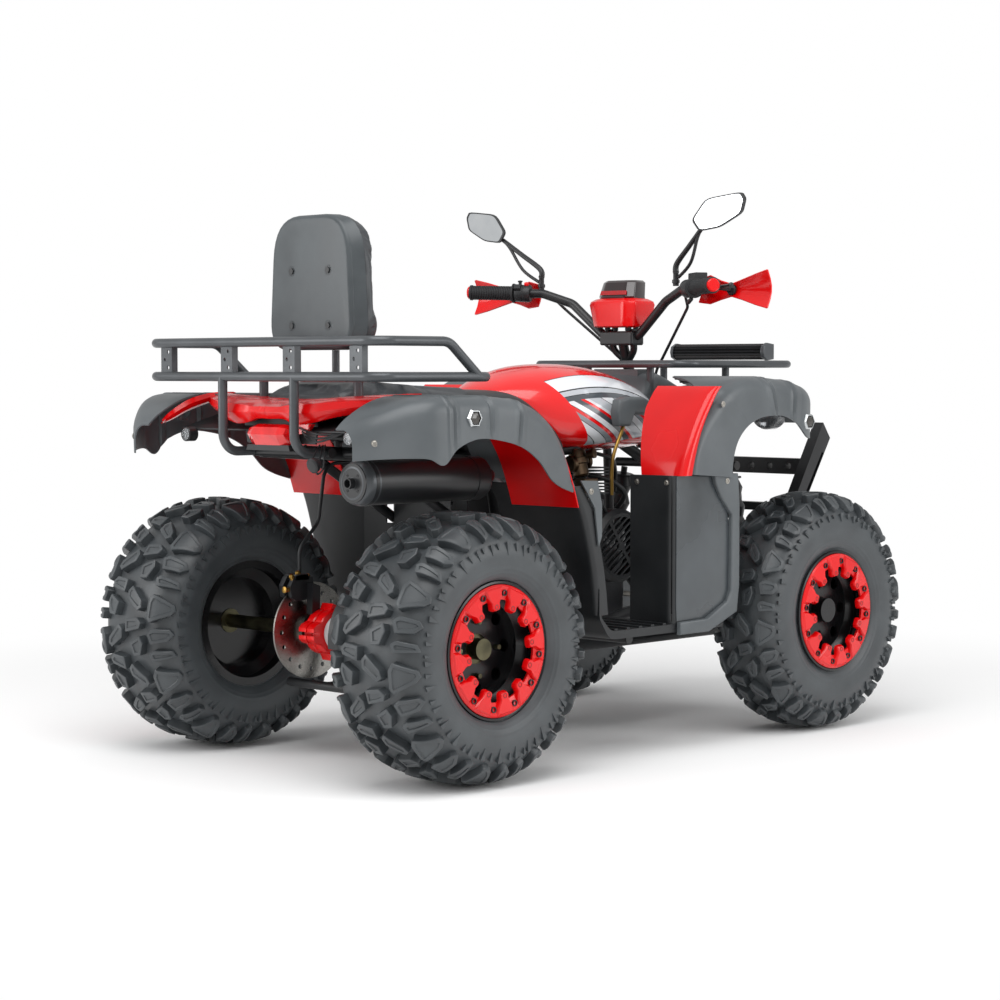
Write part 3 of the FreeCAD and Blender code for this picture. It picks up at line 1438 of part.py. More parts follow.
def knuckle_shape():
    """Kingpin post between the two balls, spindle and steering arm, for the left side."""
    low = S.lower_ball_high + S.ball_radius + S.run_gap
    high = S.upper_ball_high - S.ball_radius - S.run_gap
    post = rod(spot(S.wheelbase, S.kingpin_side, low), spot(S.wheelbase, S.kingpin_side, high), S.kingpin_radius)
    wheel_middle = S.front_track / 2
    hub_face = wheel_middle + S.front_disc_out - S.front_hub_length
    spindle = rod(spot(S.wheelbase, S.kingpin_side, S.tyre_radius),
                  spot(S.wheelbase, wheel_middle + S.front_disc_out, S.tyre_radius), S.spindle_radius)
    plate = rod(spot(S.wheelbase, hub_face - S.knuckle_plate - S.run_gap, S.tyre_radius),
                spot(S.wheelbase, hub_face - S.run_gap, S.tyre_radius), S.knuckle_plate_radius)
    body = rod(spot(S.wheelbase, S.kingpin_side, S.tyre_radius),
               spot(S.wheelbase, hub_face - S.run_gap, S.tyre_radius), S.kingpin_radius * 1.4)
    eye = spot(S.wheelbase - S.steer_arm_back, S.kingpin_side + S.steer_arm_out, S.rod_high + S.rod_drop)
    root = spot(S.wheelbase, S.kingpin_side, S.rod_high + S.rod_drop)
    half = S.steer_arm_half
    rise = V(0, 0, S.steer_arm_thick)
    arm = prism([root + V(0, -half, 0), eye + V(0, -half, 0), eye + V(0, half, 0), root + V(0, half, 0)], rise)
    tip = Part.makeCylinder(half, S.steer_arm_thick, eye)
    hole = Part.makeCylinder(S.rod_stud_radius + S.rod_stud_play, S.steer_arm_thick * 4, eye - rise * 2)
    return joined([post, spindle, plate, body, arm, tip]).cut(hole)


def make_knuckles():
    left = knuckle_shape()
    keep(feature("knuckle_left", left))
    keep(feature("knuckle_right", mirrored(left)))


def tie_rod_shape():
    """A rod with a ball and a stud at each end, from the pitman plate to the left knuckle."""
    inner = spot(S.wheelbase - S.steer_arm_back, S.steer_arm_out, S.rod_high)
    outer = spot(S.wheelbase - S.steer_arm_back, S.kingpin_side + S.steer_arm_out, S.rod_high)
    bar = rod(inner, outer, S.rod_radius)
    balls = [Part.makeSphere(S.rod_ball_radius, inner), Part.makeSphere(S.rod_ball_radius, outer)]
    studs = [rod(inner, inner + stem_direction() * (S.rod_drop + S.steer_arm_thick + S.rod_stud_radius),
                 S.rod_stud_radius),
             rod(outer, outer + V(0, 0, S.rod_drop + S.steer_arm_thick + S.rod_stud_radius), S.rod_stud_radius)]
    return joined([bar] + balls + studs)


def make_tie_rods():
    left = tie_rod_shape()
    keep(feature("tie_rod_left", left))
    keep(feature("tie_rod_right", mirrored(left)))


# Steering stem with its pitman plate, and the handlebar.
def bar_points(hand):
    """The handlebar's line on one side, from the clamp out to its end."""
    middle = stem_point(S.clamp_along)
    return [
        V(middle.x, S.clamp_half * hand, middle.z),
        V(middle.x - S.bar_rise_back, S.bar_rise_side * hand, middle.z + S.bar_rise),
        V(middle.x - S.bar_knee_back, S.bar_knee_side * hand, middle.z + S.bar_knee_rise),
        V(middle.x - S.bar_end_back, S.bar_end_side * hand, middle.z + S.bar_end_rise),
    ]


def bar_tube():
    return tube(bar_points(RIGHT)[::-1] + bar_points(LEFT), S.bar_radius, S.bar_bend)


def make_handlebar():
    along = stem_direction()
    rake = math.radians(S.rake)
    rearward = V(-math.cos(rake), 0, -math.sin(rake))
    base = stem_point(S.rod_drop)
    stem = rod(base, stem_point(S.clamp_along), S.stem_radius)
    half = S.steer_arm_half
    plate_points = [base + V(0, -half, 0) - rearward * half, base + V(0, half, 0) - rearward * half,
                    base + V(0, S.steer_arm_out + half, 0) + rearward * (S.steer_arm_back + half),
                    base + V(0, -S.steer_arm_out - half, 0) + rearward * (S.steer_arm_back + half)]
    plate = prism(plate_points, along * S.steer_arm_thick)
    holes = []
    for hand in (LEFT, RIGHT):
        place = base + rearward * S.steer_arm_back + V(0, S.steer_arm_out * hand, 0)
        holes.append(rod(place - along * S.steer_arm_thick, place + along * S.steer_arm_thick * 2,
                         S.rod_stud_radius + S.fit))
    middle = stem_point(S.clamp_along)
    clamp = Part.makeBox(S.clamp_long, S.clamp_half * 2, S.clamp_tall,
                         middle - V(S.clamp_long / 2, S.clamp_half, S.clamp_tall * 0.6))
    clamp = clamp.makeFillet(S.overrun, clamp.Edges)
    keep(feature("handlebar", joined([stem, plate.cut(holes), clamp, bar_tube()])))


def make_hand_controls():
    """Grips, switch housings and levers on both bar ends."""
    bar = bar_tube()
    sides = []
    for hand in (LEFT, RIGHT):
        knee, end = bar_points(hand)[2:]
        along = (end - knee).normalize()
        tip = end + along * S.overrun
        grip = rod(tip - along * S.grip_long, tip, S.grip_radius)
        flange = rod(tip - along * S.grip_long, tip - along * (S.grip_long - S.grip_flange_long),
                     S.grip_flange_radius)
        start = tip - along * (S.grip_long + S.switch_long)
        switch = rod(start, tip - along * S.grip_long, S.switch_radius)
        forward = V(-along.y * hand, along.x * hand, 0).normalize() * -1
        if forward.x < 0:
            forward = forward * -1
        root = start + along * S.switch_long / 2
        lever = tube([root, root + forward * S.lever_ahead,
                      tip + forward * S.lever_ahead - along * S.grip_flange_radius],
                     S.lever_radius, S.lever_radius * 3)
        sides.append(joined([grip, flange, switch, lever]).cut(bar))
    keep(feature("hand_controls", together([largest(side) for side in sides])))


def make_hand_guards():
    """Waisted guards that stand ahead of the grips, each on a bracket from the bar."""
    bar = bar_tube()
    middle = stem_point(S.clamp_along)
    ahead = middle.x - S.bar_knee_back + S.guard_ahead / 2
    stations = [(S.guard_inner_side, S.guard_inner_half), (S.guard_waist_side, S.guard_waist_half),
                (S.guard_outer_side, S.guard_outer_half)]
    points = [V(ahead, side, S.guard_high + half) for side, half in stations]
    points += [V(ahead, side, S.guard_high - half) for side, half in stations[::-1]]
    plate = slab(points, S.guard_waist_half, V(S.guard_thick, 0, 0))
    reach = V(ahead + S.guard_thick / 2, S.guard_inner_side + S.guard_waist_half, S.guard_high)
    bracket = rod(bar_points(LEFT)[2], reach, S.lever_radius)
    keep(feature("hand_guards", both_sides(largest(joined([plate, bracket]).cut(bar)))))


def make_dash():
    """Dash pod with a raised screen, on a foot that stands on the bar clamp."""
    middle = stem_point(S.clamp_along)
    pod = Part.makeBox(S.dash_long, S.dash_half * 2, S.dash_tall,
                       V(middle.x - S.dash_long / 2, -S.dash_half, S.dash_low))
    pod = pod.makeFillet(S.dash_round, pod.Edges)
    screen = Part.makeBox(S.screen_long, S.screen_half * 2, S.screen_tall + S.dash_round,
                          V(middle.x - S.screen_long / 2, -S.screen_half, S.dash_low + S.dash_tall - S.dash_round))
    screen = screen.makeFillet(S.dash_round * 0.8, [edge for edge in screen.Edges])
    top = middle.z - S.clamp_tall * 0.6 + S.clamp_tall
    foot = Part.makeBox(S.clamp_long / 2, S.clamp_half, S.dash_low - top + S.dash_round,
                        V(middle.x - S.clamp_long / 4, -S.clamp_half / 2, top))
    keep(feature("dash_pod", joined([pod, screen, foot])))


def make_mirrors():
    """A six-sided mirror on a bent stem from each end of the bar's rise."""
    knee = bar_points(LEFT)[2]
    wide, tall = S.mirror_half_wide, S.mirror_half_tall
    centre = spot(S.mirror_ahead, S.mirror_side, S.mirror_high)
    outline_shares = [(-1, -0.2), (-0.45, -1), (0.7, -0.8), (1, 0.35), (0.55, 1), (-0.75, 0.72)]
    points = [centre + V(0, wide * across, tall * up) for across, up in outline_shares]
    head = slab(points, S.mirror_thick, V(S.mirror_thick, 0, 0))
    head.rotate(centre, X_DIR, S.mirror_tilt)
    base = knee + V(0, 0, S.bar_radius + S.fit)
    stem = tube([base, base + V(0, 0, S.mirror_bend), base + V(0, S.mirror_bend, S.mirror_bend * 3),
                 centre + V(S.mirror_thick / 2, -wide * 0.6, -tall * 0.4)], S.mirror_stem_radius, S.mirror_bend)
    keep(feature("mirrors", both_sides(joined([head, stem]))))


# Tank cover, seat and shroud.
TANK_SHARES = [(0, 0.42, 0.52, 0.76), (0.16, 0.80, 0.20, 0.92), (0.46, 1.0, 0, 1.0),
               (0.80, 0.92, 0.02, 0.97), (1.0, 0.66, 0.30, 0.82)]
SEAT_SHARES = [(0, 0.86, 0.12, 0.86), (0.12, 1.0, 0, 1.0), (0.5, 0.98, 0, 0.93), (0.82, 0.80, 0.02, 0.88),
               (1.0, 0.62, 0.10, 0.78)]


def lofted(shares, rear, front, half, low, top, bend):
    wires = []
    for along, wide, floor, roof in shares:
        ahead = rear + (front - rear) * along
        wires.append(section_wire(ahead, half * wide, low + (top - low) * floor, low + (top - low) * roof, bend))
    return Part.makeLoft(wires, True, False)


def tank_blank():
    return lofted(TANK_SHARES, S.tank_rear_ahead, S.tank_front_ahead, S.tank_half, S.tank_low, S.tank_top,
                  S.tank_round)


def make_tank_and_seat(frame_shape):
    tank = tank_blank()
    inside = S.rail_side + S.tube_radius + S.fit
    tunnel = box(S.tank_rear_ahead - S.overrun, -inside, S.tank_low - S.overrun,
                 S.tank_front_ahead - S.tank_rear_ahead + S.overrun * 2, inside * 2,
                 S.rail_front_high + S.tube_radius + S.overrun * 2 - S.tank_low)
    keep(feature("tank_cover", largest(tank.cut(tunnel))))
    seat = lofted(SEAT_SHARES, S.seat_rear_ahead, S.seat_front_ahead, S.seat_half, S.seat_low, S.seat_top,
                  S.seat_round)
    keep(feature("seat", largest(seat.cut([tank, frame_shape]))))


def make_shroud():
    """A grey cover ahead of the tank, open round the steering stem."""
    front = S.tank_front_ahead + S.fit
    body = box(front, -S.shroud_half, S.shroud_low, S.shroud_long, S.shroud_half * 2, S.shroud_high - S.shroud_low)
    face = spot(front, 0, 0).x
    body = body.makeFillet(S.seat_round / 2, [edge for edge in body.Edges if edge.BoundBox.XMin > face + S.fit])
    stem_room = rod(stem_point(S.head_along), stem_point(S.clamp_along), S.stem_radius + S.overrun * 1.4)
    keep(feature("steering_shroud", largest(body.cut(stem_room))))


# Moulded shells: the region under a top line, less the same region drawn in by the skin.
def shell(top_line, floor, inner_side, outer_side, bend, edge_bend):
    """A fender half over the left side: skin over the top line, and an outer wall."""
    low_rear = spot(top_line[0][0], 0, floor)
    low_front = spot(top_line[-1][0], 0, floor)
    line = [spot(ahead, 0, high) for ahead, high in top_line]
    edges = rounded_edges([low_rear] + line + [low_front], bend)
    edges.append(Part.LineSegment(low_front, low_rear).toShape())
    outer_face = Part.Face(Part.Wire(edges))
    inner_face = outer_face.makeOffset2D(-S.skin)
    shift = V(0, inner_side, 0)
    wide = outer_side - inner_side
    outer_face.translate(shift)
    outer = outer_face.extrude(V(0, wide, 0))
    rims = []
    for edge in outer.Edges:
        limits = edge.BoundBox
        if limits.YMin > outer_side - S.fit and limits.ZMax > floor + S.skin:
            rims.append(edge)
    outer = outer.makeFillet(edge_bend, rims)
    inner_face.translate(shift - V(0, S.overrun, 0))
    inner = inner_face.extrude(V(0, wide + S.overrun - S.skin, 0))
    rims = []
    for edge in inner.Edges:
        limits = edge.BoundBox
        if limits.YMin > outer_side - S.skin - S.fit and limits.ZMax > floor + S.skin * 3:
            rims.append(edge)
    inner = inner.makeFillet(edge_bend - S.skin, rims)
    drop = inner.copy()
    drop.translate(V(0, 0, -S.skin - S.overrun))
    return outer.cut([inner, drop])


def fender_line():
    """The rear fender's outline from the side, from its rear flap over the crest and down in front."""
    fall = S.fender_top - S.fender_front_low
    reach = S.fender_front_ahead - S.fender_crest_ahead
    return [(S.fender_rear_ahead, S.fender_rear_low), (S.fender_rear_ahead, S.fender_top - S.fender_round),
            (S.fender_rear_ahead + S.fender_round, S.fender_top), (S.fender_crest_ahead, S.fender_top),
            (S.fender_crest_ahead + reach * 0.40, S.fender_top - fall * 0.20),
            (S.fender_crest_ahead + reach * 0.76, S.fender_top - fall * 0.52),
            (S.fender_front_ahead, S.fender_front_low)]


def fender_liner():
    """The red lining under the left rear fender, ahead of the wheel."""
    upper, middle, lower = [V(spot(ahead, 0, high)) for ahead, high in fender_line()[3:6]]
    first = upper.add((middle - upper) * S.liner_start_share)
    last = middle.add((lower - middle) * S.liner_end_share)
    down = V(-S.skin, 0, -S.skin) * 0.94
    near = [point + down for point in (first, middle, last)]
    far = [point + V(-S.skin, 0, -S.skin / 2) for point in near]
    inner = V(0, S.fender_inner_side + S.skin + S.fit, 0)
    wide = S.fender_side - S.fender_edge_round - S.fender_inner_side - S.skin * 2
    return prism([point + inner for point in near + far[::-1]], V(0, wide, 0))


def make_rear_fender():
    """Both rear fenders: skin, outer wall with its wheel arch, rear flap and raised ribs."""
    span = S.fender_crest_ahead - S.fender_rear_ahead
    half = shell(fender_line(), S.fender_front_low, S.fender_inner_side, S.fender_side, S.fender_round,
                 S.fender_edge_round)
    arch = rod(spot(0, S.fender_side - S.fender_edge_round, S.tyre_radius),
               spot(0, S.fender_side + S.overrun, S.tyre_radius), S.arch_radius)
    behind = box(S.fender_rear_ahead - S.overrun, S.fender_inner_side - S.overrun, 0,
                 span, S.fender_side, S.fender_rear_low)
    inboard = box(S.fender_rear_ahead - S.overrun, 0, S.fender_rear_low - S.overrun,
                  S.tail_front_ahead - S.fender_rear_ahead + S.overrun, S.tail_half + S.fit,
                  S.fender_top)
    half = largest(half.cut([arch, behind, inboard]))
    ribs = []
    for index in range(int(S.rib_count)):
        ahead = S.fender_crest_ahead * (index + 0.4) / S.rib_count
        ribs.append(box(ahead, S.fender_inner_side + S.fender_round, S.fender_top - S.skin / 2, S.rib_long,
                        S.fender_side - S.fender_inner_side - S.fender_round - S.fender_edge_round,
                        S.rib_stand + S.skin / 2))
    half = joined([half] + ribs)
    keep(feature("rear_fender", both_sides(largest(half.cut(rear_rack_pieces())))))


def make_tail_panel():
    """The red deck behind the seat, turned down at the back, open underneath."""
    rear, front, low, high = S.tail_rear_ahead, S.tail_front_ahead, S.tail_low, S.tail_high
    points = [spot(front, 0, high), spot(rear + S.fender_round, 0, high), spot(rear, 0, high - S.fender_round),
              spot(rear + S.fender_round / 2, 0, low)]
    edges = rounded_edges(points, S.fender_round)
    edges.append(Part.LineSegment(points[-1], spot(front, 0, low)).toShape())
    edges.append(Part.LineSegment(spot(front, 0, low), points[0]).toShape())
    face = Part.Face(Part.Wire(edges))
    inside = face.makeOffset2D(-S.skin)
    face.translate(V(0, -S.tail_half, 0))
    inside.translate(V(0, S.skin - S.tail_half, 0))
    outer = face.extrude(V(0, S.tail_half * 2, 0))
    inner = inside.extrude(V(0, S.tail_half * 2 - S.skin * 2, 0))
    drop = inner.copy()
    drop.translate(V(0, 0, -S.skin - S.overrun))
    forward = inner.copy()
    forward.translate(V(S.skin + S.overrun, 0, -S.skin))
    seat_room = box(S.seat_rear_ahead - S.overrun, -S.seat_half - S.overrun, 0, S.seat_front_ahead,
                    S.seat_half * 2 + S.overrun * 2, S.seat_top)
    panel = outer.cut([inner, drop, forward, seat_room] + rear_rack_pieces(S.fit))
    liner = fender_liner()
    keep(feature("tail_panel", together([largest(panel), liner, mirrored(liner)])))


def make_tail_lamps():
    """Two long red tail lamps and the plate lamp, hung below the tail panel."""
    wide = S.tail_lamp_outer_side - S.tail_lamp_inner_side
    tall = S.tail_lamp_high - S.tail_lamp_low
    lamp = box(S.tail_rear_ahead + S.tail_lamp_deep / 2, S.tail_lamp_inner_side, S.tail_lamp_low,
               S.tail_lamp_deep, wide, tall)
    lamp = lamp.makeFillet(tall * 0.3, lamp.Edges)
    mount = box(S.tail_rear_ahead + S.tail_lamp_deep + S.overrun, S.tail_lamp_inner_side + wide / 2,
                S.tail_lamp_high - S.skin, S.tail_lamp_mount, wide / 4,
                S.tail_high - S.tail_lamp_high - S.fit)
    lamp = joined([lamp, mount]).cut(rear_rack_pieces(S.fit))
    keep(feature("tail_lamps", both_sides(largest(lamp))))


def make_turn_lamps():
    """Four small lamps that stand out from the fenders' outer walls."""
    lamps = []
    for ahead in (S.rear_turn_ahead, S.front_turn_ahead):
        base = spot(ahead, S.fender_side + S.fit, S.turn_high)
        middle = base + V(0, S.turn_long * 0.3, 0)
        tip = base + V(0, S.turn_long, 0)
        lens = Part.makeCone(S.turn_radius, S.turn_radius * 0.6, S.turn_long * 0.7, middle, Y_DIR)
        lamps.append(joined([rod(base, middle, S.turn_radius * 0.7), lens]))
    keep(feature("turn_lamps", together(lamps + [mirrored(lamp) for lamp in lamps])))


def footwell_shape():
    """A footwell on the left: rear wall, ribbed floor and a hollow leg shield."""
    wide = S.foot_side - S.foot_inner_side
    floor = S.foot_floor_high
    back = S.fender_front_ahead + S.skin
    line = [spot(back, 0, S.fender_front_low + S.foot_round), spot(back, 0, floor + S.foot_round),
            spot(back + S.foot_round, 0, floor), spot(S.shield_rear_ahead + S.foot_round, 0, floor)]
    upper = rounded_edges(line, S.foot_round)
    lower_line = [line[0] - V(S.skin, 0, 0), line[1] - V(S.skin, 0, S.skin),
                  line[2] - V(S.skin, 0, S.foot_floor_drop), line[3] - V(0, 0, S.foot_floor_drop)]
    lower = rounded_edges(lower_line[::-1], S.foot_round)
    ends = [Part.LineSegment(line[-1], lower_line[-1]).toShape(), Part.LineSegment(lower_line[0], line[0]).toShape()]
    face = Part.Face(Part.Wire(upper + ends[:1] + lower + ends[1:]))
    face.translate(V(0, S.foot_inner_side, 0))
    tray = face.extrude(V(0, wide, 0))
    corners = [spot(S.shield_rear_ahead, S.shield_inner_side, floor - S.foot_floor_drop),
               spot(S.foot_front_ahead, S.shield_inner_side, floor - S.foot_floor_drop),
               spot(S.foot_front_ahead, S.foot_side, floor - S.foot_floor_drop),
               spot(S.shield_rear_ahead, S.foot_side, floor - S.foot_floor_drop)]
    tall = S.shield_top - floor + S.foot_floor_drop
    outer = prism(corners, V(0, 0, tall))
    corner_edges = [edge for edge in outer.Edges
                    if edge.BoundBox.YMin > S.foot_side - S.fit and edge.BoundBox.ZLength > S.foot_round]
    outer = outer.makeFillet(S.foot_round / 2, corner_edges)
    hollow = box(S.shield_rear_ahead + S.skin, S.shield_inner_side - S.overrun, floor + S.skin,
                 S.foot_front_ahead - S.shield_rear_ahead - S.skin * 2,
                 S.foot_side - S.shield_inner_side + S.overrun - S.skin, tall)
    shield = outer.cut(hollow)
    ribs = []
    run = S.shield_rear_ahead - back - S.foot_round
    for index in range(int(S.foot_rib_count)):
        ahead = back + S.foot_round + run * (index + 0.5) / S.foot_rib_count
        ribs.append(box(ahead - S.foot_rib_half, S.foot_inner_side + S.skin, floor - S.skin / 2,
                        S.foot_rib_half * 2, wide - S.skin * 2, S.skin * 1.5))
    return joined([tray, shield] + ribs)


def make_footwells(frame_shape):
    keep(feature("footwells", both_sides(largest(footwell_shape().cut([frame_shape])))))


def front_line():
    rise = S.front_top - S.front_low
    return [(S.front_low_ahead, S.front_low), (S.front_low_ahead + rise * 0.16, S.front_low + rise * 0.40),
            (S.front_crest_ahead - S.fender_round * 1.5, S.front_top - rise * 0.13),
            (S.front_crest_ahead, S.front_top), (S.front_nose_ahead - S.fender_round * 3, S.front_top),
            (S.front_nose_ahead - S.fender_round, S.front_top - S.fender_round),
            (S.front_nose_ahead, S.front_nose_low)]


def front_plan(grow, low, tall):
    """The fender's outline from above, narrowing to the nose."""
    rear = S.front_low_ahead - S.overrun * 4
    side = S.fender_side + grow
    nose = S.front_nose_half + grow
    points = [spot(rear, -S.overrun, low), spot(rear, side, low), spot(S.front_plan_ahead, side, low),
              spot(S.front_nose_ahead + S.overrun + grow, nose, low),
              spot(S.front_nose_ahead + S.overrun + grow, -S.overrun, low)]
    return slab(points, S.skin * 2, V(0, 0, tall))


def make_front_fender():
    """The one-piece front fender: outer walls with arches, deck and nose."""
    line = front_line()
    floor = S.front_low
    low_rear = spot(line[0][0], 0, floor)
    low_front = spot(line[-1][0], 0, floor)
    corners = [spot(ahead, 0, high) for ahead, high in line[1:]]
    edges = rounded_edges([low_rear] + corners + [low_front], S.fender_round)
    edges.append(Part.LineSegment(low_front, low_rear).toShape())
    outer_face = Part.Face(Part.Wire(edges))
    inner_face = outer_face.makeOffset2D(-S.skin)
    outer = outer_face.extrude(V(0, S.fender_side, 0)).common(front_plan(0, floor - S.overrun, S.front_top))
    inner_face.translate(V(0, -S.overrun, 0))
    inner = inner_face.extrude(V(0, S.fender_side, 0)).common(front_plan(-S.skin, floor - S.overrun, S.front_top))
    drop = inner.copy()
    drop.translate(V(0, 0, -S.skin - S.overrun))
    arch = rod(spot(S.wheelbase, S.headlamp_side, S.tyre_radius),
               spot(S.wheelbase, S.fender_side + S.overrun, S.tyre_radius), S.arch_radius)
    nose_open = box(S.wheelbase, -S.overrun, floor - S.overrun, S.front_nose_ahead, S.fender_side,
                    S.front_nose_low - floor + S.overrun)
    gap = middle_gap(floor - S.overrun)
    panel = side_panel_blank(S.fit)
    half = outer.cut([inner, drop, arch, nose_open, gap, panel])
    half = largest(half)
    whole = joined([half, mirrored(half)])
    lamps = [rod(spot(S.front_nose_ahead - S.headlamp_long * 2, hand * S.headlamp_side, S.headlamp_high),
                 spot(S.front_nose_ahead + S.overrun, hand * S.headlamp_side, S.headlamp_high),
                 S.headlamp_radius + S.fit) for hand in (LEFT, RIGHT)]
    whole = whole.cut(lamps + front_rack_pieces(S.fit))
    keep(feature("front_fender", largest(whole)))


def middle_gap(floor):
    """The room inside the fender for the tank, the lever beside it and the stem ahead of it."""
    rear = S.front_low_ahead - S.overrun
    turn = S.front_crest_ahead - S.fender_round / 2
    plan = [(rear, -S.overrun), (rear, S.front_panel_side), (turn, S.front_panel_side)]
    for along, wide in [(shares[0], shares[1]) for shares in TANK_SHARES]:
        ahead = S.tank_rear_ahead + (S.tank_front_ahead - S.tank_rear_ahead) * along
        if ahead > turn:
            plan.append((ahead + S.overrun, S.tank_half * wide + S.overrun * 2))
    plan += [(S.tank_front_ahead + S.overrun, S.front_gap_half), (S.front_gap_ahead, S.front_gap_half),
             (S.front_gap_ahead, -S.overrun)]
    return prism([spot(ahead, side, floor) for ahead, side in plan], V(0, 0, S.front_top))


def side_panel_blank(grow):
    """The red facing panel of the left front fender, grown for its opening."""
    line = front_line()[:3]
    points = [spot(ahead, 0, high) for ahead, high in line]
    back = [point + V(-grow, 0, 0) for point in points]
    deep = [point + V(S.skin + grow, 0, 0) for point in points[::-1]]
    inner = S.front_panel_side
    outer = S.fender_side - S.foot_round / 2
    face = prism(back + deep, V(0, outer - inner + grow, 0))
    face.translate(V(0, inner, 0))
    return face


def make_side_panels():
    keep(feature("front_side_panels", both_sides(side_panel_blank(0))))


def make_headlamps():
    front = S.front_nose_ahead - S.skin * 2
    lamps = []
    for hand in (LEFT, RIGHT):
        shell_part = rod(spot(front - S.headlamp_long, hand * S.headlamp_side, S.headlamp_high),
                         spot(front, hand * S.headlamp_side, S.headlamp_high), S.headlamp_radius)
        shell_part = shell_part.makeFillet(S.headlamp_radius / 3, [edge for edge in shell_part.Edges if edge.Closed])
        lamps.append(shell_part)
    keep(feature("headlamps", together(lamps)))


def make_bumper(frame_shape):
    """Slotted box arms that rake forward, with two cross beams."""
    half = S.bumper_half
    run = V(S.bumper_tip_ahead - S.bumper_foot_ahead, 0, S.bumper_tip_high - S.bumper_foot_high).normalize()
    across = V(run.z, 0, -run.x) * S.bumper_wide
    foot = spot(S.bumper_foot_ahead, S.bumper_side, S.bumper_foot_high)
    tip = spot(S.bumper_tip_ahead, S.bumper_side, S.bumper_tip_high)
    corners = [foot, tip - across, tip - V(0, 0, S.bumper_wide / 2), foot + across]
    push = V(0, half * 2, 0)
    arm = prism([point - V(0, half, 0) for point in corners], push)
    slot_start = foot + (tip - foot) * 0.42 + across * 0.35
    slot_end = foot + (tip - foot) * 0.84 + across * 0.12
    slot = prism([slot_start - V(0, half + S.overrun, 0), slot_end - V(0, half + S.overrun, 0),
                  slot_end + across * 0.25 - V(0, half + S.overrun, 0),
                  slot_start + across * 0.30 - V(0, half + S.overrun, 0)], V(0, half * 2 + S.overrun * 2, 0))
    arm = arm.cut(slot)
    foot_bar = rod(spot(S.bumper_foot_ahead, S.rail_side, S.bumper_foot_high),
                   foot + across * 0.5, S.cross_radius)
    pieces = [arm, mirrored(arm), foot_bar, mirrored(foot_bar)]
    for high, tall in ((S.beam_high, S.beam_tall), (S.beam_low_high, S.beam_low_tall)):
        share = (high - S.bumper_foot_high) / (S.bumper_tip_high - S.bumper_foot_high)
        ahead = S.bumper_foot_ahead + (S.bumper_tip_ahead - S.bumper_foot_ahead) * share
        outer = box(ahead, -S.bumper_side + half / 2, high - tall / 2, S.bumper_wide * 0.8,
                    (S.bumper_side - half / 2) * 2, tall)
        holes = []
        for step in range(-2, 3):
            centre = spot(ahead - S.overrun, S.bumper_side * 0.32 * step, high)
            holes.append(Part.makeCylinder(tall * 0.22, S.bumper_wide * 2, centre, X_DIR))
        pieces.append(outer.cut(holes) if tall > S.beam_low_tall else outer)
    keep(feature("front_bumper", largest(joined(pieces).cut(frame_shape))))


def rear_rack_pieces(grow=0):
    """Tube rack: lower ring, raised rail, cross bars, rear legs and short posts."""
    radius = S.rack_radius + grow
    rear, front, half, high = S.rear_rack_rear, S.rear_rack_front, S.rear_rack_half, S.rear_rack_high
    ring = ring_tube([spot(rear, -half, high), spot(rear, half, high), spot(front, half, high),
                      spot(front, -half, high)], radius, S.rack_bend)
    pieces = [ring]
    rail_front = S.rack_rail_front
    pieces.append(tube([
        spot(front - S.rack_bend, -half, high), spot(rail_front, -half, S.rack_rail_high),
        spot(rear, -half, S.rack_rail_high), spot(rear, half, S.rack_rail_high),
        spot(rail_front, half, S.rack_rail_high), spot(front - S.rack_bend, half, high)], radius, S.rack_bend))
    for index in range(int(S.rack_bar_count)):
        ahead = rear + (front - rear) * (index + 1) / (S.rack_bar_count + 1)
        pieces.append(rod(spot(ahead, -half, high), spot(ahead, half, high), radius * 0.9))
    middle = (rear + front) / 2
    for hand in (LEFT, RIGHT):
        side = S.rest_bolt_side * hand
        pieces.append(rod(spot(middle, side, high), spot(middle, side, S.rest_high - S.fit), radius * 0.8))
    for side in (-half * 0.82, -half * 0.27, half * 0.27, half * 0.82):
        plate = box(rear - S.rack_plate_thick / 2 - grow, side - S.rack_plate_half - grow, high,
                    S.rack_plate_thick + grow * 2, (S.rack_plate_half + grow) * 2, S.rack_rail_high - high)
        for lip in (-1, 1):
            plate = plate.fuse(box(rear - S.rack_plate_thick / 2 - grow,
                                   side + lip * S.rack_plate_half - S.rack_plate_thick / 2 - grow, high,
                                   S.rack_lip_long + grow * 2, S.rack_plate_thick + grow * 2,
                                   S.rack_rail_high - high))
        middle = (high + S.rack_rail_high) / 2
        for across, up in ((-1, 1), (1, 0), (-1, -1)):
            plate = plate.cut(rod(spot(rear - S.overrun, side + across * S.rack_plate_half / 3,
                                       middle + up * S.rack_plate_half),
                                  spot(rear + S.overrun, side + across * S.rack_plate_half / 3,
                                       middle + up * S.rack_plate_half), S.rack_hole_radius))
        pieces.append(plate)
    for hand in (LEFT, RIGHT):
        leg = S.rack_leg_side * hand
        pieces.append(tube([spot(rear, leg, high), spot(rear, leg, S.rail_rear_high),
                            spot(S.rail_rear_ahead - S.cross_radius, leg, S.rail_rear_high)],
                           radius, S.rack_bend))
        post = S.rack_post_side * hand
        pieces.append(rod(spot(S.rack_post_ahead, post, S.rail_rear_high + S.cross_radius),
                          spot(S.rack_post_ahead, post, high), radius))
    return pieces


def make_rear_rack(frame_shape):
    keep(feature("rear_rack", largest(joined(rear_rack_pieces()).cut(frame_shape))))


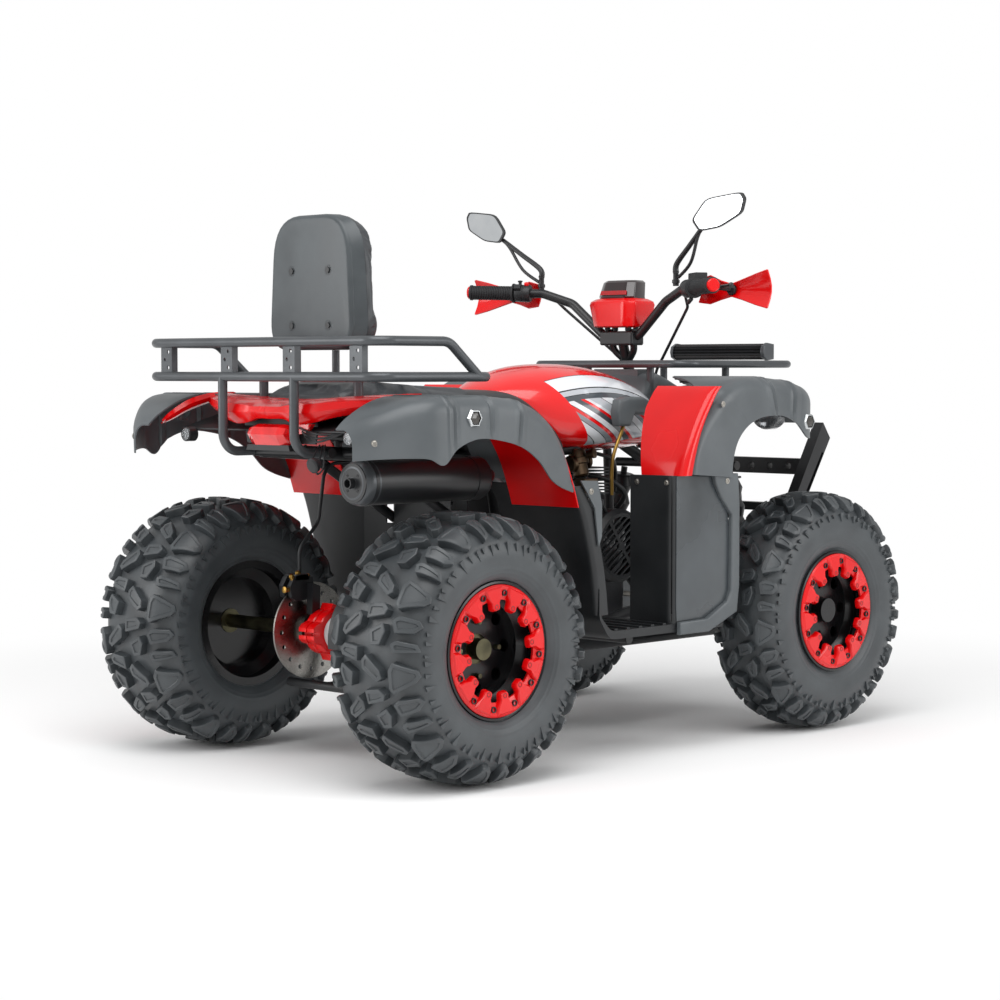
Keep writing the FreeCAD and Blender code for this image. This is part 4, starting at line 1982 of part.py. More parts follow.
def front_rack_pieces(grow=0):
    """Front rack: ring, long bars and four posts down to the frame."""
    radius = S.front_rack_radius + grow
    rear, front, half, high = S.front_rack_rear, S.front_rack_front, S.front_rack_half, S.front_rack_high
    pieces = [ring_tube([spot(rear, -half, high), spot(rear, half, high), spot(front, half, high),
                         spot(front, -half, high)], radius, S.rack_bend)]
    for hand in (LEFT, RIGHT):
        side = half * 0.45 * hand
        pieces.append(rod(spot(rear, side, high), spot(front, side, high), radius * 0.9))
    pieces.append(rod(spot(S.front_gap_ahead, 0, high), spot(front, 0, high), radius * 0.9))
    pieces.append(rod(spot(S.front_gap_ahead, -half, high), spot(S.front_gap_ahead, half, high), radius * 0.8))
    for ahead, low in ((S.front_post_rear, S.rail_front_high), (S.front_post_front, S.rail_nose_high)):
        for hand in (LEFT, RIGHT):
            pieces.append(rod(spot(ahead, S.rail_side * hand, low),
                              spot(ahead, S.rail_side * hand, high - radius * 0.3), radius))
        pieces.append(rod(spot(ahead, -half, high), spot(ahead, half, high), radius * 0.8))
    return pieces


def make_front_rack(frame_shape):
    keep(feature("front_rack", largest(joined(front_rack_pieces()).cut(frame_shape))))


def make_light_bar():
    """A finned light bar on two feet at the front of the rack."""
    half, deep, tall = S.light_bar_half, S.light_bar_deep, S.light_bar_tall
    low = S.front_rack_high + S.front_rack_radius + S.fit
    body = box(S.light_bar_ahead - deep / 2, -half, low, deep, half * 2, tall)
    grooves = []
    pitch = tall / S.light_fin_count
    for index in range(int(S.light_fin_count)):
        grooves.append(box(S.light_bar_ahead - deep / 2 - S.overrun, -half + S.skin, low + pitch * (index + 0.3),
                           S.light_fin_deep + S.overrun, half * 2 - S.skin * 2, S.light_fin_gap))
    lens = box(S.light_bar_ahead + deep / 2 - S.skin, -half + S.skin * 2, low + S.skin, S.skin + S.overrun,
               half * 2 - S.skin * 4, tall - S.skin * 2)
    keep(feature("light_bar", body.cut(grooves + [lens])))


def make_backrest():
    """A padded backrest with a hard shell behind, on two posts of the rack."""
    half, tall = S.rest_half, S.rest_tall
    low = S.rest_high
    ahead = S.rest_ahead
    points = [spot(ahead, -half, low), spot(ahead, half, low), spot(ahead, half * 0.86, low + tall),
              spot(ahead, -half * 0.86, low + tall)]
    pad = slab(points, S.rest_round, V(S.rest_thick, 0, 0))
    pad = pad.makeFillet(S.rest_shell, [edge for edge in pad.Edges
                                        if edge.BoundBox.XMin > ahead + S.rest_thick - S.rear_axle_back - S.fit])
    bolts = []
    for step in range(2):
        for hand in (LEFT, RIGHT):
            at = spot(ahead - S.overrun, S.rest_bolt_side * hand, low + S.rest_bolt_low + S.rest_bolt_step * step)
            bolts.append(Part.makeCylinder(S.rest_bolt_radius, S.rest_shell + S.overrun, at, X_DIR))
    keep(feature("backrest", pad.cut(bolts)))


def make_brake_hose():
    """The rear brake's hose, from its caliper up and forward along the left frame rail."""
    side = S.rail_side - S.tube_radius - S.hose_radius - S.fit
    start = S.caliper_high + S.caliper_tall / 2
    route = [spot(S.caliper_ahead, side, start + S.fit), spot(S.caliper_ahead, side, start + S.hose_rise),
             spot(S.caliper_ahead + S.hose_rise, side, start + S.hose_rise * 2),
             spot(S.seat_bar_ahead - S.hose_rise, side, S.rail_mid_high),
             spot(S.seat_bar_ahead + S.hose_rise, side, S.rail_mid_high)]
    keep(feature("brake_hose", tube(route, S.hose_radius, S.hose_bend)))


def make_control_cables():
    """A throttle cable and a brake cable, from the handlebar down to the steering head."""
    cables = []
    foot = stem_point(S.head_along + S.head_tube_half)
    for hand in (LEFT, RIGHT):
        rise, knee = bar_points(hand)[1:3]
        along = (knee - rise).normalize()
        forward = V(along.y * hand, -along.x * hand, 0).normalize()
        start = knee - along * S.cable_side + forward * (S.bar_radius + S.cable_radius + S.fit)
        low = V(foot.x + S.cable_stand, S.cable_side * hand, foot.z + S.cable_stand)
        cables.append(tube([start, start + V(S.cable_out, -S.cable_side * hand, -S.cable_out),
                            low + V(0, S.cable_side * hand, S.cable_out * 2), low],
                           S.cable_radius, S.cable_bend))
    keep(feature("control_cables", together(cables)))


def make_gear_lever():
    """A bent rod with a bar handle, on the right beside the tank."""
    side = -S.lever_side
    path = [spot(S.lever_foot_ahead, side + S.lever_knob_half * 2, S.lever_foot_high),
            spot(S.lever_foot_ahead + S.lever_knob_half, side, S.lever_foot_high + S.lever_knob_half * 2),
            spot(S.lever_foot_ahead + S.lever_knob_half * 2, side, S.lever_top_high)]
    arm = tube(path, S.lever_rod_radius, S.lever_knob_half)
    top = path[-1]
    knob = rod(top - V(S.lever_knob_half, 0, 0), top + V(S.lever_knob_half, 0, 0), S.lever_knob_radius)
    inner = -S.engine_side_right + S.lever_knob_half
    link = tube([path[0], spot(S.lever_foot_ahead, inner, S.engine_high + S.lever_knob_half * 2),
                 spot(S.lever_foot_ahead, inner, S.engine_high + S.fit)], S.lever_rod_radius, S.lever_knob_half)
    keep(feature("gear_lever", joined([arm, knob, link])))


make_tyres()
make_rims_and_rings()
make_rear_axle()
make_rear_sprocket()
make_brake_disc()
make_swingarm()
make_axle_carrier()
make_chain()
make_frame()
frame_shape = PARTS[-1].Shape
make_engine()
make_fan_cover()
make_exhaust()
make_mudguard_panel()
make_shocks()
make_front_arms()
make_knuckles()
make_tie_rods()
make_handlebar()
make_hand_controls()
make_hand_guards()
make_dash()
make_mirrors()
make_tank_and_seat(frame_shape)
make_shroud()
make_rear_fender()
make_tail_panel()
make_tail_lamps()
make_turn_lamps()
make_footwells(frame_shape)
make_front_fender()
make_side_panels()
make_headlamps()
make_bumper(frame_shape)
make_rear_rack(frame_shape)
make_front_rack(frame_shape)
make_light_bar()
make_backrest()
make_gear_lever()
make_brake_hose()
make_control_cables()
doc.recompute()

for item in doc.Objects:
    if "Invalid" in item.State or "Error" in item.State:
        raise RuntimeError("%s did not build" % item.Label)
broken = [part.Label for part in PARTS if part.Shape.isNull() or not part.Shape.isValid()]
if broken:
    raise RuntimeError("no valid shape: " + ", ".join(broken))

os.makedirs("parts", exist_ok=True)
for part in PARTS:
    part.Shape.exportStep("parts/%s.step" % part.Label)
print("%d sub-parts written" % len(PARTS))
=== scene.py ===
"""Utility quad bike: tyres, padding, controls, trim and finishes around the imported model."""

import json
import math

import bmesh
import bpy
from mathutils import Matrix, Vector


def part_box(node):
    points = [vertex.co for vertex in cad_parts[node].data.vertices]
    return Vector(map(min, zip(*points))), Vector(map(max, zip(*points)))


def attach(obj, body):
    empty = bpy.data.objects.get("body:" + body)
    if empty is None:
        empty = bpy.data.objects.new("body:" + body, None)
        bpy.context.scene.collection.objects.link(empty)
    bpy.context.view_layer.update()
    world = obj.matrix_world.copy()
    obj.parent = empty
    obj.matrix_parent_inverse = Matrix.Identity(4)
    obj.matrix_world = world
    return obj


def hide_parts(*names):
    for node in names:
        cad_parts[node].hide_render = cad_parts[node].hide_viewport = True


bl_info = {
    "name": "Utility quad bike",
    "version": (1, 0, 0),
    "blender": (4, 5, 0),
    "location": "3D View > Sidebar > Quad bike",
    "description": "Builds the quad bike's tyres, padding, controls and finishes around its packed model",
    "category": "Object",
}

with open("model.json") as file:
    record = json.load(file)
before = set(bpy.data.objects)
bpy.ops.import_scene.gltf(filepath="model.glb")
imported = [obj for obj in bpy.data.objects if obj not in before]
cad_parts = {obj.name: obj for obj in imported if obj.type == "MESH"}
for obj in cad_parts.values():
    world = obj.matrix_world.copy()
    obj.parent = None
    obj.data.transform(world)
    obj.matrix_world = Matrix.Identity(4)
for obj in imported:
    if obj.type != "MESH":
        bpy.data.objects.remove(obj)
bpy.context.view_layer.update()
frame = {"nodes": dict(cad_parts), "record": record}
NODES = frame["nodes"]

MM = 0.001
AXLE_BACK = 0.610
RIGHT, LEFT = -1, 1


def spot(ahead, side, high):
    """A point from millimetres ahead of the rear axle, to the rider's left and above the ground."""
    return Vector((ahead * MM - AXLE_BACK, side * MM, high * MM))


# Colours and nodes
def colour(text, alpha=1.0):
    """Linear colour from an sRGB hex value."""
    parts = [int(text[index:index + 2], 16) / 255 for index in (1, 3, 5)]
    linear = [part / 12.92 if part <= 0.04045 else ((part + 0.055) / 1.055) ** 2.4 for part in parts]
    return (*linear, alpha)


def add_node(tree, kind, settings=None, links=None):
    """Adds a node with its settings, and links other nodes' outputs into its inputs."""
    made = tree.nodes.new(kind)
    for name, value in (settings or {}).items():
        if isinstance(name, int) or name in made.inputs:
            made.inputs[name].default_value = value
        else:
            setattr(made, name, value)
    for name, source in (links or {}).items():
        tree.links.new(source, made.inputs[name])
    return made


def new_material(name):
    """An empty material with no nodes yet, and its tree."""
    material = bpy.data.materials.new(name)
    material.use_nodes = True
    tree = material.node_tree
    tree.nodes.clear()
    return material, tree


def finish_material(tree, shader):
    add_node(tree, "ShaderNodeOutputMaterial", links={"Surface": shader.outputs[0]})


def place(tree, size_mm):
    """Object coordinates scaled so that one unit of a pattern is size_mm long."""
    coordinates = add_node(tree, "ShaderNodeTexCoord")
    scale = 1 / (size_mm * MM)
    return add_node(tree, "ShaderNodeMapping", {"Scale": (scale, scale, scale)},
                    {"Vector": coordinates.outputs["Object"]}).outputs[0]


def ramp(tree, factor, stops):
    """A colour ramp between the stops, each a place and a hex colour."""
    made = add_node(tree, "ShaderNodeValToRGB", links={"Fac": factor})
    points = made.color_ramp.elements
    while len(points) < len(stops):
        points.new(0.5)
    for point, (where, shade) in zip(points, stops):
        point.position = where
        point.color = colour(shade)
    return made.outputs["Color"]


def noise(tree, size_mm, detail=2.0, roughness=0.5):
    return add_node(tree, "ShaderNodeTexNoise", {"Scale": 1.0, "Detail": detail, "Roughness": roughness},
                    {"Vector": place(tree, size_mm)}).outputs["Fac"]


def bump(tree, height, depth_mm, strength=1.0):
    return add_node(tree, "ShaderNodeBump", {"Strength": strength, "Distance": depth_mm * MM},
                    {"Height": height}).outputs["Normal"]


def moulded(name, dark, light, rough, grain_mm, grain_deep_mm, patch_mm=60, coat=0.0, specular=0.5):
    """Moulded plastic or rubber: a fine pitted grain, with soft patches where it is more or less dull."""
    material, tree = new_material(name)
    patch = noise(tree, patch_mm, 3)
    fine = noise(tree, grain_mm, 1)
    shader = add_node(tree, "ShaderNodeBsdfPrincipled",
                      {"Coat Weight": coat, "Coat Roughness": 0.08, "Specular IOR Level": specular},
                      {"Base Color": ramp(tree, patch, [(0.3, dark), (0.7, light)]),
                       "Normal": bump(tree, fine, grain_deep_mm)})
    spread = add_node(tree, "ShaderNodeMapRange", {1: 0.3, 2: 0.7, 3: rough - 0.05, 4: rough + 0.05},
                      {0: patch})
    tree.links.new(spread.outputs[0], shader.inputs["Roughness"])
    finish_material(tree, shader)
    return material


def metal(name, dark, light, rough, streak_mm=(20, 20, 1), depth_mm=0.02, metallic=1.0):
    """Bare or plated metal: fine drawn streaks and a change of tone along the piece."""
    material, tree = new_material(name)
    coordinates = add_node(tree, "ShaderNodeTexCoord")
    scale = [1 / (size * MM) for size in streak_mm]
    mapping = add_node(tree, "ShaderNodeMapping", {"Scale": scale}, {"Vector": coordinates.outputs["Object"]})
    streak = add_node(tree, "ShaderNodeTexNoise", {"Scale": 1.0, "Detail": 2.0},
                      {"Vector": mapping.outputs[0]})
    patch = noise(tree, 45, 2)
    shader = add_node(tree, "ShaderNodeBsdfPrincipled", {"Metallic": metallic},
                      {"Base Color": ramp(tree, patch, [(0.3, dark), (0.7, light)]),
                       "Normal": bump(tree, streak.outputs["Fac"], depth_mm)})
    spread = add_node(tree, "ShaderNodeMapRange", {1: 0.3, 2: 0.7, 3: rough - 0.06, 4: rough + 0.08},
                      {0: streak.outputs["Fac"]})
    tree.links.new(spread.outputs[0], shader.inputs["Roughness"])
    finish_material(tree, shader)
    return material


def powder_coat(name, dark, light, rough, metallic=0.0):
    """Baked powder paint: even colour with a fine orange-peel ripple that breaks up its highlights."""
    material, tree = new_material(name)
    peel = noise(tree, 1.6, 1)
    patch = noise(tree, 80, 2)
    shader = add_node(tree, "ShaderNodeBsdfPrincipled", {"Metallic": metallic, "Roughness": rough},
                      {"Base Color": ramp(tree, patch, [(0.3, dark), (0.7, light)]),
                       "Normal": bump(tree, peel, 0.05, 0.6)})
    finish_material(tree, shader)
    return material


def tank_print(name, red):
    """Film print under clear gloss: a pale sweep over slanted bands, with thin black keylines."""
    material, tree = new_material(name)
    coordinates = add_node(tree, "ShaderNodeTexCoord")
    axes = add_node(tree, "ShaderNodeSeparateXYZ", links={0: coordinates.outputs["Object"]})
    along, up = axes.outputs["X"], axes.outputs["Z"]

    def sums(kind, first, second=0):
        """A sum, difference or product of two values, or the fraction of one; each may be a number."""
        node = add_node(tree, "ShaderNodeMath", {"operation": kind})
        for index, value in enumerate((first, second)):
            if isinstance(value, (int, float)):
                node.inputs[index].default_value = value
            else:
                tree.links.new(value, node.inputs[index])
        return node.outputs[0]

    # Height under a flat arc that crests a little ahead of the middle.
    away = sums("SUBTRACT", along, 0.045)
    arc = sums("MULTIPLY", sums("MULTIPLY", away, away), 0.95)
    under = sums("SUBTRACT", sums("SUBTRACT", 0.836, arc), up)
    slant = sums("ADD", sums("MULTIPLY", along, 1.9), sums("MULTIPLY", up, 3.1))
    bands = ramp(tree, sums("FRACT", sums("MULTIPLY", slant, 2.9)), [
        (0.0, "#b9bec4"), (0.20, "#15161a"), (0.215, "#dcdfe3"), (0.40, "#15161a"), (0.415, "#8f959b"),
        (0.52, red), (0.60, "#15161a"), (0.615, "#e4e6ea"), (0.74, "#4a5056"), (0.86, red),
        (0.93, "#dcdfe3")])
    sweep = ramp(tree, sums("MULTIPLY", under, 10.0), [
        (0.0, red), (0.03, "#101114"), (0.042, "#e2e5ea"), (0.30, "#101114"), (0.325, "#b9bec4"),
        (0.43, "#101114"),
        (0.445, "#4a5056")])
    for node in tree.nodes:
        if node.bl_idname == "ShaderNodeValToRGB":
            node.color_ramp.interpolation = "CONSTANT"
    deep = add_node(tree, "ShaderNodeMath", {"operation": "GREATER_THAN", 1: 0.055}, {0: under})
    mixed = add_node(tree, "ShaderNodeMix", {"data_type": "RGBA"}, {0: deep.outputs[0], 6: sweep, 7: bands})
    rear_edge = sums("ADD", along, sums("MULTIPLY", up, 0.55))
    ends = sums("MULTIPLY", sums("GREATER_THAN", rear_edge, 0.372), sums("LESS_THAN", along, 0.27))
    low = sums("MULTIPLY", ends, sums("GREATER_THAN", sums("ADD", up, sums("MULTIPLY", along, -0.10)), 0.672))
    whole = add_node(tree, "ShaderNodeMix", {"data_type": "RGBA", 6: colour(red)},
                     {0: low, 7: mixed.outputs[2]})
    shader = add_node(tree, "ShaderNodeBsdfPrincipled",
                      {"Roughness": 0.22, "Coat Weight": 0.7, "Coat Roughness": 0.04},
                      {"Base Color": whole.outputs[2], "Normal": bump(tree, noise(tree, 2.2, 1), 0.01)})
    finish_material(tree, shader)
    return material


def lens(name, shade, rough=0.08, transmission=0.85, ribs_mm=5.0):
    """Clear tinted acrylic with moulded ribs behind it that scatter the light."""
    material, tree = new_material(name)
    coordinates = add_node(tree, "ShaderNodeTexCoord")
    wave = add_node(tree, "ShaderNodeTexWave", {"wave_type": "BANDS", "bands_direction": "Y",
                                                "Scale": 1 / (ribs_mm * MM) / 3.2},
                    {"Vector": coordinates.outputs["Object"]})
    shader = add_node(tree, "ShaderNodeBsdfPrincipled",
                      {"Base Color": colour(shade), "Roughness": rough, "IOR": 1.49,
                       "Transmission Weight": transmission, "Coat Weight": 0.6},
                      {"Normal": bump(tree, wave.outputs["Fac"], 0.6)})
    finish_material(tree, shader)
    return material


# Sizes and colours that can be changed
class QuadColours(bpy.types.PropertyGroup):
    """Main colours of the quad bike."""
    red: bpy.props.StringProperty(name="Red", description="Body panels and bead rings, sRGB hex",
                                  default="#e60509")
    grey: bpy.props.StringProperty(name="Grey plastic", description="Fender flares and footwells, sRGB hex",
                                   default="#5c6164")
    rubber: bpy.props.StringProperty(name="Rubber", description="Tyres, sRGB hex", default="#43484b")


class QuadStage(bpy.types.PropertyGroup):
    """The floor, the lights and the camera."""
    key_power: bpy.props.FloatProperty(name="Key light", description="Power of the large soft light",
                                       default=92.0, min=0.0, unit="POWER")
    fill_power: bpy.props.FloatProperty(name="Fill light", description="Power of the side lights",
                                        default=44.0, min=0.0, unit="POWER")
    focal_mm: bpy.props.FloatProperty(name="Focal length", description="Camera lens in millimetres",
                                      default=86.4, min=10.0)


MATERIALS = {}


def make_materials():
    """One material for each real finish, named for it."""
    colours = bpy.context.scene.quad_colours
    add = MATERIALS.__setitem__
    # Moulded nitrile rubber, dull, greyed a little where the mould release dries.
    add("tyre_rubber",
        moulded("moulded rubber", "#34383b", colours.rubber, 0.44, 0.9, 0.10, 70, specular=0.65))
    # Steel tube under black powder, half gloss.
    add("black_steel", powder_coat("black powder coat", "#1b1c1e", "#232426", 0.36))
    # Wheel enamel, deeper and smoother than the powder.
    add("black_rim", powder_coat("black wheel enamel", "#0d0d0f", "#131315", 0.22))
    # Red enamel in the shade of a recess.
    add("dark_red", moulded("shaded red enamel", "#7c0407", "#8c0508", 0.4, 1.4, 0.01, 120))
    # Wet red enamel with a clear gloss over it.
    add("red_paint",
        moulded("red enamel", "#d80308", colours.red, 0.26, 1.4, 0.01, 120, coat=0.4, specular=0.35))
    # ABS moulded in colour, polished tool faces.
    add("red_plastic",
        moulded("red ABS", "#d60307", colours.red, 0.24, 2.2, 0.008, 160, coat=0.35, specular=0.3))
    # Polypropylene with a spark-eroded grain that dulls its sheen.
    add("grey_plastic", moulded("grained grey polypropylene", "#505558", colours.grey, 0.40, 0.8, 0.05, 110))
    add("black_plastic", moulded("grained black polypropylene", "#1a1c1e", "#242628", 0.44, 0.8, 0.05, 90))
    # The backrest's shell, a shade greyer than the black trim.
    add("shell_plastic", moulded("grained slate polypropylene", "#3d4245", "#4c5255", 0.38, 0.8, 0.05, 90))
    # The leg shields' faces: a finer grain that catches a broad silver sheen.
    add("satin_plastic",
        moulded("satin grey polypropylene", "#2e3336", "#43494d", 0.27, 1.2, 0.02, 140, specular=0.8))
    # Rack tube under dark grey powder with a metallic flake.
    add("grey_steel", powder_coat("grey powder coat", "#4a4d50", "#55585b", 0.34, metallic=0.35))
    # Zinc plate over turned steel.
    add("bright_steel", metal("zinc plate", "#8f8c86", "#b7b3ab", 0.38))
    add("disc_steel", metal("ground steel", "#8c8a86", "#a9a7a2", 0.30, (1.5, 60, 1.5)))
    # Sand-cast aluminium, painted.
    add("engine_metal",
        moulded("cast aluminium, painted", "#232427", "#303236", 0.5, 1.6, 0.25, 50, specular=0.7))
    # Expanded vinyl with a leather grain pressed in.
    add("black_vinyl", moulded("grained vinyl", "#34373a", "#3e4144", 0.42, 1.3, 0.14, 80))
    add("red_lens", lens("red acrylic", "#c8101a", transmission=0.35))
    # Red acrylic over a bright reflector, seen from outside as a lit red.
    add("tail_red", moulded("backed red acrylic", "#d2060c", "#ee1418", 0.12, 3.0, 0.01, 30, coat=0.8))
    add("amber_lens", lens("smoked acrylic", "#4a4640", transmission=0.5))
    add("clear_lens", lens("clear polycarbonate", "#e8ecf0"))
    # Yellow chromate over zinc, iridescent in places.
    add("lever_brass", metal("yellow zinc", "#8a6a35", "#b8944e", 0.35))
    add("tank_print", tank_print("printed gloss ABS", colours.red))
    # First-surface glass with a faint blue cast.
    add("mirror_glass", metal("silvered glass", "#dfe3e6", "#e8ebed", 0.08, (90, 90, 90), 0.0))
    # Pale grey enamel on the bearing sleeve.
    add("pale_paint", powder_coat("pale grey enamel", "#b3b6b7", "#c4c7c8", 0.4))
    # Turned shaft under an oily olive film.
    add("axle_steel", metal("oiled axle steel", "#4c4a3c", "#7b775d", 0.40))
    add("chrome", metal("chrome plate", "#c4c7c9", "#dcdfe0", 0.10, (30, 30, 30), 0.002))
    # Soft thermoplastic rubber, dry to the touch.
    add("grip_rubber", moulded("grip rubber", "#1c1d1f", "#262729", 0.66, 0.7, 0.08, 30))
    # Smoked acrylic with a gloss that mirrors the sky.
    add("smoked_screen", moulded("smoked acrylic", "#120305", "#1c0608", 0.12, 3.0, 0.004, 60, coat=0.8))
    add("cast_bronze", metal("tarnished die casting", "#4a3c30", "#7d6a55", 0.42, (6, 6, 6), 0.12))
    add("black_aluminium", moulded("black anodised aluminium", "#151618", "#1e1f22", 0.34, 0.6, 0.02, 60))


class QuadPieces:
    """What the operators of the pieces share."""
    bl_options = {"REGISTER", "UNDO"}


class OBJECT_OT_quad_finishes(QuadPieces, bpy.types.Operator):
    """Gives every carried-over piece its finish"""
    bl_idname = "object.quad_finishes"
    bl_label = "Finishes"

    def execute(self, context):
        make_materials()
        slots = {row["node"]: row["material_slot"] for row in frame["record"]["subparts"]}
        for name, node in NODES.items():
            node.data.materials.clear()
            node.data.materials.append(MATERIALS["axle_steel" if name == "rear_axle" else slots[name]])
        return {"FINISHED"}


def smooth_line(points, steps):
    """Points along a smooth line through the given ones, as many steps between each two."""
    ends = [points[0]] + list(points) + [points[-1]]
    line = []
    for index in range(1, len(ends) - 2):
        before, near, far, after = (Vector(ends[index + shift]) for shift in (-1, 0, 1, 2))
        for step in range(steps):
            t = step / steps
            line.append(0.5 * (2 * near + (far - before) * t
                               + (2 * before - 5 * near + 4 * far - after) * t * t
                               + (3 * near - before - 3 * far + after) * t ** 3))
    line.append(Vector(points[-1]))
    return line


def new_object(name, shape, material, body, replaced=(), smooth=True):
    """Makes a piece from a bmesh in metres, gives it its finish, and lets it ride on its body."""
    bmesh.ops.recalc_face_normals(shape, faces=shape.faces[:])
    mesh = bpy.data.meshes.new(name)
    shape.to_mesh(mesh)
    shape.free()
    made = bpy.data.objects.new(name, mesh)
    bpy.context.scene.collection.objects.link(made)
    mesh.materials.append(MATERIALS[material])
    if smooth:
        mesh.shade_smooth()
        mesh.set_sharp_from_angle(angle=math.radians(32))
    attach(made, body)
    if replaced:
        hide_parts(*replaced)
    return made


def spun(shape, points, steps=96):
    """Turns a line of (radius, across) points, in millimetres, about the Y axis into a closed skin."""
    corners = [shape.verts.new((radius * MM, across * MM, 0)) for radius, across in points]
    edges = [shape.edges.new(pair) for pair in zip(corners, corners[1:])]
    bmesh.ops.spin(shape, geom=corners + edges, cent=(0, 0, 0), axis=(0, 1, 0), angle=math.tau,
                   steps=steps, use_merge=True, use_normal_flip=False, use_duplicate=False)
    bmesh.ops.remove_doubles(shape, verts=shape.verts[:], dist=0.00002)


# Tyres. A tread block is an outline in shares: across the half width, and round one pitch.
TREAD_PITCHES = 10
CARCASS_SHARES = [(1.0, 0.0), (0.995, 0.25), (0.97, 0.5), (0.90, 0.74), (0.76, 0.91), (0.56, 0.985),
                  (0.38, 0.975), (0.24, 0.93), (0.13, 0.85)]
BLOCK_SHARES = [
    [(0.02, 0.00), (0.12, -0.07), (0.42, 0.12), (0.45, 0.21), (0.36, 0.26), (0.03, 0.11)],
    [(0.04, 0.36), (0.36, 0.33), (0.46, 0.40), (0.42, 0.48), (0.05, 0.54)],
    [(0.16, 0.66), (0.42, 0.56), (0.48, 0.66), (0.40, 0.83), (0.22, 0.84)],
    [(0.54, 0.10), (0.62, 0.00), (0.98, 0.11), (1.02, 0.20), (0.94, 0.28), (0.60, 0.40), (0.53, 0.34)],
    [(0.55, 0.52), (0.66, 0.46), (0.94, 0.47), (1.01, 0.55), (0.90, 0.65), (0.62, 0.68)],
    [(0.57, 0.80), (0.66, 0.75), (0.96, 0.78), (1.02, 0.88), (0.62, 0.91)],
    [(1.06, 0.00), (1.26, 0.05), (1.08, 0.09)],
    [(1.07, 0.19), (1.20, 0.22), (1.07, 0.26)],
    [(1.04, 0.36), (1.28, 0.41), (1.06, 0.45)],
    [(1.06, 0.59), (1.19, 0.62), (1.08, 0.66)],
    [(1.06, 0.72), (1.26, 0.76), (1.08, 0.79)],
    [(1.06, 0.91), (1.18, 0.94), (1.08, 0.97)],
]


def tyre_shape(half, rim_half, mirror):
    """Carcass with ribs at the bead, and tread blocks wrapped over its shoulder."""
    bore, crown, depth = 127.3, 260.0, 18.5
    outline = [(bore + (crown - bore) * deep, half * wide) for deep, wide in CARCASS_SHARES]
    outline += [(143.6, rim_half + 1.0)]
    line = [point for point in smooth_line([(radius, across, 0) for radius, across in outline], 6)]
    lengths = [0.0]
    for near, far in zip(line, line[1:]):
        lengths.append(lengths[-1] + (far - near).length)

    def along(length):
        """Place on the section's line and its outward direction."""
        reach = min(abs(length), lengths[-1] - 0.01)
        index = max(i for i, at in enumerate(lengths[:-1]) if at <= reach)
        near, far = line[index], line[index + 1]
        share = (reach - lengths[index]) / (lengths[index + 1] - lengths[index])
        step = (far - near).normalized()
        return near.lerp(far, share), Vector((step.y, -step.x, 0))

    ribbed = []
    for index, point in enumerate(line):
        ribbed.append((point.x, point.y))
    for ring in range(5):
        radius = 152 + ring * 4.2
        near = min(range(len(ribbed)), key=lambda at: abs(ribbed[at][0] - radius) + (at < 24) * 900)
        ribbed[near] = (ribbed[near][0], ribbed[near][1] + 0.9)
    ribbed.append((130.0, rim_half - 3.0))
    shape = bmesh.new()
    skin = [(radius, -across) for radius, across in reversed(ribbed)] + ribbed[1:]
    spun(shape, skin, 144)
    pitch = math.tau * crown / TREAD_PITCHES
    blocks = bmesh.new()
    for side in (1, -1):
        shift = 0.0 if side > 0 else pitch * 0.5
        for shares in BLOCK_SHARES:
            block = bmesh.new()
            face = block.faces.new([block.verts.new((across * half, round_ * pitch, -5))
                                    for across, round_ in shares])
            raised = bmesh.ops.extrude_face_region(block, geom=[face])
            top = [item for item in raised["geom"] if isinstance(item, bmesh.types.BMVert)]
            bmesh.ops.translate(block, verts=top, vec=(0, 0, depth + 5))
            middle = sum((vert.co for vert in top), Vector()) / len(top)
            for vert in top:
                vert.co = Vector((middle.x + (vert.co.x - middle.x) * 0.93,
                                  middle.y + (vert.co.y - middle.y) * 0.93,
                                  vert.co.z))
            upper = [edge for edge in block.edges if max(vert.co.z for vert in edge.verts) > depth - 1]
            bmesh.ops.bevel(block, geom=upper, offset=1.2, segments=1, profile=0.5, affect="EDGES",
                            material=-1)
            if len(shares) > 4:
                lid = max(block.faces, key=lambda item: item.normal.z * item.calc_area())
                bmesh.ops.inset_region(block, faces=[lid], thickness=7.0, depth=0.0)
                bmesh.ops.inset_region(block, faces=[lid], thickness=1.6, depth=-2.6)
            for cut in range(int(half * 0.2), int(half * 1.4), 9):
                bmesh.ops.bisect_plane(block, geom=block.verts[:] + block.edges[:] + block.faces[:],
                                       plane_co=(cut, 0, 0), plane_no=(1, 0, 0))
            for vert in block.verts:
                at, out = along(vert.co.x)
                low = 1.0 - 0.62 * min(1.0, max(0.0, (vert.co.x / half - 0.72) / 0.6))
                lift = vert.co.z * (low if vert.co.z > 0 else 1.0)
                placed = at + out * lift
                radius = min(placed.x, 278.0)
                turn = (vert.co.y + shift) / crown
                vert.co = Vector((radius * math.cos(turn), min(placed.y, half - 0.4) * side,
                                  radius * math.sin(turn))) * MM
            mesh = bpy.data.meshes.new("block")
            block.to_mesh(mesh)
            block.free()
            blocks.from_mesh(mesh)
            bpy.data.meshes.remove(mesh)
    bmesh.ops.spin(blocks, geom=blocks.verts[:] + blocks.edges[:] + blocks.faces[:], cent=(0, 0, 0),
                   axis=(0, 1, 0), angle=math.tau * (TREAD_PITCHES - 1) / TREAD_PITCHES,
                   steps=TREAD_PITCHES - 1, use_duplicate=True)
    mesh = bpy.data.meshes.new("blocks")
    blocks.to_mesh(mesh)
    blocks.free()
    shape.from_mesh(mesh)
    bpy.data.meshes.remove(mesh)
    if mirror:
        bmesh.ops.scale(shape, vec=(1, -1, 1), verts=shape.verts[:])
    return shape


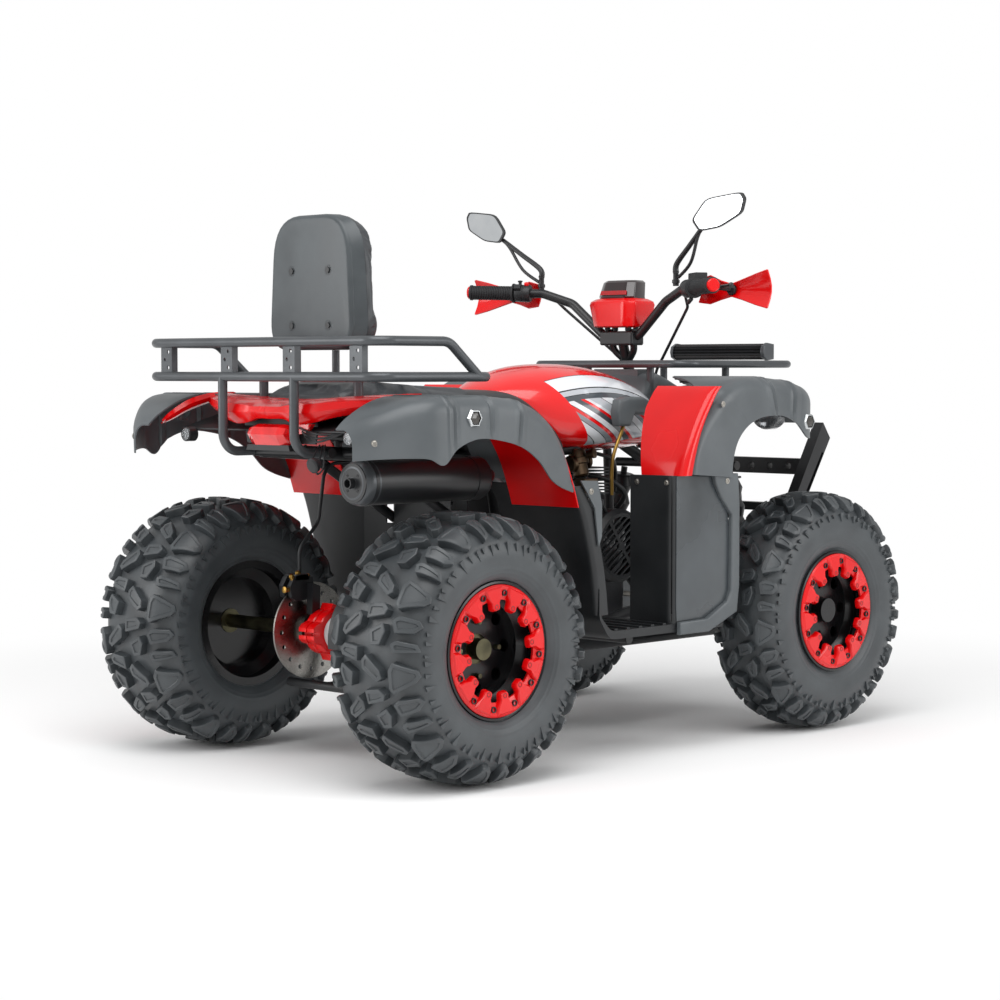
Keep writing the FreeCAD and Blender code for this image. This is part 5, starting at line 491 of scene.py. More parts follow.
class OBJECT_OT_quad_tyres(QuadPieces, bpy.types.Operator):
    """Builds the four lugged tyres, and dresses their red bead rings and rims"""
    bl_idname = "object.quad_tyres"
    bl_label = "Tyres"

    def dress_rim(self, name, hub, side, rear, body):
        """Twelve eyed pods on the bead ring, bolts between them, the black lip and the dish inside."""
        out = Vector((0, side, 0))
        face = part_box("rear_rings" if rear else name)[1 if side == LEFT else 0].y
        pods, bolts, lip = bmesh.new(), bmesh.new(), bmesh.new()
        eyes = bmesh.new()
        for index in range(12):
            turn = math.tau * (index + 0.25) / 12
            away = Vector((math.cos(turn), 0, math.sin(turn)))
            across = out.cross(away)

            def at(radius, shift, rise):
                return Vector((hub.x, face, hub.z)) + (away * radius + across * shift + out * rise) * MM

            base = [(131, -27), (131, 27), (112, 22), (100, 13), (86, 12), (82, 7), (82, -7), (86, -12),
                    (100, -13),
                    (112, -22)]
            lid = [(126, -20), (126, 20), (111, 17), (99, 9), (88, 9), (84.5, 5.5), (84.5, -5.5), (88, -9),
                   (99, -9),
                   (111, -17)]
            rises = [-3, -3, -0.8, -0.8, -0.8, -0.8, -0.8, -0.8, -0.8, -0.8]
            loft(pods, [[at(radius, shift, -13.5) for radius, shift in base],
                        [at(radius, shift, -7.0) for radius, shift in base],
                        [at(radius, shift, rise) for (radius, shift), rise in zip(lid, rises)]])
            turned(eyes, at(91, 0, -1.2), out,
                   [(5.4, -1), (5.4, 0.7), (3.6, 0.9), (3.6, -0.4), (0.5, -0.4)], 16)
            turn += math.tau / 24
            away = Vector((math.cos(turn), 0, math.sin(turn)))
            bolt = Vector((hub.x, face, hub.z)) + (away * 118 - out * 9) * MM
            turned(bolts, bolt, out, [(6.6, -5), (6.6, 4.6), (4.6, 4.7), (4.6, 0.5), (0.5, 0.5)], 12)
        turned(pods, (hub.x, face, hub.z), out,
               [(104, -16), (134.5, -16), (134.5, -8), (131, -5.5), (127, -6), (109, -9.5),
                (104, -11)], 96, True)
        new_object(name + "_pods", pods, "red_paint", body, ["rear_rings" if rear else name])
        new_object(name + "_eyes", eyes, "dark_red", body)
        new_object(name + "_bolts", bolts, "black_steel", body)
        turned(lip, (hub.x, face, hub.z), out,
               [(134, -20), (141, -20), (142.5, -14), (141, -9.5), (137, -8.5), (134.5, -10)],
               96, True)
        middle = hub.y - side * (20 if rear else 0) * MM
        dish = [(0.5, 22), (16, 22), (18, 18), (18, 10), (30, 9), (34, 4), (82, 3), (92, -3), (104, -7),
                (112, -8),
                (112, -11), (60, -8), (0.5, -8)]
        turned(lip, (hub.x, middle, hub.z), out, dish, 72)
        for far in (26, 44):
            turned(lip, (hub.x, middle, hub.z), out,
                   [(121.8, far), (118.5, far + 1), (118.5, far + 5), (121.8, far + 6)], 96, True)
        new_object(name + "_lip", lip, "black_rim", body)
        nuts, brass = bmesh.new(), bmesh.new()
        for index in range(4):
            turn = math.tau * (index + 0.5) / 4
            where = Vector((hub.x + 0.055 * math.cos(turn), middle + side * 0.004,
                            hub.z + 0.055 * math.sin(turn)))
            turned(nuts, where, out, [(11, 0), (11, 1.6), (8, 2), (8, 9), (4, 12), (0.5, 12)], 6)
        turned(brass, (hub.x, middle + side * 0.020, hub.z), out,
               [(9, 0), (9, 6), (4, 7), (4, 12), (0.5, 12)], 6)
        new_object(name + "_nuts", nuts, "black_steel", body, smooth=False)
        new_object(name + "_nut", brass, "lever_brass", body, smooth=False)

    def execute(self, context):
        for end, half, rim_half, ahead, body in (("rear", 127, 102, 0, "rear_axle"),
                                                 ("front", 89, 76, 1131, "front_wheel")):
            for hand, side in (("left", LEFT), ("right", RIGHT)):
                name = end + "_tyre_" + hand
                low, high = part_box(name)
                middle = (low + high) / 2
                shape = tyre_shape(half, rim_half, side == RIGHT)
                bmesh.ops.translate(shape, verts=shape.verts[:],
                                    vec=(ahead * MM - AXLE_BACK, middle.y, 0.2795))
                rides = body if end == "rear" else body + "_" + hand
                new_object(name + "_rubber", shape, "tyre_rubber", rides, [name])
                hub = spot(ahead, middle.y / MM, 279.5)
                self.dress_rim(name.replace("tyre", "ring"), hub, side, end == "rear", rides)
        return {"FINISHED"}


def apply_modifiers(made):
    """Bakes the object's modifiers into its mesh."""
    bpy.context.view_layer.update()
    graph = bpy.context.evaluated_depsgraph_get()
    mesh = bpy.data.meshes.new_from_object(made.evaluated_get(graph))
    old = made.data
    made.modifiers.clear()
    made.data = mesh
    bpy.data.meshes.remove(old)


def remeshed(name, shape, voxel_mm):
    """An object with the shape's skin rebuilt from even quads."""
    mesh = bpy.data.meshes.new(name)
    shape.to_mesh(mesh)
    shape.free()
    made = bpy.data.objects.new(name, mesh)
    bpy.context.scene.collection.objects.link(made)
    even = made.modifiers.new("even", "REMESH")
    even.mode = "VOXEL"
    even.voxel_size = voxel_mm * MM
    apply_modifiers(made)
    return made


def puffed(made, pressure, cap_mm, held):
    """Blows the skin up as foam fills a cover, keeps the held points, and caps how far a point may move."""
    rest = [vert.co.copy() for vert in made.data.vertices]
    group = made.vertex_groups.new(name="held")
    group.add([vert.index for vert in made.data.vertices if held(vert)], 1.0, "REPLACE")
    cloth = made.modifiers.new("cover", "CLOTH")
    cloth.settings.quality = 5
    cloth.settings.mass = 0.3
    cloth.settings.tension_stiffness = 15
    cloth.settings.compression_stiffness = 15
    cloth.settings.bending_stiffness = 0.6
    cloth.settings.use_pressure = True
    cloth.settings.uniform_pressure_force = pressure
    cloth.settings.effector_weights.gravity = 0
    cloth.settings.vertex_group_mass = "held"
    cloth.point_cache.frame_start = 1
    cloth.point_cache.frame_end = 20
    scene = bpy.context.scene
    for number in range(1, 21):
        scene.frame_set(number)
    apply_modifiers(made)
    cap = cap_mm * MM
    for vert, start in zip(made.data.vertices, rest):
        move = vert.co - start
        if move.length > cap:
            vert.co = start + move.normalized() * cap
    scene.frame_set(1)


def cover_seams(made, planes, deep_mm, wide_mm):
    """Pulls the cover in along sewn channels; each plane is a point and a direction across the seam."""
    for vert in made.data.vertices:
        for at, across in planes:
            away = abs((vert.co - Vector(at)).dot(Vector(across))) / (wide_mm * MM)
            if away < 1:
                vert.co -= vert.normal * (deep_mm * MM * (1 - away) ** 2)


def node_copy(name, shrink_mm):
    """The CAD node's shape with its points merged and pulled in a little."""
    shape = bmesh.new()
    shape.from_mesh(NODES[name].data)
    bmesh.ops.remove_doubles(shape, verts=shape.verts[:], dist=0.00002)
    shape.normal_update()
    for vert, pull in [(vert, vert.normal * shrink_mm * MM) for vert in shape.verts]:
        vert.co -= pull
    return shape


def dressed(made, material, body, replaced=()):
    """Smooth shading, finish and body of a padded piece."""
    made.data.materials.clear()
    made.data.materials.append(MATERIALS[material])
    made.data.shade_smooth()
    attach(made, body)
    if replaced:
        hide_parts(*replaced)
    return made


def rounded_outline(shape, corners, at):
    """A face through rounded corners; each corner is (u, v, radius) and at() turns (u, v) into a point."""
    verts = []
    count = len(corners)
    for index, (u, v, radius) in enumerate(corners):
        here = Vector((u, v))
        before = Vector(corners[index - 1][:2])
        after = Vector(corners[(index + 1) % count][:2])
        start = here + (before - here).normalized() * radius
        end = here + (after - here).normalized() * radius
        for step in range(9):
            t = step / 8
            point = start * (1 - t) ** 2 + here * 2 * t * (1 - t) + end * t * t
            verts.append(shape.verts.new(at(point.x, point.y)))
    return shape.faces.new(verts)


REST_CORNERS = [(-158, 0, 66), (158, 0, 66), (138, 286, 92), (-138, 286, 92)]


class OBJECT_OT_quad_backrest(QuadPieces, bpy.types.Operator):
    """Builds the backrest: a moulded shell with recessed bolts, and its padded face"""
    bl_idname = "object.quad_backrest"
    bl_label = "Backrest"

    def execute(self, context):
        low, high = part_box("backrest")
        foot = low.z
        tall = high.z - low.z

        def on_shell(u, v):
            return Vector((low.x + 0.020, u * MM, foot + v * MM * tall / 0.286))

        shell = bmesh.new()
        face = rounded_outline(shell, REST_CORNERS, on_shell)
        raised = bmesh.ops.extrude_face_region(shell, geom=[face])
        back = [item for item in raised["geom"] if isinstance(item, bmesh.types.BMVert)]
        bmesh.ops.translate(shell, verts=back, vec=(-0.026, 0, 0))
        for vert in back:
            vert.co.y *= 0.86
        rear = [item for item in raised["geom"] if isinstance(item, bmesh.types.BMFace)]
        rim = list({edge for item in rear for edge in item.edges})
        bmesh.ops.bevel(shell, geom=rim, offset=0.011, segments=5, profile=0.5, affect="EDGES", material=-1)
        panel = max(shell.faces, key=lambda item: (item.normal.x < -0.9) * item.calc_area())
        bmesh.ops.inset_region(shell, faces=[panel], thickness=0.004, depth=-0.0012)
        bmesh.ops.inset_region(shell, faces=[panel], thickness=0.006, depth=0.0)
        panel = max(shell.faces, key=lambda item: (item.normal.x < -0.9) * item.calc_area())
        holes = []
        for side in (-58, 58):
            for rise in (52, 168):
                holes.append(Vector((low.x - 0.0062, side * MM, foot + rise * MM)))
        new_object("backrest_shell", shell, "shell_plastic", "chassis")
        bolts = bmesh.new()
        for hole in holes:
            turn = Matrix.Translation(hole + Vector((0.0008, 0, 0))) @ Matrix.Rotation(math.pi / 2, 4, "Y")
            bmesh.ops.create_cone(bolts, cap_ends=True, segments=32, radius1=0.0115, radius2=0.0115,
                                  depth=0.0012,
                                  matrix=turn)
            head = Matrix.Translation(hole + Vector((-0.0006, 0, 0))) @ Matrix.Rotation(math.pi / 2, 4, "Y")
            bmesh.ops.create_cone(bolts, cap_ends=True, segments=6, radius1=0.0070, radius2=0.0062,
                                  depth=0.004,
                                  matrix=head)
        new_object("backrest_bolts", bolts, "black_steel", "chassis")

        def on_pad(u, v):
            return Vector((low.x + 0.021, u * 0.985 * MM, foot + (v * 0.985 + 3) * MM * tall / 0.286))

        pad = bmesh.new()
        face = rounded_outline(pad, REST_CORNERS, on_pad)
        raised = bmesh.ops.extrude_face_region(pad, geom=[face])
        front = [item for item in raised["geom"] if isinstance(item, bmesh.types.BMVert)]
        bmesh.ops.translate(pad, verts=front, vec=(0.040, 0, 0))
        rim = list({edge for item in raised["geom"] if isinstance(item,
                                                                  bmesh.types.BMFace) for edge in item.edges})
        bmesh.ops.bevel(pad, geom=rim, offset=0.016, segments=5, profile=0.5, affect="EDGES", material=-1)
        made = remeshed("backrest_pad", pad, 5)
        puffed(made, 4.0, 10, lambda vert: vert.co.x < low.x + 0.026)
        cover_seams(made, [((low.x + 0.028, 0, 0), (1, 0, 0))], 2.0, 5)
        dressed(made, "black_vinyl", "chassis", ["backrest"])
        return {"FINISHED"}


class OBJECT_OT_quad_seat(QuadPieces, bpy.types.Operator):
    """Builds the padded saddle with its sewn panels"""
    bl_idname = "object.quad_seat"
    bl_label = "Seat"

    def execute(self, context):
        low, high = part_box("seat")
        made = remeshed("seat_cover", node_copy("seat", 3.0), 6)
        floor = low.z + 0.035
        puffed(made, 3.0, 8, lambda vert: vert.co.z < floor)
        made.data.update()
        cover_seams(made, [((0, 0, high.z - 0.062), (0.12, 0, 1)), ((low.x + 0.33, 0, 0), (1, 0, 0.1))],
                    2.2, 6)
        dressed(made, "black_vinyl", "chassis", ["seat"])
        return {"FINISHED"}


def grid_skin(shape, rows, thick_mm=0.0):
    """Quads between rows of points in metres; with a thickness it becomes a closed plate."""
    corners = [[shape.verts.new(point) for point in row] for row in rows]
    made = []
    for near, far in zip(corners, corners[1:]):
        for index in range(len(near) - 1):
            made.append(shape.faces.new((near[index], near[index + 1], far[index + 1], far[index])))
    bmesh.ops.recalc_face_normals(shape, faces=made)
    if thick_mm:
        bmesh.ops.solidify(shape, geom=made, thickness=thick_mm * MM)
    return made


def both_sides(shape):
    """Adds the mirror image of everything in the shape, across the middle plane."""
    copy = bmesh.ops.duplicate(shape, geom=shape.verts[:] + shape.edges[:] + shape.faces[:])
    verts = [item for item in copy["geom"] if isinstance(item, bmesh.types.BMVert)]
    bmesh.ops.scale(shape, vec=(1, -1, 1), verts=verts)
    return shape


def smooth_table(table, steps):
    """Rows of numbers with smooth rows put between them."""
    columns = []
    for column in range(len(table[0])):
        line = smooth_line([(row[column], 0, 0) for row in table], steps)
        columns.append([point.x for point in line])
    return list(zip(*columns))


def bend_section(top, lip, inner, outer, bend, lift=0.0):
    """One cross-section of a fender: over its top, round its edge and down its wall to the lip."""
    down = Vector((lip[0] - top[0], 0, lip[1] - top[1]))
    reach = down.length
    down.normalize()
    bend = min(bend, reach * 0.8, (outer - inner) * 0.8)
    up = -down * lift
    points = []
    for step in range(6):
        side = inner + (outer - bend - inner) * step / 6
        points.append(Vector((top[0], side, top[1])) + up)
    for step in range(8):
        turn = math.pi / 2 * step / 7
        points.append(Vector((top[0], outer - bend + (bend + lift) * math.sin(turn), top[1]))
                      + up * math.cos(turn) + down * bend * (1 - math.cos(turn)))
    for step in range(1, 6):
        points.append(Vector((top[0], outer + lift * (step < 5),
                              top[1])) + down * (bend + (reach - bend) * step / 5))
    return [spot(point.x, point.y, point.z) for point in points]


# Rear fender stations: top ahead and high, lip ahead and high, inner side, outer side.
REAR_FENDER = [(-266, 727, -266, 664, 303, 352), (-240, 748, -236, 668, 303, 392),
               (-196, 772, -188, 670, 303, 436),
               (-160, 785, -156, 668, 303, 459), (-128, 791, -124, 656, 303, 467),
               (-92, 792, -88, 688, 303, 469),
               (-38, 792, -30, 706, 165, 469), (48, 789, 42, 700, 165, 469), (112, 779, 101, 684, 165, 469),
               (166, 757, 148, 656, 165, 467), (212, 720, 187, 618, 165, 464), (248, 668, 222, 600, 165, 460),
               (274, 612, 262, 588, 165, 455)]
REAR_GROOVES = (-104, 4, 96)


class OBJECT_OT_quad_rear_fender(QuadPieces, bpy.types.Operator):
    """Builds the rear fenders with their swept-in tails and stepped ribs, and the guards below them"""
    bl_idname = "object.quad_rear_fender"
    bl_label = "Rear fenders"

    def execute(self, context):
        rows = []
        for top_x, top_z, lip_x, lip_z, inner, outer in smooth_table(REAR_FENDER, 10):
            lift = 0.0
            for groove in REAR_GROOVES:
                away = abs(top_x - groove)
                if away < 14:
                    lift = 2.2 if away > 4 else -2.6
            rows.append(bend_section((top_x, top_z), (lip_x, lip_z), inner, outer, 34, lift))
        shape = bmesh.new()
        grid_skin(shape, rows, 3.5)
        both_sides(shape)
        new_object("rear_fender_skin", shape, "grey_plastic", "chassis", ["rear_fender"])
        guard = bmesh.new()
        rows = []
        for ahead, high, half_in, half_out in smooth_table([(262, 600, 205, 448), (292, 552, 205, 449),
                                                            (316, 480, 205, 450), (334, 400, 205, 450),
                                                            (344, 322, 205, 450)], 6):
            row = [spot(ahead, half_in + (half_out - 14 - half_in) * step / 6, high) for step in range(7)]
            for step in range(1, 6):
                turn = math.pi / 2 * step / 5
                row.append(spot(ahead + 14 * (1 - math.cos(turn)), half_out - 14 + 14 * math.sin(turn), high))
            row.append(spot(ahead + 34, half_out, high))
            rows.append(row)
        grid_skin(guard, rows, 4)
        both_sides(guard)
        new_object("rear_foot_guards", guard, "black_plastic", "chassis")
        bracket = bmesh.new()
        for side in (451.5,):
            outline = [(286, 612), (338, 610), (352, 560), (352, 492), (342, 470), (330, 552), (306, 586)]
            face = bracket.faces.new([bracket.verts.new(spot(ahead, side, high)) for ahead, high in outline])
            raised = bmesh.ops.extrude_face_region(bracket, geom=[face])
            bmesh.ops.translate(bracket,
                                verts=[item for item in raised["geom"] if isinstance(item,
                                                                                     bmesh.types.BMVert)],
                                vec=(0, 0.004, 0))
        both_sides(bracket)
        new_object("rear_guard_brackets", bracket, "grey_plastic", "chassis", smooth=False)
        return {"FINISHED"}


# Front fender stations: top ahead and high, lip ahead and high, inner side, outer side.
FRONT_FENDER = [(634, 614, 772, 604, 448, 469), (641, 655, 776, 640, 446, 469),
                (660, 702, 786, 672, 438, 469),
                (692, 750, 802, 696, 425, 469), (736, 792, 826, 716, 396, 469),
                (784, 818, 852, 729, 330, 469),
                (838, 827, 884, 737, 240, 469), (900, 826, 926, 740, 190, 469),
                (960, 822, 966, 737, 150, 468),
                (1020, 815, 1012, 720, 110, 466), (1062, 808, 1058, 690, 96, 458),
                (1110, 800, 1108, 684, 0.5, 430),
                (1170, 790, 1170, 684, 0.5, 380), (1230, 774, 1230, 686, 0.5, 332),
                (1288, 750, 1290, 690, 0.5, 290),
                (1336, 716, 1338, 692, 0.5, 254)]
FRONT_GROOVES = (905, 1000)
RED_EDGE = [(612, 600, 628), (655, 614, 640), (700, 634, 656), (738, 656, 676), (772, 680, 698),
            (796, 699, 716),
            (808, 712, 730)]


class OBJECT_OT_quad_front_fender(QuadPieces, bpy.types.Operator):
    """Builds the front fender with its crown and nose, and the red panels wrapped round its back corners"""
    bl_idname = "object.quad_front_fender"
    bl_label = "Front fender"

    def execute(self, context):
        rows = []
        for top_x, top_z, lip_x, lip_z, inner, outer in smooth_table(FRONT_FENDER, 8):
            lift = 0.0
            for groove in FRONT_GROOVES:
                away = abs(top_x - groove)
                if away < 14:
                    lift = 2.2 if away > 4 else -2.6
            if 742 < top_x < 1030:
                lift += 1.6
            rows.append(bend_section((top_x, top_z), (lip_x, lip_z), max(inner, 0.4), outer, 36, lift))
        shape = bmesh.new()
        grid_skin(shape, rows, 3.5)
        both_sides(shape)
        new_object("front_fender_skin", shape, "grey_plastic", "chassis", ["front_fender"])
        rows = []
        for high, back, edge in smooth_table(RED_EDGE, 5):
            inner = 300 + 50 * max(0.0, (760 - high) / 150)
            row = [spot(back, inner + (456 - inner) * step / 6, high) for step in range(7)]
            for step in range(1, 7):
                turn = math.pi / 2 * step / 6
                row.append(spot(back + 16 * (1 - math.cos(turn)), 456 + 16 * math.sin(turn), high))
            row.append(spot(edge, 472, high))
            rows.append(row)
        panel = bmesh.new()
        grid_skin(panel, rows, 3.0)
        both_sides(panel)
        new_object("front_side_panel_skins", panel, "red_plastic", "chassis", ["front_side_panels"])
        return {"FINISHED"}


class OBJECT_OT_quad_leg_shields(QuadPieces, bpy.types.Operator):
    """Builds the leg shields' smooth outer faces and their flared front edges"""
    bl_idname = "object.quad_leg_shields"
    bl_label = "Leg shields"

    def execute(self, context):
        rows = []
        for high, back, front, bulge in smooth_table([(292, 600, 702, 0), (330, 598, 770, 4),
                                                      (400, 598, 776, 6),
                                                      (500, 598, 776, 6), (560, 598, 758, 5),
                                                      (590, 598, 722, 4),
                                                      (611, 598, 716, 2)], 6):
            row = []
            for step in range(13):
                share = step / 12
                row.append(spot(back + (front - back) * share,
                                453.5 + bulge * math.sin(math.pi * share * 0.9), high))
            rows.append(row)
        face = bmesh.new()
        grid_skin(face, rows, 2.0)
        both_sides(face)
        new_object("leg_shield_faces", face, "satin_plastic", "chassis")
        edge = bmesh.new()
        outline = [(716, 614), (800, 612), (806, 540), (806, 360), (798, 300), (700, 262), (600, 262),
                   (600, 290),
                   (694, 292), (764, 326), (776, 350), (778, 520), (740, 560), (722, 590)]
        face = edge.faces.new([edge.verts.new(spot(ahead, 454, high)) for ahead, high in outline])
        raised = bmesh.ops.extrude_face_region(edge, geom=[face])
        verts = [item for item in raised["geom"] if isinstance(item, bmesh.types.BMVert)]
        bmesh.ops.translate(edge, verts=verts, vec=(0, 0.011, 0))
        top = [item for item in raised["geom"] if isinstance(item, bmesh.types.BMFace)]
        bmesh.ops.bevel(edge, geom=list({item for face in top for item in face.edges}), offset=0.004,
                        segments=3,
                        profile=0.5, affect="EDGES", material=-1)
        both_sides(edge)
        new_object("leg_shield_flares", edge, "grey_plastic", "chassis")
        return {"FINISHED"}


def screw_heads(name, places, radius_mm, material, body, deep_mm=2.5):
    """Pan-head screws with a round recess; each place is a point and the direction the head faces."""
    shape = bmesh.new()
    for at, out in places:
        out = Vector(out).normalized()
        turn = Vector((0, 0, 1)).rotation_difference(out).to_matrix().to_4x4()
        frame_of = Matrix.Translation(at) @ turn
        profile = [(radius_mm * 1.35, 0.0), (radius_mm * 1.35, 0.8), (radius_mm, 1.0),
                   (radius_mm, deep_mm * 0.6),
                   (radius_mm * 0.8, deep_mm), (radius_mm * 0.35, deep_mm),
                   (radius_mm * 0.28, deep_mm * 0.4), (0.01, deep_mm * 0.4)]
        corners = []
        for radius, high in profile:
            corners.append([shape.verts.new(frame_of @ (Vector((radius * math.cos(math.tau * index / 20),
                                                                radius * math.sin(math.tau * index / 20),
                                                                high)) * MM))
                            for index in range(20)])
        for near, far in zip(corners, corners[1:]):
            for index in range(20):
                after = (index + 1) % 20
                shape.faces.new((near[index], near[after], far[after], far[index]))
        shape.faces.new(corners[0][::-1])
        shape.faces.new(corners[-1])
    return new_object(name, shape, material, body)


class OBJECT_OT_quad_screws(QuadPieces, bpy.types.Operator):
    """Puts in the screws of the plastic panels"""
    bl_idname = "object.quad_screws"
    bl_label = "Panel screws"

    def execute(self, context):
        places = []
        for hand in (LEFT, RIGHT):
            out = (0, hand, 0)
            back = (-1, 0, 0)
            places += [(spot(760, 465 * hand, 596), out), (spot(735, 472 * hand, 768), out),
                       (spot(318, 455.5 * hand, 588), out),
                       (spot(-240, 389 * hand, 700), (-0.6, 0.75 * hand, 0)),
                       (spot(584.5, 350 * hand, 597), back), (spot(584.5, 436 * hand, 597), back)]
        screw_heads("panel_screws", places, 5.0, "bright_steel", "chassis")
        return {"FINISHED"}


def loft(shape, rings, caps=True, endless=False):
    """A closed skin through rings of points in metres, each ring with as many points."""
    corners = [[shape.verts.new(point) for point in ring] for ring in rings]
    count = len(corners[0])
    for near, far in zip(corners, corners[1:] + corners[:1] * endless):
        for index in range(count):
            after = (index + 1) % count
            shape.faces.new((near[index], near[after], far[after], far[index]))
    if caps:
        shape.faces.new(corners[0][::-1])
        shape.faces.new(corners[-1])
    return corners


def turned(shape, at, along, profile, segments=32, ring=False):
    """Turns (radius, distance) pairs in millimetres about an axis; a ring's profile closes on itself."""
    along = Vector(along).normalized()
    turn = Vector((0, 0, 1)).rotation_difference(along).to_matrix()
    rings = []
    for radius, far in profile:
        circle = [Vector((radius * math.cos(math.tau * index / segments),
                          radius * math.sin(math.tau * index / segments),
                        far)) * MM for index in range(segments)]
        rings.append([Vector(at) + turn @ point for point in circle])
    loft(shape, rings, not ring, ring)


def pipe(shape, points, radius_mm, segments=14, steps=6, radii=None):
    """A round tube along a smooth line through points in metres."""
    line = smooth_line(points, steps)
    side = None
    rings = []
    for index, point in enumerate(line):
        ahead = (line[min(index + 1, len(line) - 1)] - line[max(index - 1, 0)]).normalized()
        if side is None:
            side = ahead.orthogonal().normalized()
        side = (side - ahead * side.dot(ahead)).normalized()
        other = ahead.cross(side)
        radius = radius_mm if radii is None else radii[0] + (radii[1] - radii[0]) * index / (len(line) - 1)
        rings.append([point + (side * math.cos(math.tau * turn / segments)
                               + other * math.sin(math.tau * turn / segments)) * radius * MM
                      for turn in range(segments)])
    loft(shape, rings)


def slab(shape, outline, shift, bevel_mm=0.0):
    """A plate between an outline in metres and its copy, moved by shift, with its far edge rounded."""
    face = shape.faces.new([shape.verts.new(point) for point in outline])
    raised = bmesh.ops.extrude_face_region(shape, geom=[face])
    verts = [item for item in raised["geom"] if isinstance(item, bmesh.types.BMVert)]
    bmesh.ops.translate(shape, verts=verts, vec=shift)
    if bevel_mm:
        top = [item for item in raised["geom"] if isinstance(item, bmesh.types.BMFace)]
        bmesh.ops.bevel(shape, geom=list({item for face in top for item in face.edges}), offset=bevel_mm * MM,
                        segments=3, profile=0.5, affect="EDGES", material=-1)


TANK_STATIONS = [(420, 44, 782, 796), (434, 74, 772, 808), (458, 104, 746, 822), (492, 136, 708, 836),
                 (532, 164, 674, 847), (580, 186, 660, 855), (640, 202, 657, 858), (700, 205, 657, 856),
                 (770, 198, 657, 846), (840, 180, 662, 826), (884, 152, 680, 806), (903, 124, 700, 786)]
# The black cover between saddle and tank: ahead, half width, low, high.
NOSE_STATIONS = [(262, 128, 706, 792), (300, 150, 700, 800), (360, 166, 690, 800), (410, 176, 680, 797),
                 (452, 182, 664, 772), (496, 186, 652, 730), (524, 182, 648, 690)]
SHROUD_STATIONS = [(880, 116, 742, 800), (908, 108, 748, 834), (950, 92, 754, 846), (1000, 84, 764, 834),
                   (1050, 78, 772, 812), (1084, 70, 778, 800)]


def section_rings(table, squareness, crown=1.0, waist=0.5):
    """Rings of a lofted cover from its stations; a lower squareness or crown gives fuller corners."""
    rings = []
    for ahead, half, low, high in smooth_table(table, 6):
        middle = low + (high - low) * waist
        ring = []
        for step in range(64):
            turn = math.tau * step / 64
            across, up = math.cos(turn), math.sin(turn)
            power = squareness * (crown if up > 0 else 1.0)
            rise = (high - middle) * up ** power if up > 0 else (low - middle) * (-up) ** power
            ring.append(spot(ahead, half * math.copysign(abs(across) ** power, across), middle + rise))
        rings.append(ring)
    return rings


class OBJECT_OT_quad_tank(QuadPieces, bpy.types.Operator):
    """Builds the tank cover with its printed bands, and the filler, key and shift lever round it"""
    bl_idname = "object.quad_tank"
    bl_label = "Tank cover"

    def execute(self, context):
        shape = bmesh.new()
        loft(shape, section_rings(TANK_STATIONS, 0.62, 1.5, 0.34))
        new_object("tank_cover_skin", shape, "tank_print", "chassis", ["tank_cover"])
        nose = bmesh.new()
        loft(nose, section_rings(NOSE_STATIONS, 0.6))
        new_object("seat_nose", nose, "black_plastic", "chassis")
        shroud = bmesh.new()
        loft(shroud, section_rings(SHROUD_STATIONS, 0.62))
        new_object("shroud_skin", shroud, "grey_plastic", "chassis")
        cap = bmesh.new()
        turned(cap, spot(720, 0, 846), (0, 0, 1),
               [(34, 0), (34, 6), (30, 6.5), (30, 9), (27, 10.5), (1, 11)], 40)
        new_object("filler_cap", cap, "black_plastic", "chassis")
        rod = bmesh.new()
        pipe(rod, [spot(640, -226, 560), spot(642, -226, 640), spot(668, -228, 700), spot(680, -228, 724)],
             4.2)
        new_object("shift_rod", rod, "lever_brass", "chassis", ["gear_lever"])
        knob = bmesh.new()
        outline = [(652, 716), (690, 716), (704, 744), (742, 740), (762, 752), (760, 772), (736, 782),
                   (680, 784),
                   (652, 776), (644, 748)]
        slab(knob, [spot(ahead, -216, high) for ahead, high in outline], (0, -0.026, 0), 8)
        made = new_object("shift_knob", knob, "grey_plastic", "chassis")
        soften = made.modifiers.new("soften", "BEVEL")
        soften.width = 0.006
        soften.segments = 3
        soften.limit_method = "ANGLE"
        apply_modifiers(made)
        made.data.shade_smooth()
        key = bmesh.new()
        turned(key, spot(862, -178, 776), (-0.3, -0.85, 0.35),
               [(15, -8), (15, 8), (12, 10), (9, 10.5), (9, 8), (1, 8)], 28)
        new_object("key_switch", key, "black_plastic", "chassis")
        return {"FINISHED"}


MIRROR_OUTLINE = [(-1.0, -0.38), (-0.46, 0.72), (0.86, 0.96), (1.0, 0.60), (0.88, -0.14), (0.05, -0.84),
                  (-0.72, -1.0)]


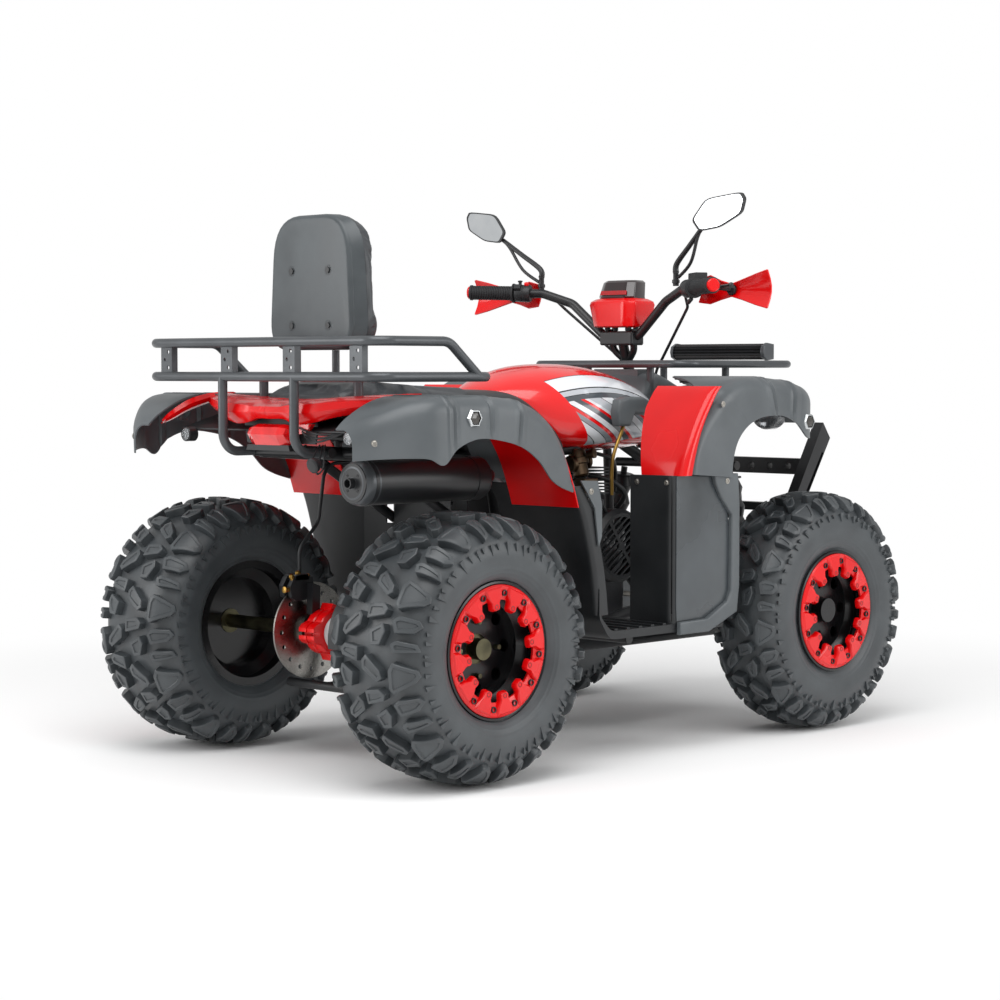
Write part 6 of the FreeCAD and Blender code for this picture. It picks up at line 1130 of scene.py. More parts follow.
class OBJECT_OT_quad_mirrors(QuadPieces, bpy.types.Operator):
    """Builds the mirrors: domed backs, glasses and forked stems"""
    bl_idname = "object.quad_mirrors"
    bl_label = "Mirrors"

    def execute(self, context):
        backs, glasses, stems = bmesh.new(), bmesh.new(), bmesh.new()
        for hand in (LEFT, RIGHT):
            middle = Vector((862, 398, 1201)) if hand == LEFT else Vector((862, 351, 1206))
            wide, tall = (68, 42) if hand == LEFT else (79, 43)

            def outline(share, deep):
                points = []
                count = len(MIRROR_OUTLINE)
                for index in range(count):
                    here = Vector(MIRROR_OUTLINE[index])
                    before = here.lerp(Vector(MIRROR_OUTLINE[index - 1]), 0.22)
                    after = here.lerp(Vector(MIRROR_OUTLINE[(index + 1) % count]), 0.22)
                    for step in range(4):
                        t = step / 3
                        out, up = before * (1 - t) ** 2 + here * 2 * t * (1 - t) + after * t * t
                        points.append(spot(middle.x + deep, (middle.y + out * wide * share) * hand,
                                           middle.z + up * tall * share))
                return points
            loft(backs, [outline(0.90, 1.5), outline(0.92, -1.5), outline(1.0, -1.0), outline(1.0, 5.0),
                         outline(0.93, 10.0), outline(0.74, 14.5), outline(0.40, 17.0)])
            glass = outline(0.915, -0.4)
            slab(glasses, glass, (-0.0008, 0, 0))
            root = spot(886, (228 if hand == LEFT else 205) * hand, 1040)
            knuckle = root + Vector((-0.001, 0.004 * hand, 0.052))
            turned(stems, root, (0, 0, 1),
                   [(7, 0), (7, 6), (9, 7), (9, 14), (6.5, 16), (6.5, 30), (8, 34), (1, 36)], 20)
            far = spot(874, (middle.y - wide * 0.72) * hand, middle.z - 34)
            pipe(stems, [root + Vector((0, 0, 0.030)), knuckle, knuckle.lerp(far, 0.5), far], 5,
                 radii=(7.5, 5.2))
            low = root + Vector((0, 0.008 * hand, 0.020))
            pipe(stems,
                 [low, low.lerp(far, 0.35) + Vector((0, 0.012 * hand, -0.006)), low.lerp(far, 0.8), far], 4)
        new_object("mirror_backs", backs, "black_plastic", "steering", ["mirrors"])
        new_object("mirror_glasses", glasses, "mirror_glass", "steering", smooth=False)
        new_object("mirror_stems", stems, "black_steel", "steering")
        return {"FINISHED"}


class OBJECT_OT_quad_controls(QuadPieces, bpy.types.Operator):
    """Builds the ribbed grips, switch pods, levers and their perches"""
    bl_idname = "object.quad_controls"
    bl_label = "Hand controls"

    def execute(self, context):
        grips, pods, levers, caps, buttons = (bmesh.new() for _ in range(5))
        for hand in (LEFT, RIGHT):
            knee = spot(886.6, 225 * hand, 1031.6)
            end = spot(798.6, 388 * hand, 1035.6)
            along = (end - knee).normalized()
            tip = end + along * 0.004
            forward = Vector((along.y * hand, -along.x * hand, 0)).normalized()
            profile = [(12, 0), (24, 0.5), (24, 4), (18, 5.5)]
            far = 7.0
            while far < 106:
                profile += [(17.6, far), (17.6, far + 2.2), (16.2, far + 2.7), (16.2, far + 3.9)]
                far += 4.4
            profile += [(17.8, 108), (19, 109), (19, 113.5), (16, 115), (12, 115)]
            turned(grips, tip - along * 0.118, along, profile, 32)
            turned(caps, tip - along * 0.004, along, [(12, -2), (15.5, 0), (15.5, 4), (13, 6.5), (1, 7)], 28)
            at = tip - along * 0.160
            turned(pods, at, along,
                   [(12, 0), (20, 0.5), (21.5, 3), (21.5, 17), (20.8, 18), (20.8, 19), (21.5, 20),
                    (21.5, 37), (20, 40), (12, 40)], 28)
            perch = at + along * 0.012 + forward * 0.020
            turned(pods, perch, forward, [(15, -6), (15, 8), (12, 13), (12, 26), (7, 28), (1, 28)], 20)
            pivot = perch + forward * 0.026
            pipe(levers,
                 [pivot - along * 0.006, pivot + along * 0.02, pivot + along * 0.060 + forward * 0.004,
                  pivot + along * 0.110 + forward * 0.002, pivot + along * 0.145 - forward * 0.004],
                 4,
                 radii=(6.5, 4.2))
            turned(levers, pivot + along * 0.145 - forward * 0.004, along,
                   [(4, -2), (6.5, 2), (6.5, 7), (3, 10), (1, 10.5)], 16)
            up = Vector((0, 0, 1))
            if hand == LEFT:
                turned(buttons, at + along * 0.010 + up * 0.020 - forward * 0.006, up - forward * 0.5,
                       [(6, -2), (6, 5), (5, 6.5), (1, 6.8)], 20)
                slab(pods, [at + along * s + up * z - forward * f for s, z, f in
                            ((0.022, 0.016, 0.012), (0.038, 0.016, 0.012), (0.038, 0.006, 0.021),
                             (0.022, 0.006, 0.021))],
                     up * 0.006 - forward * 0.006)
                turned(pods, at + along * 0.028 + up * 0.018, up,
                       [(4, 0), (4, 9), (6, 10), (6, 13), (1, 14)], 16)
            else:
                slab(pods, [at + along * s + forward * f + up * 0.014 for s, f in
                            ((-0.004, 0.004), (0.040, 0.004), (0.040, 0.034), (-0.004, 0.034))], up * 0.022,
                     2)
                turned(pods, at + along * 0.030 - up * 0.030 - forward * 0.006, along + up * 0.4,
                       [(5, -8), (5, 12), (3, 14), (1, 14)], 14)
        new_object("grips", grips, "grip_rubber", "steering", ["hand_controls"])
        new_object("grip_caps", caps, "red_plastic", "steering")
        new_object("switch_pods", pods, "black_plastic", "steering")
        new_object("brake_levers", levers, "black_steel", "steering")
        new_object("kill_switch", buttons, "red_plastic", "steering")
        return {"FINISHED"}


class OBJECT_OT_quad_dash(QuadPieces, bpy.types.Operator):
    """Builds the faceted dash cowl, its smoked screen and the bar clamps"""
    bl_idname = "object.quad_dash"
    bl_label = "Dash"

    def execute(self, context):
        low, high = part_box("dash_pod")

        def ring(ahead_back, ahead_front, half_back, half_front, level):
            """A six-cornered outline with rounded corners at one height."""
            corners = [(ahead_back, -half_back * 0.62), (ahead_back + 12, -half_back),
                       (ahead_front, -half_front),
                       (ahead_front, half_front), (ahead_back + 12, half_back),
                       (ahead_back, half_back * 0.62)]
            points = []
            for index, (ahead, side) in enumerate(corners):
                here = Vector((ahead, side))
                before = here.lerp(Vector(corners[index - 1]), 0.10)
                after = here.lerp(Vector(corners[(index + 1) % 6]), 0.10)
                for step in range(4):
                    t = step / 3
                    point = before * (1 - t) ** 2 + here * 2 * t * (1 - t) + after * t * t
                    points.append(Vector((point.x * MM, point.y * MM, level * MM)))
            return points
        back, front = low.x / MM, high.x / MM
        cowl = bmesh.new()
        loft(cowl, [ring(back + 12, front - 12, 58, 54, 946), ring(back + 6, front - 8, 64, 60, 949),
                    ring(back + 1, front - 2, 74, 70, 1000), ring(back + 3, front - 4, 72, 67, 1008),
                    ring(back + 12, front - 14, 64, 58, 1014), ring(back + 18, front - 22, 58, 50, 1016)])
        new_object("dash_cowl", cowl, "red_plastic", "steering", ["dash_pod"])
        hood = bmesh.new()
        loft(hood, [ring(back + 20, front - 18, 55, 52, 1012), ring(back + 17, front - 20, 57, 52, 1020),
                    ring(back + 28, front - 14, 52, 48, 1054), ring(back + 34, front - 16, 47, 42, 1059)])
        new_object("dash_hood", hood, "smoked_screen", "steering")
        brow = bmesh.new()
        slab(brow, [Vector(((back + ahead) * MM, side * MM, z * MM)) for ahead, side, z in
                    ((17.5, -42, 1024), (17.5, 42, 1024), (20.5, 40, 1034), (20.5, -40, 1034))],
             (-0.0015, 0, 0))
        new_object("dash_lamps", brow, "red_lens", "steering", smooth=False)
        clamps = bmesh.new()
        for side in (-34, 34):
            turned(clamps, spot(926.6, side - 9, 924), (0, 1, 0),
                   [(11, 0), (19, 0.5), (19, 17.5), (11, 18)], 24)
            for ahead in (-13, 13):
                turned(clamps, spot(926.6 + ahead, side, 906), (0, 0, 1),
                       [(5, 0), (5, 34), (7, 34.5), (7, 41), (1, 42)], 6)
            pipe(clamps, [spot(930, side, 912), spot(936, side * 0.9, 892), spot(944, side * 0.35, 872)], 8,
                 radii=(9, 8))
        turned(clamps, spot(926.6, -20, 938), (0, 0, 1), [(7, 0), (7, 22), (1, 22)], 12)
        turned(clamps, spot(926.6, 20, 938), (0, 0, 1), [(7, 0), (7, 22), (1, 22)], 12)
        new_object("bar_clamps", clamps, "black_steel", "steering")
        return {"FINISHED"}


class OBJECT_OT_quad_muffler(QuadPieces, bpy.types.Operator):
    """Dresses the muffler: the pressed ring on its end, the ring's four bolts and two bands"""
    bl_idname = "object.quad_muffler"
    bl_label = "Muffler end"

    def execute(self, context):
        end = bmesh.new()
        at = spot(-185, -280, 617)
        turned(end, at, (-1, 0, 0),
               [(46.6, -22), (46.6, -2), (45, 6), (40, 13), (33, 16.5), (30, 16.5), (28, 13), (12, 13),
                (12, 16.5), (1, 16.5)], 56)
        new_object("muffler_ring", end, "grey_steel", "chassis")
        bands = bmesh.new()
        for far in (8, 300):
            turned(bands, at, (1, 0, 0), [(44, far), (47.4, far + 0.4), (47.4, far + 9), (44, far + 9.4)],
                   56, True)
        new_object("muffler_bands", bands, "black_steel", "chassis")
        places = []
        for index in range(4):
            turn = math.tau * (index + 0.5) / 4
            places.append((at + Vector((-0.0135, 0.0215 * math.cos(turn), 0.0215 * math.sin(turn))),
                           (-1, 0, 0)))
        screw_heads("muffler_bolts", places, 3.6, "black_steel", "chassis", 3.5)
        return {"FINISHED"}


class OBJECT_OT_quad_tail(QuadPieces, bpy.types.Operator):
    """Builds the sculpted red tail, its faceted lamp, the reflectors, the plate lamp and the wires"""
    bl_idname = "object.quad_tail"
    bl_label = "Tail"

    def execute(self, context):
        # Side, rear edge, brow height, height of the keel line and height of the lower edge.
        stations = [(0.5, -196, 768, 757, 742), (44, -196, 768, 757, 742), (70, -197, 771, 756, 734),
                    (104, -196, 773, 755, 731), (140, -190, 775, 757, 737), (176, -178, 778, 762, 746),
                    (230, -150, 781, 768, 756), (288, -112, 784, 774, 766)]
        rows = []
        for side, back, high, keel, low in smooth_table(stations, 5):
            rows.append([spot(-20, side, 787), spot(back + 48, side, high + 11),
                         spot(back + 14, side, high + 3),
                         spot(back + 4, side, high), spot(back, side, keel),
                         spot(back + 5, side, (keel + low) / 2),
                         spot(back + 16, side, low), spot(back + 40, side, low + 3)])
        shape = bmesh.new()
        grid_skin(shape, rows, 3.0)
        both_sides(shape)
        wing = bmesh.new()
        rows = []
        for ahead, side, low, tall in smooth_table([(-229, 300, 731, 3), (-206, 297, 738, 17),
                                                    (-160, 296, 757, 22),
                                                    (-100, 296, 775, 17), (-34, 298, 791, 2)], 5):
            rows.append([spot(ahead + 2, side + 8, low), spot(ahead, side + 1, low + tall * 0.2),
                         spot(ahead, side - 1, low + tall * 0.55), spot(ahead + 4, side + 5, low + tall)])
        grid_skin(wing, rows, 3.0)
        both_sides(wing)
        new_object("tail_skin", shape, "red_plastic", "chassis", ["tail_panel"])
        new_object("tail_wings", wing, "red_plastic", "chassis")
        tray = bmesh.new()
        slab(tray, [spot(-176, -300, 716), spot(-176, 300, 716), spot(-20, 300, 760), spot(-20, -300, 760)],
             (0, 0, 0.003))
        slab(tray, [spot(-150, -110, 690), spot(-150, 110, 690), spot(-150, 120, 742), spot(-150, -120, 742)],
             (0.004, 0, 0))
        new_object("tail_tray", tray, "black_plastic", "chassis", smooth=False)
        lining = bmesh.new()
        rows = []
        for ahead, high in smooth_table([(20, 778), (48, 777), (112, 766), (166, 744), (212, 708),
                                         (248, 657), (272, 602),
                                         (288, 556)], 3):
            rows.append([spot(ahead - 9, 262 + (456 - 262) * step / 8, high) for step in range(9)])
        grid_skin(lining, rows, 2.5)
        both_sides(lining)
        new_object("fender_linings", lining, "red_plastic", "chassis")
        lamp = bmesh.new()
        rings = []
        for side, back, low, high in ((-66, 22, 694, 724), (-58, 6, 686, 729), (-40, 0, 682, 731),
                                      (40, 0, 682, 731),
                                      (58, 6, 686, 729), (66, 22, 694, 724)):
            rings.append([spot(-176 + back, side, high), spot(-192 + back, side, high - 6),
                          spot(-199 + back, side, (high + low) / 2 + 3), spot(-184 + back, side, low + 2),
                          spot(-160, side, low + 4), spot(-160, side, high)])
        loft(lamp, rings)
        slab(lamp, [spot(-186, -122, 716), spot(-186, -96, 711), spot(-186, -96, 731), spot(-186, -140, 733)],
             (0.012, 0, 0), 2)
        new_object("tail_lamp_lens", lamp, "tail_red", "chassis", ["tail_lamps"], smooth=False)
        rim = bmesh.new()
        slab(rim, [spot(-186, -70, 676), spot(-186, 70, 676), spot(-186, 66, 688), spot(-186, -66, 688)],
             (0.026, 0, 0), 2)
        new_object("tail_lamp_base", rim, "black_plastic", "chassis")
        rounds = bmesh.new()
        chrome = bmesh.new()
        for hand in (LEFT, RIGHT):
            turned(rounds, spot(-196, 262 * hand, 706), (-1, 0, 0), [(13, -6), (13, 1), (11, 3), (1, 3.5)],
                   28)
            turned(chrome, spot(-196, 262 * hand, 706), (-1, 0, 0),
                   [(16, -22), (16, 0), (14, 2), (13, 0.5), (12, -8)], 28)
        new_object("reflectors", rounds, "clear_lens", "chassis")
        plate = spot(-238, -205, 652)
        turned(chrome, plate, (-0.9, 0, -0.3), [(9, -14), (15, -4), (16, 4), (13, 7), (1, 8)], 20)
        new_object("reflector_rims", chrome, "black_steel", "chassis")
        wires = bmesh.new()
        for shift in (0, 9, -7):
            pipe(wires,
                 [spot(-160, -90 + shift, 738), spot(-186, -112 + shift, 716 + shift),
                  spot(-188, -160, 704 + shift),
                  spot(-170, -205 + shift, 714), spot(-150, -230, 728)], 2.4, 8, 4)
            pipe(wires, [spot(-165, -150 + shift, 690), spot(-196, -172 + shift * 2, 652 + shift),
                         spot(-214, -188, 640 + shift), spot(-228, -204, 650)], 1.8, 8, 4)
        new_object("tail_wires", wires, "black_plastic", "chassis")
        return {"FINISHED"}


class OBJECT_OT_quad_side_lamps(QuadPieces, bpy.types.Operator):
    """Builds the four six-sided lamps in bright bezels on the fenders"""
    bl_idname = "object.quad_side_lamps"
    bl_label = "Side lamps"

    def execute(self, context):
        bezels, lenses = bmesh.new(), bmesh.new()
        for hand in (LEFT, RIGHT):
            for ahead, side, high in ((-46, 468, 748), (1062, 458, 724)):
                at, out = spot(ahead, side * hand, high), (0, hand, 0)
                turned(bezels, at, out, [(20, -8), (20, 3), (17.5, 8), (15.5, 8), (15, 5), (14, -4)], 6)
                turned(lenses, at, out, [(14.6, -3), (14.6, 5.4), (11, 8.5), (1, 9)], 6)
        new_object("side_lamp_bezels", bezels, "chrome", "chassis", ["turn_lamps"], smooth=False)
        new_object("side_lamp_lenses", lenses, "amber_lens", "chassis", smooth=False)
        return {"FINISHED"}


class OBJECT_OT_quad_carrier(QuadPieces, bpy.types.Operator):
    """Builds the split red bearing carrier, its pale sleeve and the black brake caliper"""
    bl_idname = "object.quad_carrier"
    bl_label = "Axle carrier"

    def execute(self, context):
        red, pale, dark, brass = (bmesh.new() for _ in range(4))
        for side, long in ((-4, 24), (22, 24)):
            turned(red, spot(0, side, 279.5), (0, 1, 0),
                   [(31, 0), (47, 0.5), (49, 3), (49, long - 3), (47, long - 0.5),
                    (31, long)], 48, True)
            for rise in (1, -1):
                slab(red, [spot(-64, side, 279.5 + rise * 4), spot(-40, side, 279.5 + rise * 4),
                           spot(-40, side, 279.5 + rise * 26), spot(-56, side, 279.5 + rise * 20),
                           spot(-64, side, 279.5 + rise * 12)], (0, long * MM, 0), 1.5)
        for rise in (1, -1):
            slab(red,
                 [spot(-10, 4, 279.5 + rise * 46), spot(38, 4, 279.5 + rise * 26),
                  spot(44, 4, 279.5 + rise * 44),
                  spot(-2, 4, 279.5 + rise * 62)], (0, 0.036, 0), 2)
        turned(pale, spot(0, -88, 279.5), (0, 1, 0),
               [(24, 0), (36, 0.5), (38, 3), (38, 80), (36, 83), (24, 84)], 48, True)
        body = [(-72, 356), (-58, 346), (-20, 350), (-8, 366), (-12, 396), (-34, 404), (-64, 400), (-76, 380)]
        slab(dark, [spot(ahead, 58, high) for ahead, high in body], (0, 0.012, 0), 2)
        slab(dark, [spot(ahead, 82, high) for ahead, high in body], (0, 0.016, 0), 3)
        slab(dark,
             [spot(ahead, 58, high) for ahead, high in ((-62, 392), (-22, 392), (-26, 404), (-58, 404))],
             (0, 0.040, 0), 1.5)
        turned(dark, spot(-42, 97, 374), (0, 1, 0), [(16, 0), (16, 4), (13, 6), (0.5, 6)], 28)
        slab(dark, [spot(-30, 40, 318), spot(-8, 40, 322), spot(-6, 40, 378), spot(-28, 40, 386)],
             (0, 0.020, 0), 2)
        for ahead, side, high in ((-66, 64, 398), (-20, 64, 396), (-40, 74, 403)):
            turned(brass, spot(ahead, side, high), (-0.5, 0, 0.85), [(6, -4), (6, 5), (4, 8), (0.5, 9)], 12)
        turned(brass, spot(-76, 66, 372), (-1, 0, 0.1), [(5, -6), (5, 6), (7, 7), (7, 11), (0.5, 12)], 12)
        new_object("carrier_clamps", red, "red_paint", "chassis", ["axle_carrier"])
        new_object("carrier_sleeve", pale, "pale_paint", "chassis")
        new_object("brake_caliper", dark, "black_aluminium", "chassis")
        new_object("caliper_unions", brass, "lever_brass", "chassis")
        return {"FINISHED"}


class OBJECT_OT_quad_guards(QuadPieces, bpy.types.Operator):
    """Builds the folded red hand guards with their stays"""
    bl_idname = "object.quad_guards"
    bl_label = "Hand guards"

    def execute(self, context):
        shape, stays = bmesh.new(), bmesh.new()
        # Side, ahead of the edges, ahead of the crease, height of the crease, and reach up and down from it.
        folds = [(258, 908, 918, 1030, 26, 30), (292, 908, 921, 1030, 34, 34), (322, 910, 922, 1029, 22, 24),
                 (352, 911, 922, 1028, 15, 16), (384, 909, 921, 1028, 24, 24), (430, 902, 918, 1028, 36, 37),
                 (466, 896, 912, 1028, 44, 45), (470, 896, 910, 1028, 43, 44)]
        for hand in (LEFT, RIGHT):
            part = bmesh.new()
            rows = []
            for side, edge, crease, middle, rise, drop in folds:
                rows.append([spot(edge, side * hand, middle + rise),
                             spot((edge + crease * 2) / 3, side * hand, middle + rise * 0.55),
                             spot(crease, side * hand, middle + rise * 0.18),
                             spot(crease, side * hand, middle - drop * 0.18),
                             spot((edge + crease * 2) / 3, side * hand, middle - drop * 0.55),
                             spot(edge, side * hand, middle - drop)])
            grid_skin(part, rows, 3.2)
            mesh = bpy.data.meshes.new("guard")
            part.to_mesh(mesh)
            part.free()
            shape.from_mesh(mesh)
            bpy.data.meshes.remove(mesh)
            turned(stays, spot(912, 352 * hand, 1029), (-1, 0, 0),
                   [(13, -1), (13, 3), (9, 5), (9, 8), (0.5, 8.5)], 24)
            pipe(stays,
                 [spot(904, 352 * hand, 1029), spot(880, 340 * hand, 1032), spot(856, 312 * hand, 1033)], 5)
        new_object("guard_blades", shape, "red_plastic", "steering", ["hand_guards"])
        new_object("guard_stays", stays, "black_plastic", "steering")
        return {"FINISHED"}


class OBJECT_OT_quad_light_bar(QuadPieces, bpy.types.Operator):
    """Builds the finned light bar, its end caps and its glass"""
    bl_idname = "object.quad_light_bar"
    bl_label = "Light bar"

    def execute(self, context):
        low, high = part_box("light_bar")
        middle = (low + high) / 2
        back, front = low.x / MM, high.x / MM
        foot, top = low.z / MM, high.z / MM
        half = high.y / MM
        body, caps, glass = bmesh.new(), bmesh.new(), bmesh.new()
        outline = [(front - 3, foot + 4), (front - 3, top - 4)]
        for step in range(9):
            turn = math.pi / 2 + math.pi * step / 8
            for deep in (0.0, 4.0):
                shift = 0.0 if deep == 0.0 else math.pi / 16
                across, up = math.cos(turn + shift), math.sin(turn + shift)
                if step < 8 or deep == 0.0:
                    outline.append((back + 18 + (17 - deep) * across, middle.z / MM + (20 - deep) * up))
        rings = [[Vector((ahead * MM, side * MM, up * MM)) for ahead, up in outline] for side in (10 - half,
                                                                                                  half - 10)]
        loft(body, rings)
        for hand in (LEFT, RIGHT):
            rim = [(front - 1, foot + 3), (front - 1, top - 3), (back + 20, top), (back + 4, top - 8),
                   (back, middle.z / MM),
                   (back + 4, foot + 8), (back + 20, foot)]
            slab(caps, [Vector((ahead * MM, (half - 11) * hand * MM, up * MM)) for ahead, up in rim],
                 (0, 0.010 * hand, 0), 3)
        slab(glass, [Vector((high.x - 0.004, side * MM, up * MM)) for side, up in
                     ((12 - half, foot + 5), (half - 12, foot + 5), (half - 12, top - 5),
                      (12 - half, top - 5))],
             (0.003, 0, 0), 1)
        new_object("light_bar_fins", body, "black_aluminium", "chassis", ["light_bar"], smooth=False)
        new_object("light_bar_caps", caps, "grey_steel", "chassis")
        new_object("light_bar_glass", glass, "clear_lens", "chassis", smooth=False)
        return {"FINISHED"}


class OBJECT_OT_quad_engine(QuadPieces, bpy.types.Operator):
    """Adds the carburettor, its hoses and the cylinder's fins"""
    bl_idname = "object.quad_engine"
    bl_label = "Engine dressing"

    def execute(self, context):
        body = bmesh.new()
        at = spot(650, -112, 640)
        turned(body, at, (0, -0.3, -1),
               [(17, -26), (20, -24), (20, 0), (24, 2), (24, 14), (18, 16), (18, 40), (14, 44), (1, 45)], 24)
        turned(body, at + Vector((-0.03, 0, -0.012)), (1, 0, 0.1),
               [(16, 0), (19, 2), (19, 12), (14, 14), (14, 50), (19, 52), (19, 60), (15, 62)], 24)
        turned(body, at + Vector((0.01, -0.02, 0.01)), (0.3, -1, 0.2),
               [(9, 0), (9, 12), (12, 13), (12, 19), (6, 21), (1, 21)], 18)
        slab(body,
             [at + Vector((x, -0.012, z))
              for x, z in ((-0.024, -0.045), (0.022, -0.045), (0.026, -0.074), (-0.02, -0.078))],
             (0, -0.032, 0), 3)
        new_object("carburettor", body, "cast_bronze", "chassis")
        hoses = bmesh.new()
        for points, radius in (([spot(610, -96, 628), spot(560, -88, 634), spot(520, -70, 646)], 17),
                               ([spot(655, -128, 600), spot(668, -150, 560), spot(700, -150, 520),
                                 spot(716, -140, 500)], 4),
                               ([spot(640, -130, 664), spot(600, -150, 668), spot(560, -120, 660)], 3.5),
                               ([spot(668, -132, 655), spot(720, -150, 640), spot(770, -120, 610),
                                 spot(790, -100, 560)], 4.5),
                               ([spot(700, -96, 600), spot(730, -140, 588), spot(770, -150, 556),
                                 spot(775, -120, 520)], 6)):
            pipe(hoses, points, radius, 14)
        new_object("engine_hoses", hoses, "black_plastic", "chassis")
        fins = bmesh.new()
        for index in range(9):
            high = 552 + index * 7.5
            outline = [(716, -66), (716, 66), (808, 66), (808, -66)]
            slab(fins, [spot(ahead, side, high) for ahead, side in outline], (0, 0, 0.0028))
        new_object("cylinder_fins", fins, "engine_metal", "chassis", smooth=False)
        return {"FINISHED"}


def floor_material():
    """Paper sweep: white, with a soft fall-off to plain white far from the wheels."""
    material, tree = new_material("white paper sweep")
    coordinates = add_node(tree, "ShaderNodeTexCoord")
    distance = add_node(tree, "ShaderNodeVectorMath", {"operation": "LENGTH"},
                        {0: coordinates.outputs["Object"]})
    fade = add_node(tree, "ShaderNodeMapRange",
                    {1: 1.2, 2: 2.6, 3: 0.0, 4: 1.0, "interpolation_type": "SMOOTHSTEP"},
                    {0: distance.outputs["Value"]})
    paper = add_node(tree, "ShaderNodeBsdfDiffuse", {"Color": colour("#fbfbfb")})
    path = add_node(tree, "ShaderNodeLightPath")
    white = add_node(tree, "ShaderNodeEmission", {"Color": (1, 1, 1, 1), "Strength": 1.0})
    seen = add_node(tree, "ShaderNodeMath", {"operation": "MAXIMUM"},
                    {0: path.outputs["Is Camera Ray"], 1: path.outputs["Is Glossy Ray"]})
    share = add_node(tree, "ShaderNodeMath", {"operation": "MULTIPLY"},
                     {0: fade.outputs[0], 1: seen.outputs[0]})
    mixed = add_node(tree, "ShaderNodeMixShader", links={0: share.outputs[0], 1: paper.outputs[0],
                                                         2: white.outputs[0]})
    finish_material(tree, mixed)
    return material


def area_light(name, where, target, size, power):
    lamp = bpy.data.lights.new(name, "AREA")
    lamp.shape = "RECTANGLE"
    lamp.size, lamp.size_y = size
    lamp.energy = power
    made = bpy.data.objects.new(name, lamp)
    bpy.context.scene.collection.objects.link(made)
    made.location = where
    made.rotation_euler = (Vector(target) - Vector(where)).to_track_quat("-Z", "Y").to_euler()
    return made


class OBJECT_OT_quad_stage(QuadPieces, bpy.types.Operator):
    """Sets the floor, the lights and the camera"""
    bl_idname = "object.quad_stage"
    bl_label = "Stage"

    def execute(self, context):
        scene = context.scene
        settings = scene.quad_stage
        scene.view_settings.view_transform = "Standard"
        mesh = bpy.data.meshes.new("floor")
        shape = bmesh.new()
        bmesh.ops.create_circle(shape, cap_ends=True, segments=96, radius=14)
        shape.to_mesh(mesh)
        shape.free()
        floor = bpy.data.objects.new("floor", mesh)
        scene.collection.objects.link(floor)
        mesh.materials.append(floor_material())
        world = bpy.data.worlds.new("studio")
        scene.world = world
        world.use_nodes = True
        tree = world.node_tree
        tree.nodes.clear()
        path = add_node(tree, "ShaderNodeLightPath")
        seen = add_node(tree, "ShaderNodeMath", {"operation": "MAXIMUM"},
                        {0: path.outputs["Is Camera Ray"], 1: path.outputs["Is Transmission Ray"]})
        soft = add_node(tree, "ShaderNodeBackground", {"Color": (1, 1, 1, 1), "Strength": 0.62})
        white = add_node(tree, "ShaderNodeBackground", {"Color": (1, 1, 1, 1), "Strength": 1.0})
        mixed = add_node(tree, "ShaderNodeMixShader", links={0: seen.outputs[0], 1: soft.outputs[0],
                                                             2: white.outputs[0]})
        add_node(tree, "ShaderNodeOutputWorld", links={"Surface": mixed.outputs[0]})
        area_light("key", (-1.6, -1.2, 3.6), (0, 0, 0.4), (3.0, 3.0), settings.key_power)
        area_light("side", (1.6, -3.6, 1.8), (0.2, 0, 0.5), (1.6, 2.4), settings.fill_power)
        area_light("back", (-3.6, 2.2, 1.6), (-0.3, 0, 0.6), (1.4, 2.2), settings.fill_power)
        camera_data = bpy.data.cameras.new("camera")
        camera = bpy.data.objects.new("camera", camera_data)
        scene.collection.objects.link(camera)
        camera_data.sensor_width = 36
        camera_data.sensor_fit = "HORIZONTAL"
        camera_data.lens = settings.focal_mm
        camera.location = (-4.0351, -3.8570, 0.8451)
        camera.rotation_euler = Vector((0.71286, 0.69920, -0.05432)).to_track_quat("-Z", "Y").to_euler()
        camera_data.clip_end = 60
        scene.camera = camera
        return {"FINISHED"}


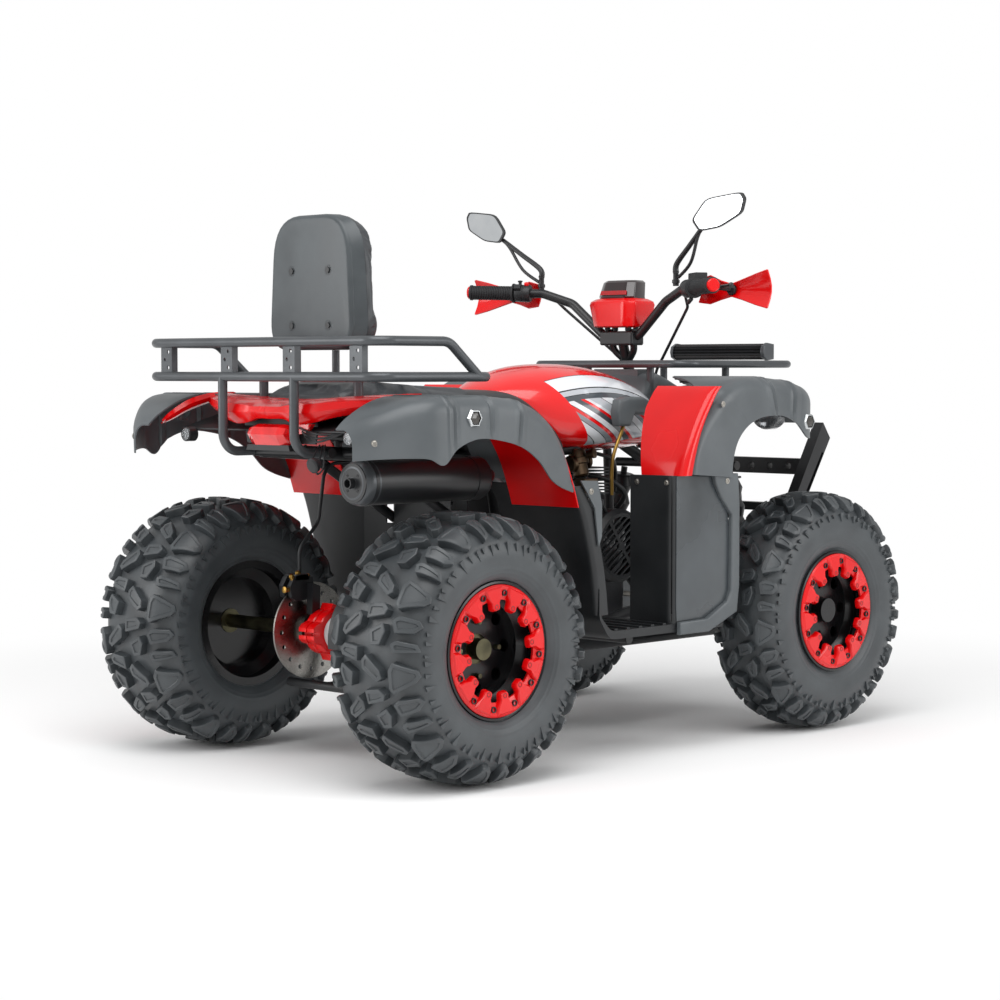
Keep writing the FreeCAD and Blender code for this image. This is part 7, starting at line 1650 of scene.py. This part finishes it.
OPERATORS = [OBJECT_OT_quad_finishes, OBJECT_OT_quad_tyres, OBJECT_OT_quad_backrest,
             OBJECT_OT_quad_seat, OBJECT_OT_quad_rear_fender, OBJECT_OT_quad_front_fender,
             OBJECT_OT_quad_leg_shields, OBJECT_OT_quad_screws, OBJECT_OT_quad_tank, OBJECT_OT_quad_mirrors,
             OBJECT_OT_quad_controls, OBJECT_OT_quad_dash, OBJECT_OT_quad_muffler, OBJECT_OT_quad_tail,
             OBJECT_OT_quad_side_lamps, OBJECT_OT_quad_carrier, OBJECT_OT_quad_guards,
             OBJECT_OT_quad_light_bar,
             OBJECT_OT_quad_engine, OBJECT_OT_quad_stage]


class VIEW3D_PT_quad(bpy.types.Panel):
    """Lists the pieces of the quad bike"""
    bl_label = "Quad bike"
    bl_space_type = "VIEW_3D"
    bl_region_type = "UI"
    bl_category = "Quad bike"

    def draw(self, context):
        for operator in OPERATORS:
            self.layout.operator(operator.bl_idname)
        for group in (context.scene.quad_colours, context.scene.quad_stage):
            for name in group.__annotations__:
                self.layout.prop(group, name)


GROUPS = {"quad_colours": QuadColours, "quad_stage": QuadStage}


def register():
    for group in GROUPS.values():
        bpy.utils.register_class(group)
    for name, group in GROUPS.items():
        setattr(bpy.types.Scene, name, bpy.props.PointerProperty(type=group))
    for operator in OPERATORS:
        bpy.utils.register_class(operator)
    bpy.utils.register_class(VIEW3D_PT_quad)


def unregister():
    bpy.utils.unregister_class(VIEW3D_PT_quad)
    for operator in reversed(OPERATORS):
        bpy.utils.unregister_class(operator)
    for name, group in GROUPS.items():
        delattr(bpy.types.Scene, name)
        bpy.utils.unregister_class(group)


def main():
    register()
    bpy.ops.object.quad_finishes()
    bpy.ops.object.quad_tyres()
    bpy.ops.object.quad_backrest()
    bpy.ops.object.quad_seat()
    bpy.ops.object.quad_rear_fender()
    bpy.ops.object.quad_front_fender()
    bpy.ops.object.quad_leg_shields()
    bpy.ops.object.quad_screws()
    bpy.ops.object.quad_tank()
    bpy.ops.object.quad_mirrors()
    bpy.ops.object.quad_controls()
    bpy.ops.object.quad_dash()
    bpy.ops.object.quad_muffler()
    bpy.ops.object.quad_tail()
    bpy.ops.object.quad_side_lamps()
    bpy.ops.object.quad_carrier()
    bpy.ops.object.quad_guards()
    bpy.ops.object.quad_light_bar()
    bpy.ops.object.quad_engine()
    bpy.ops.object.quad_stage()


if __name__ == "__main__":
    main()
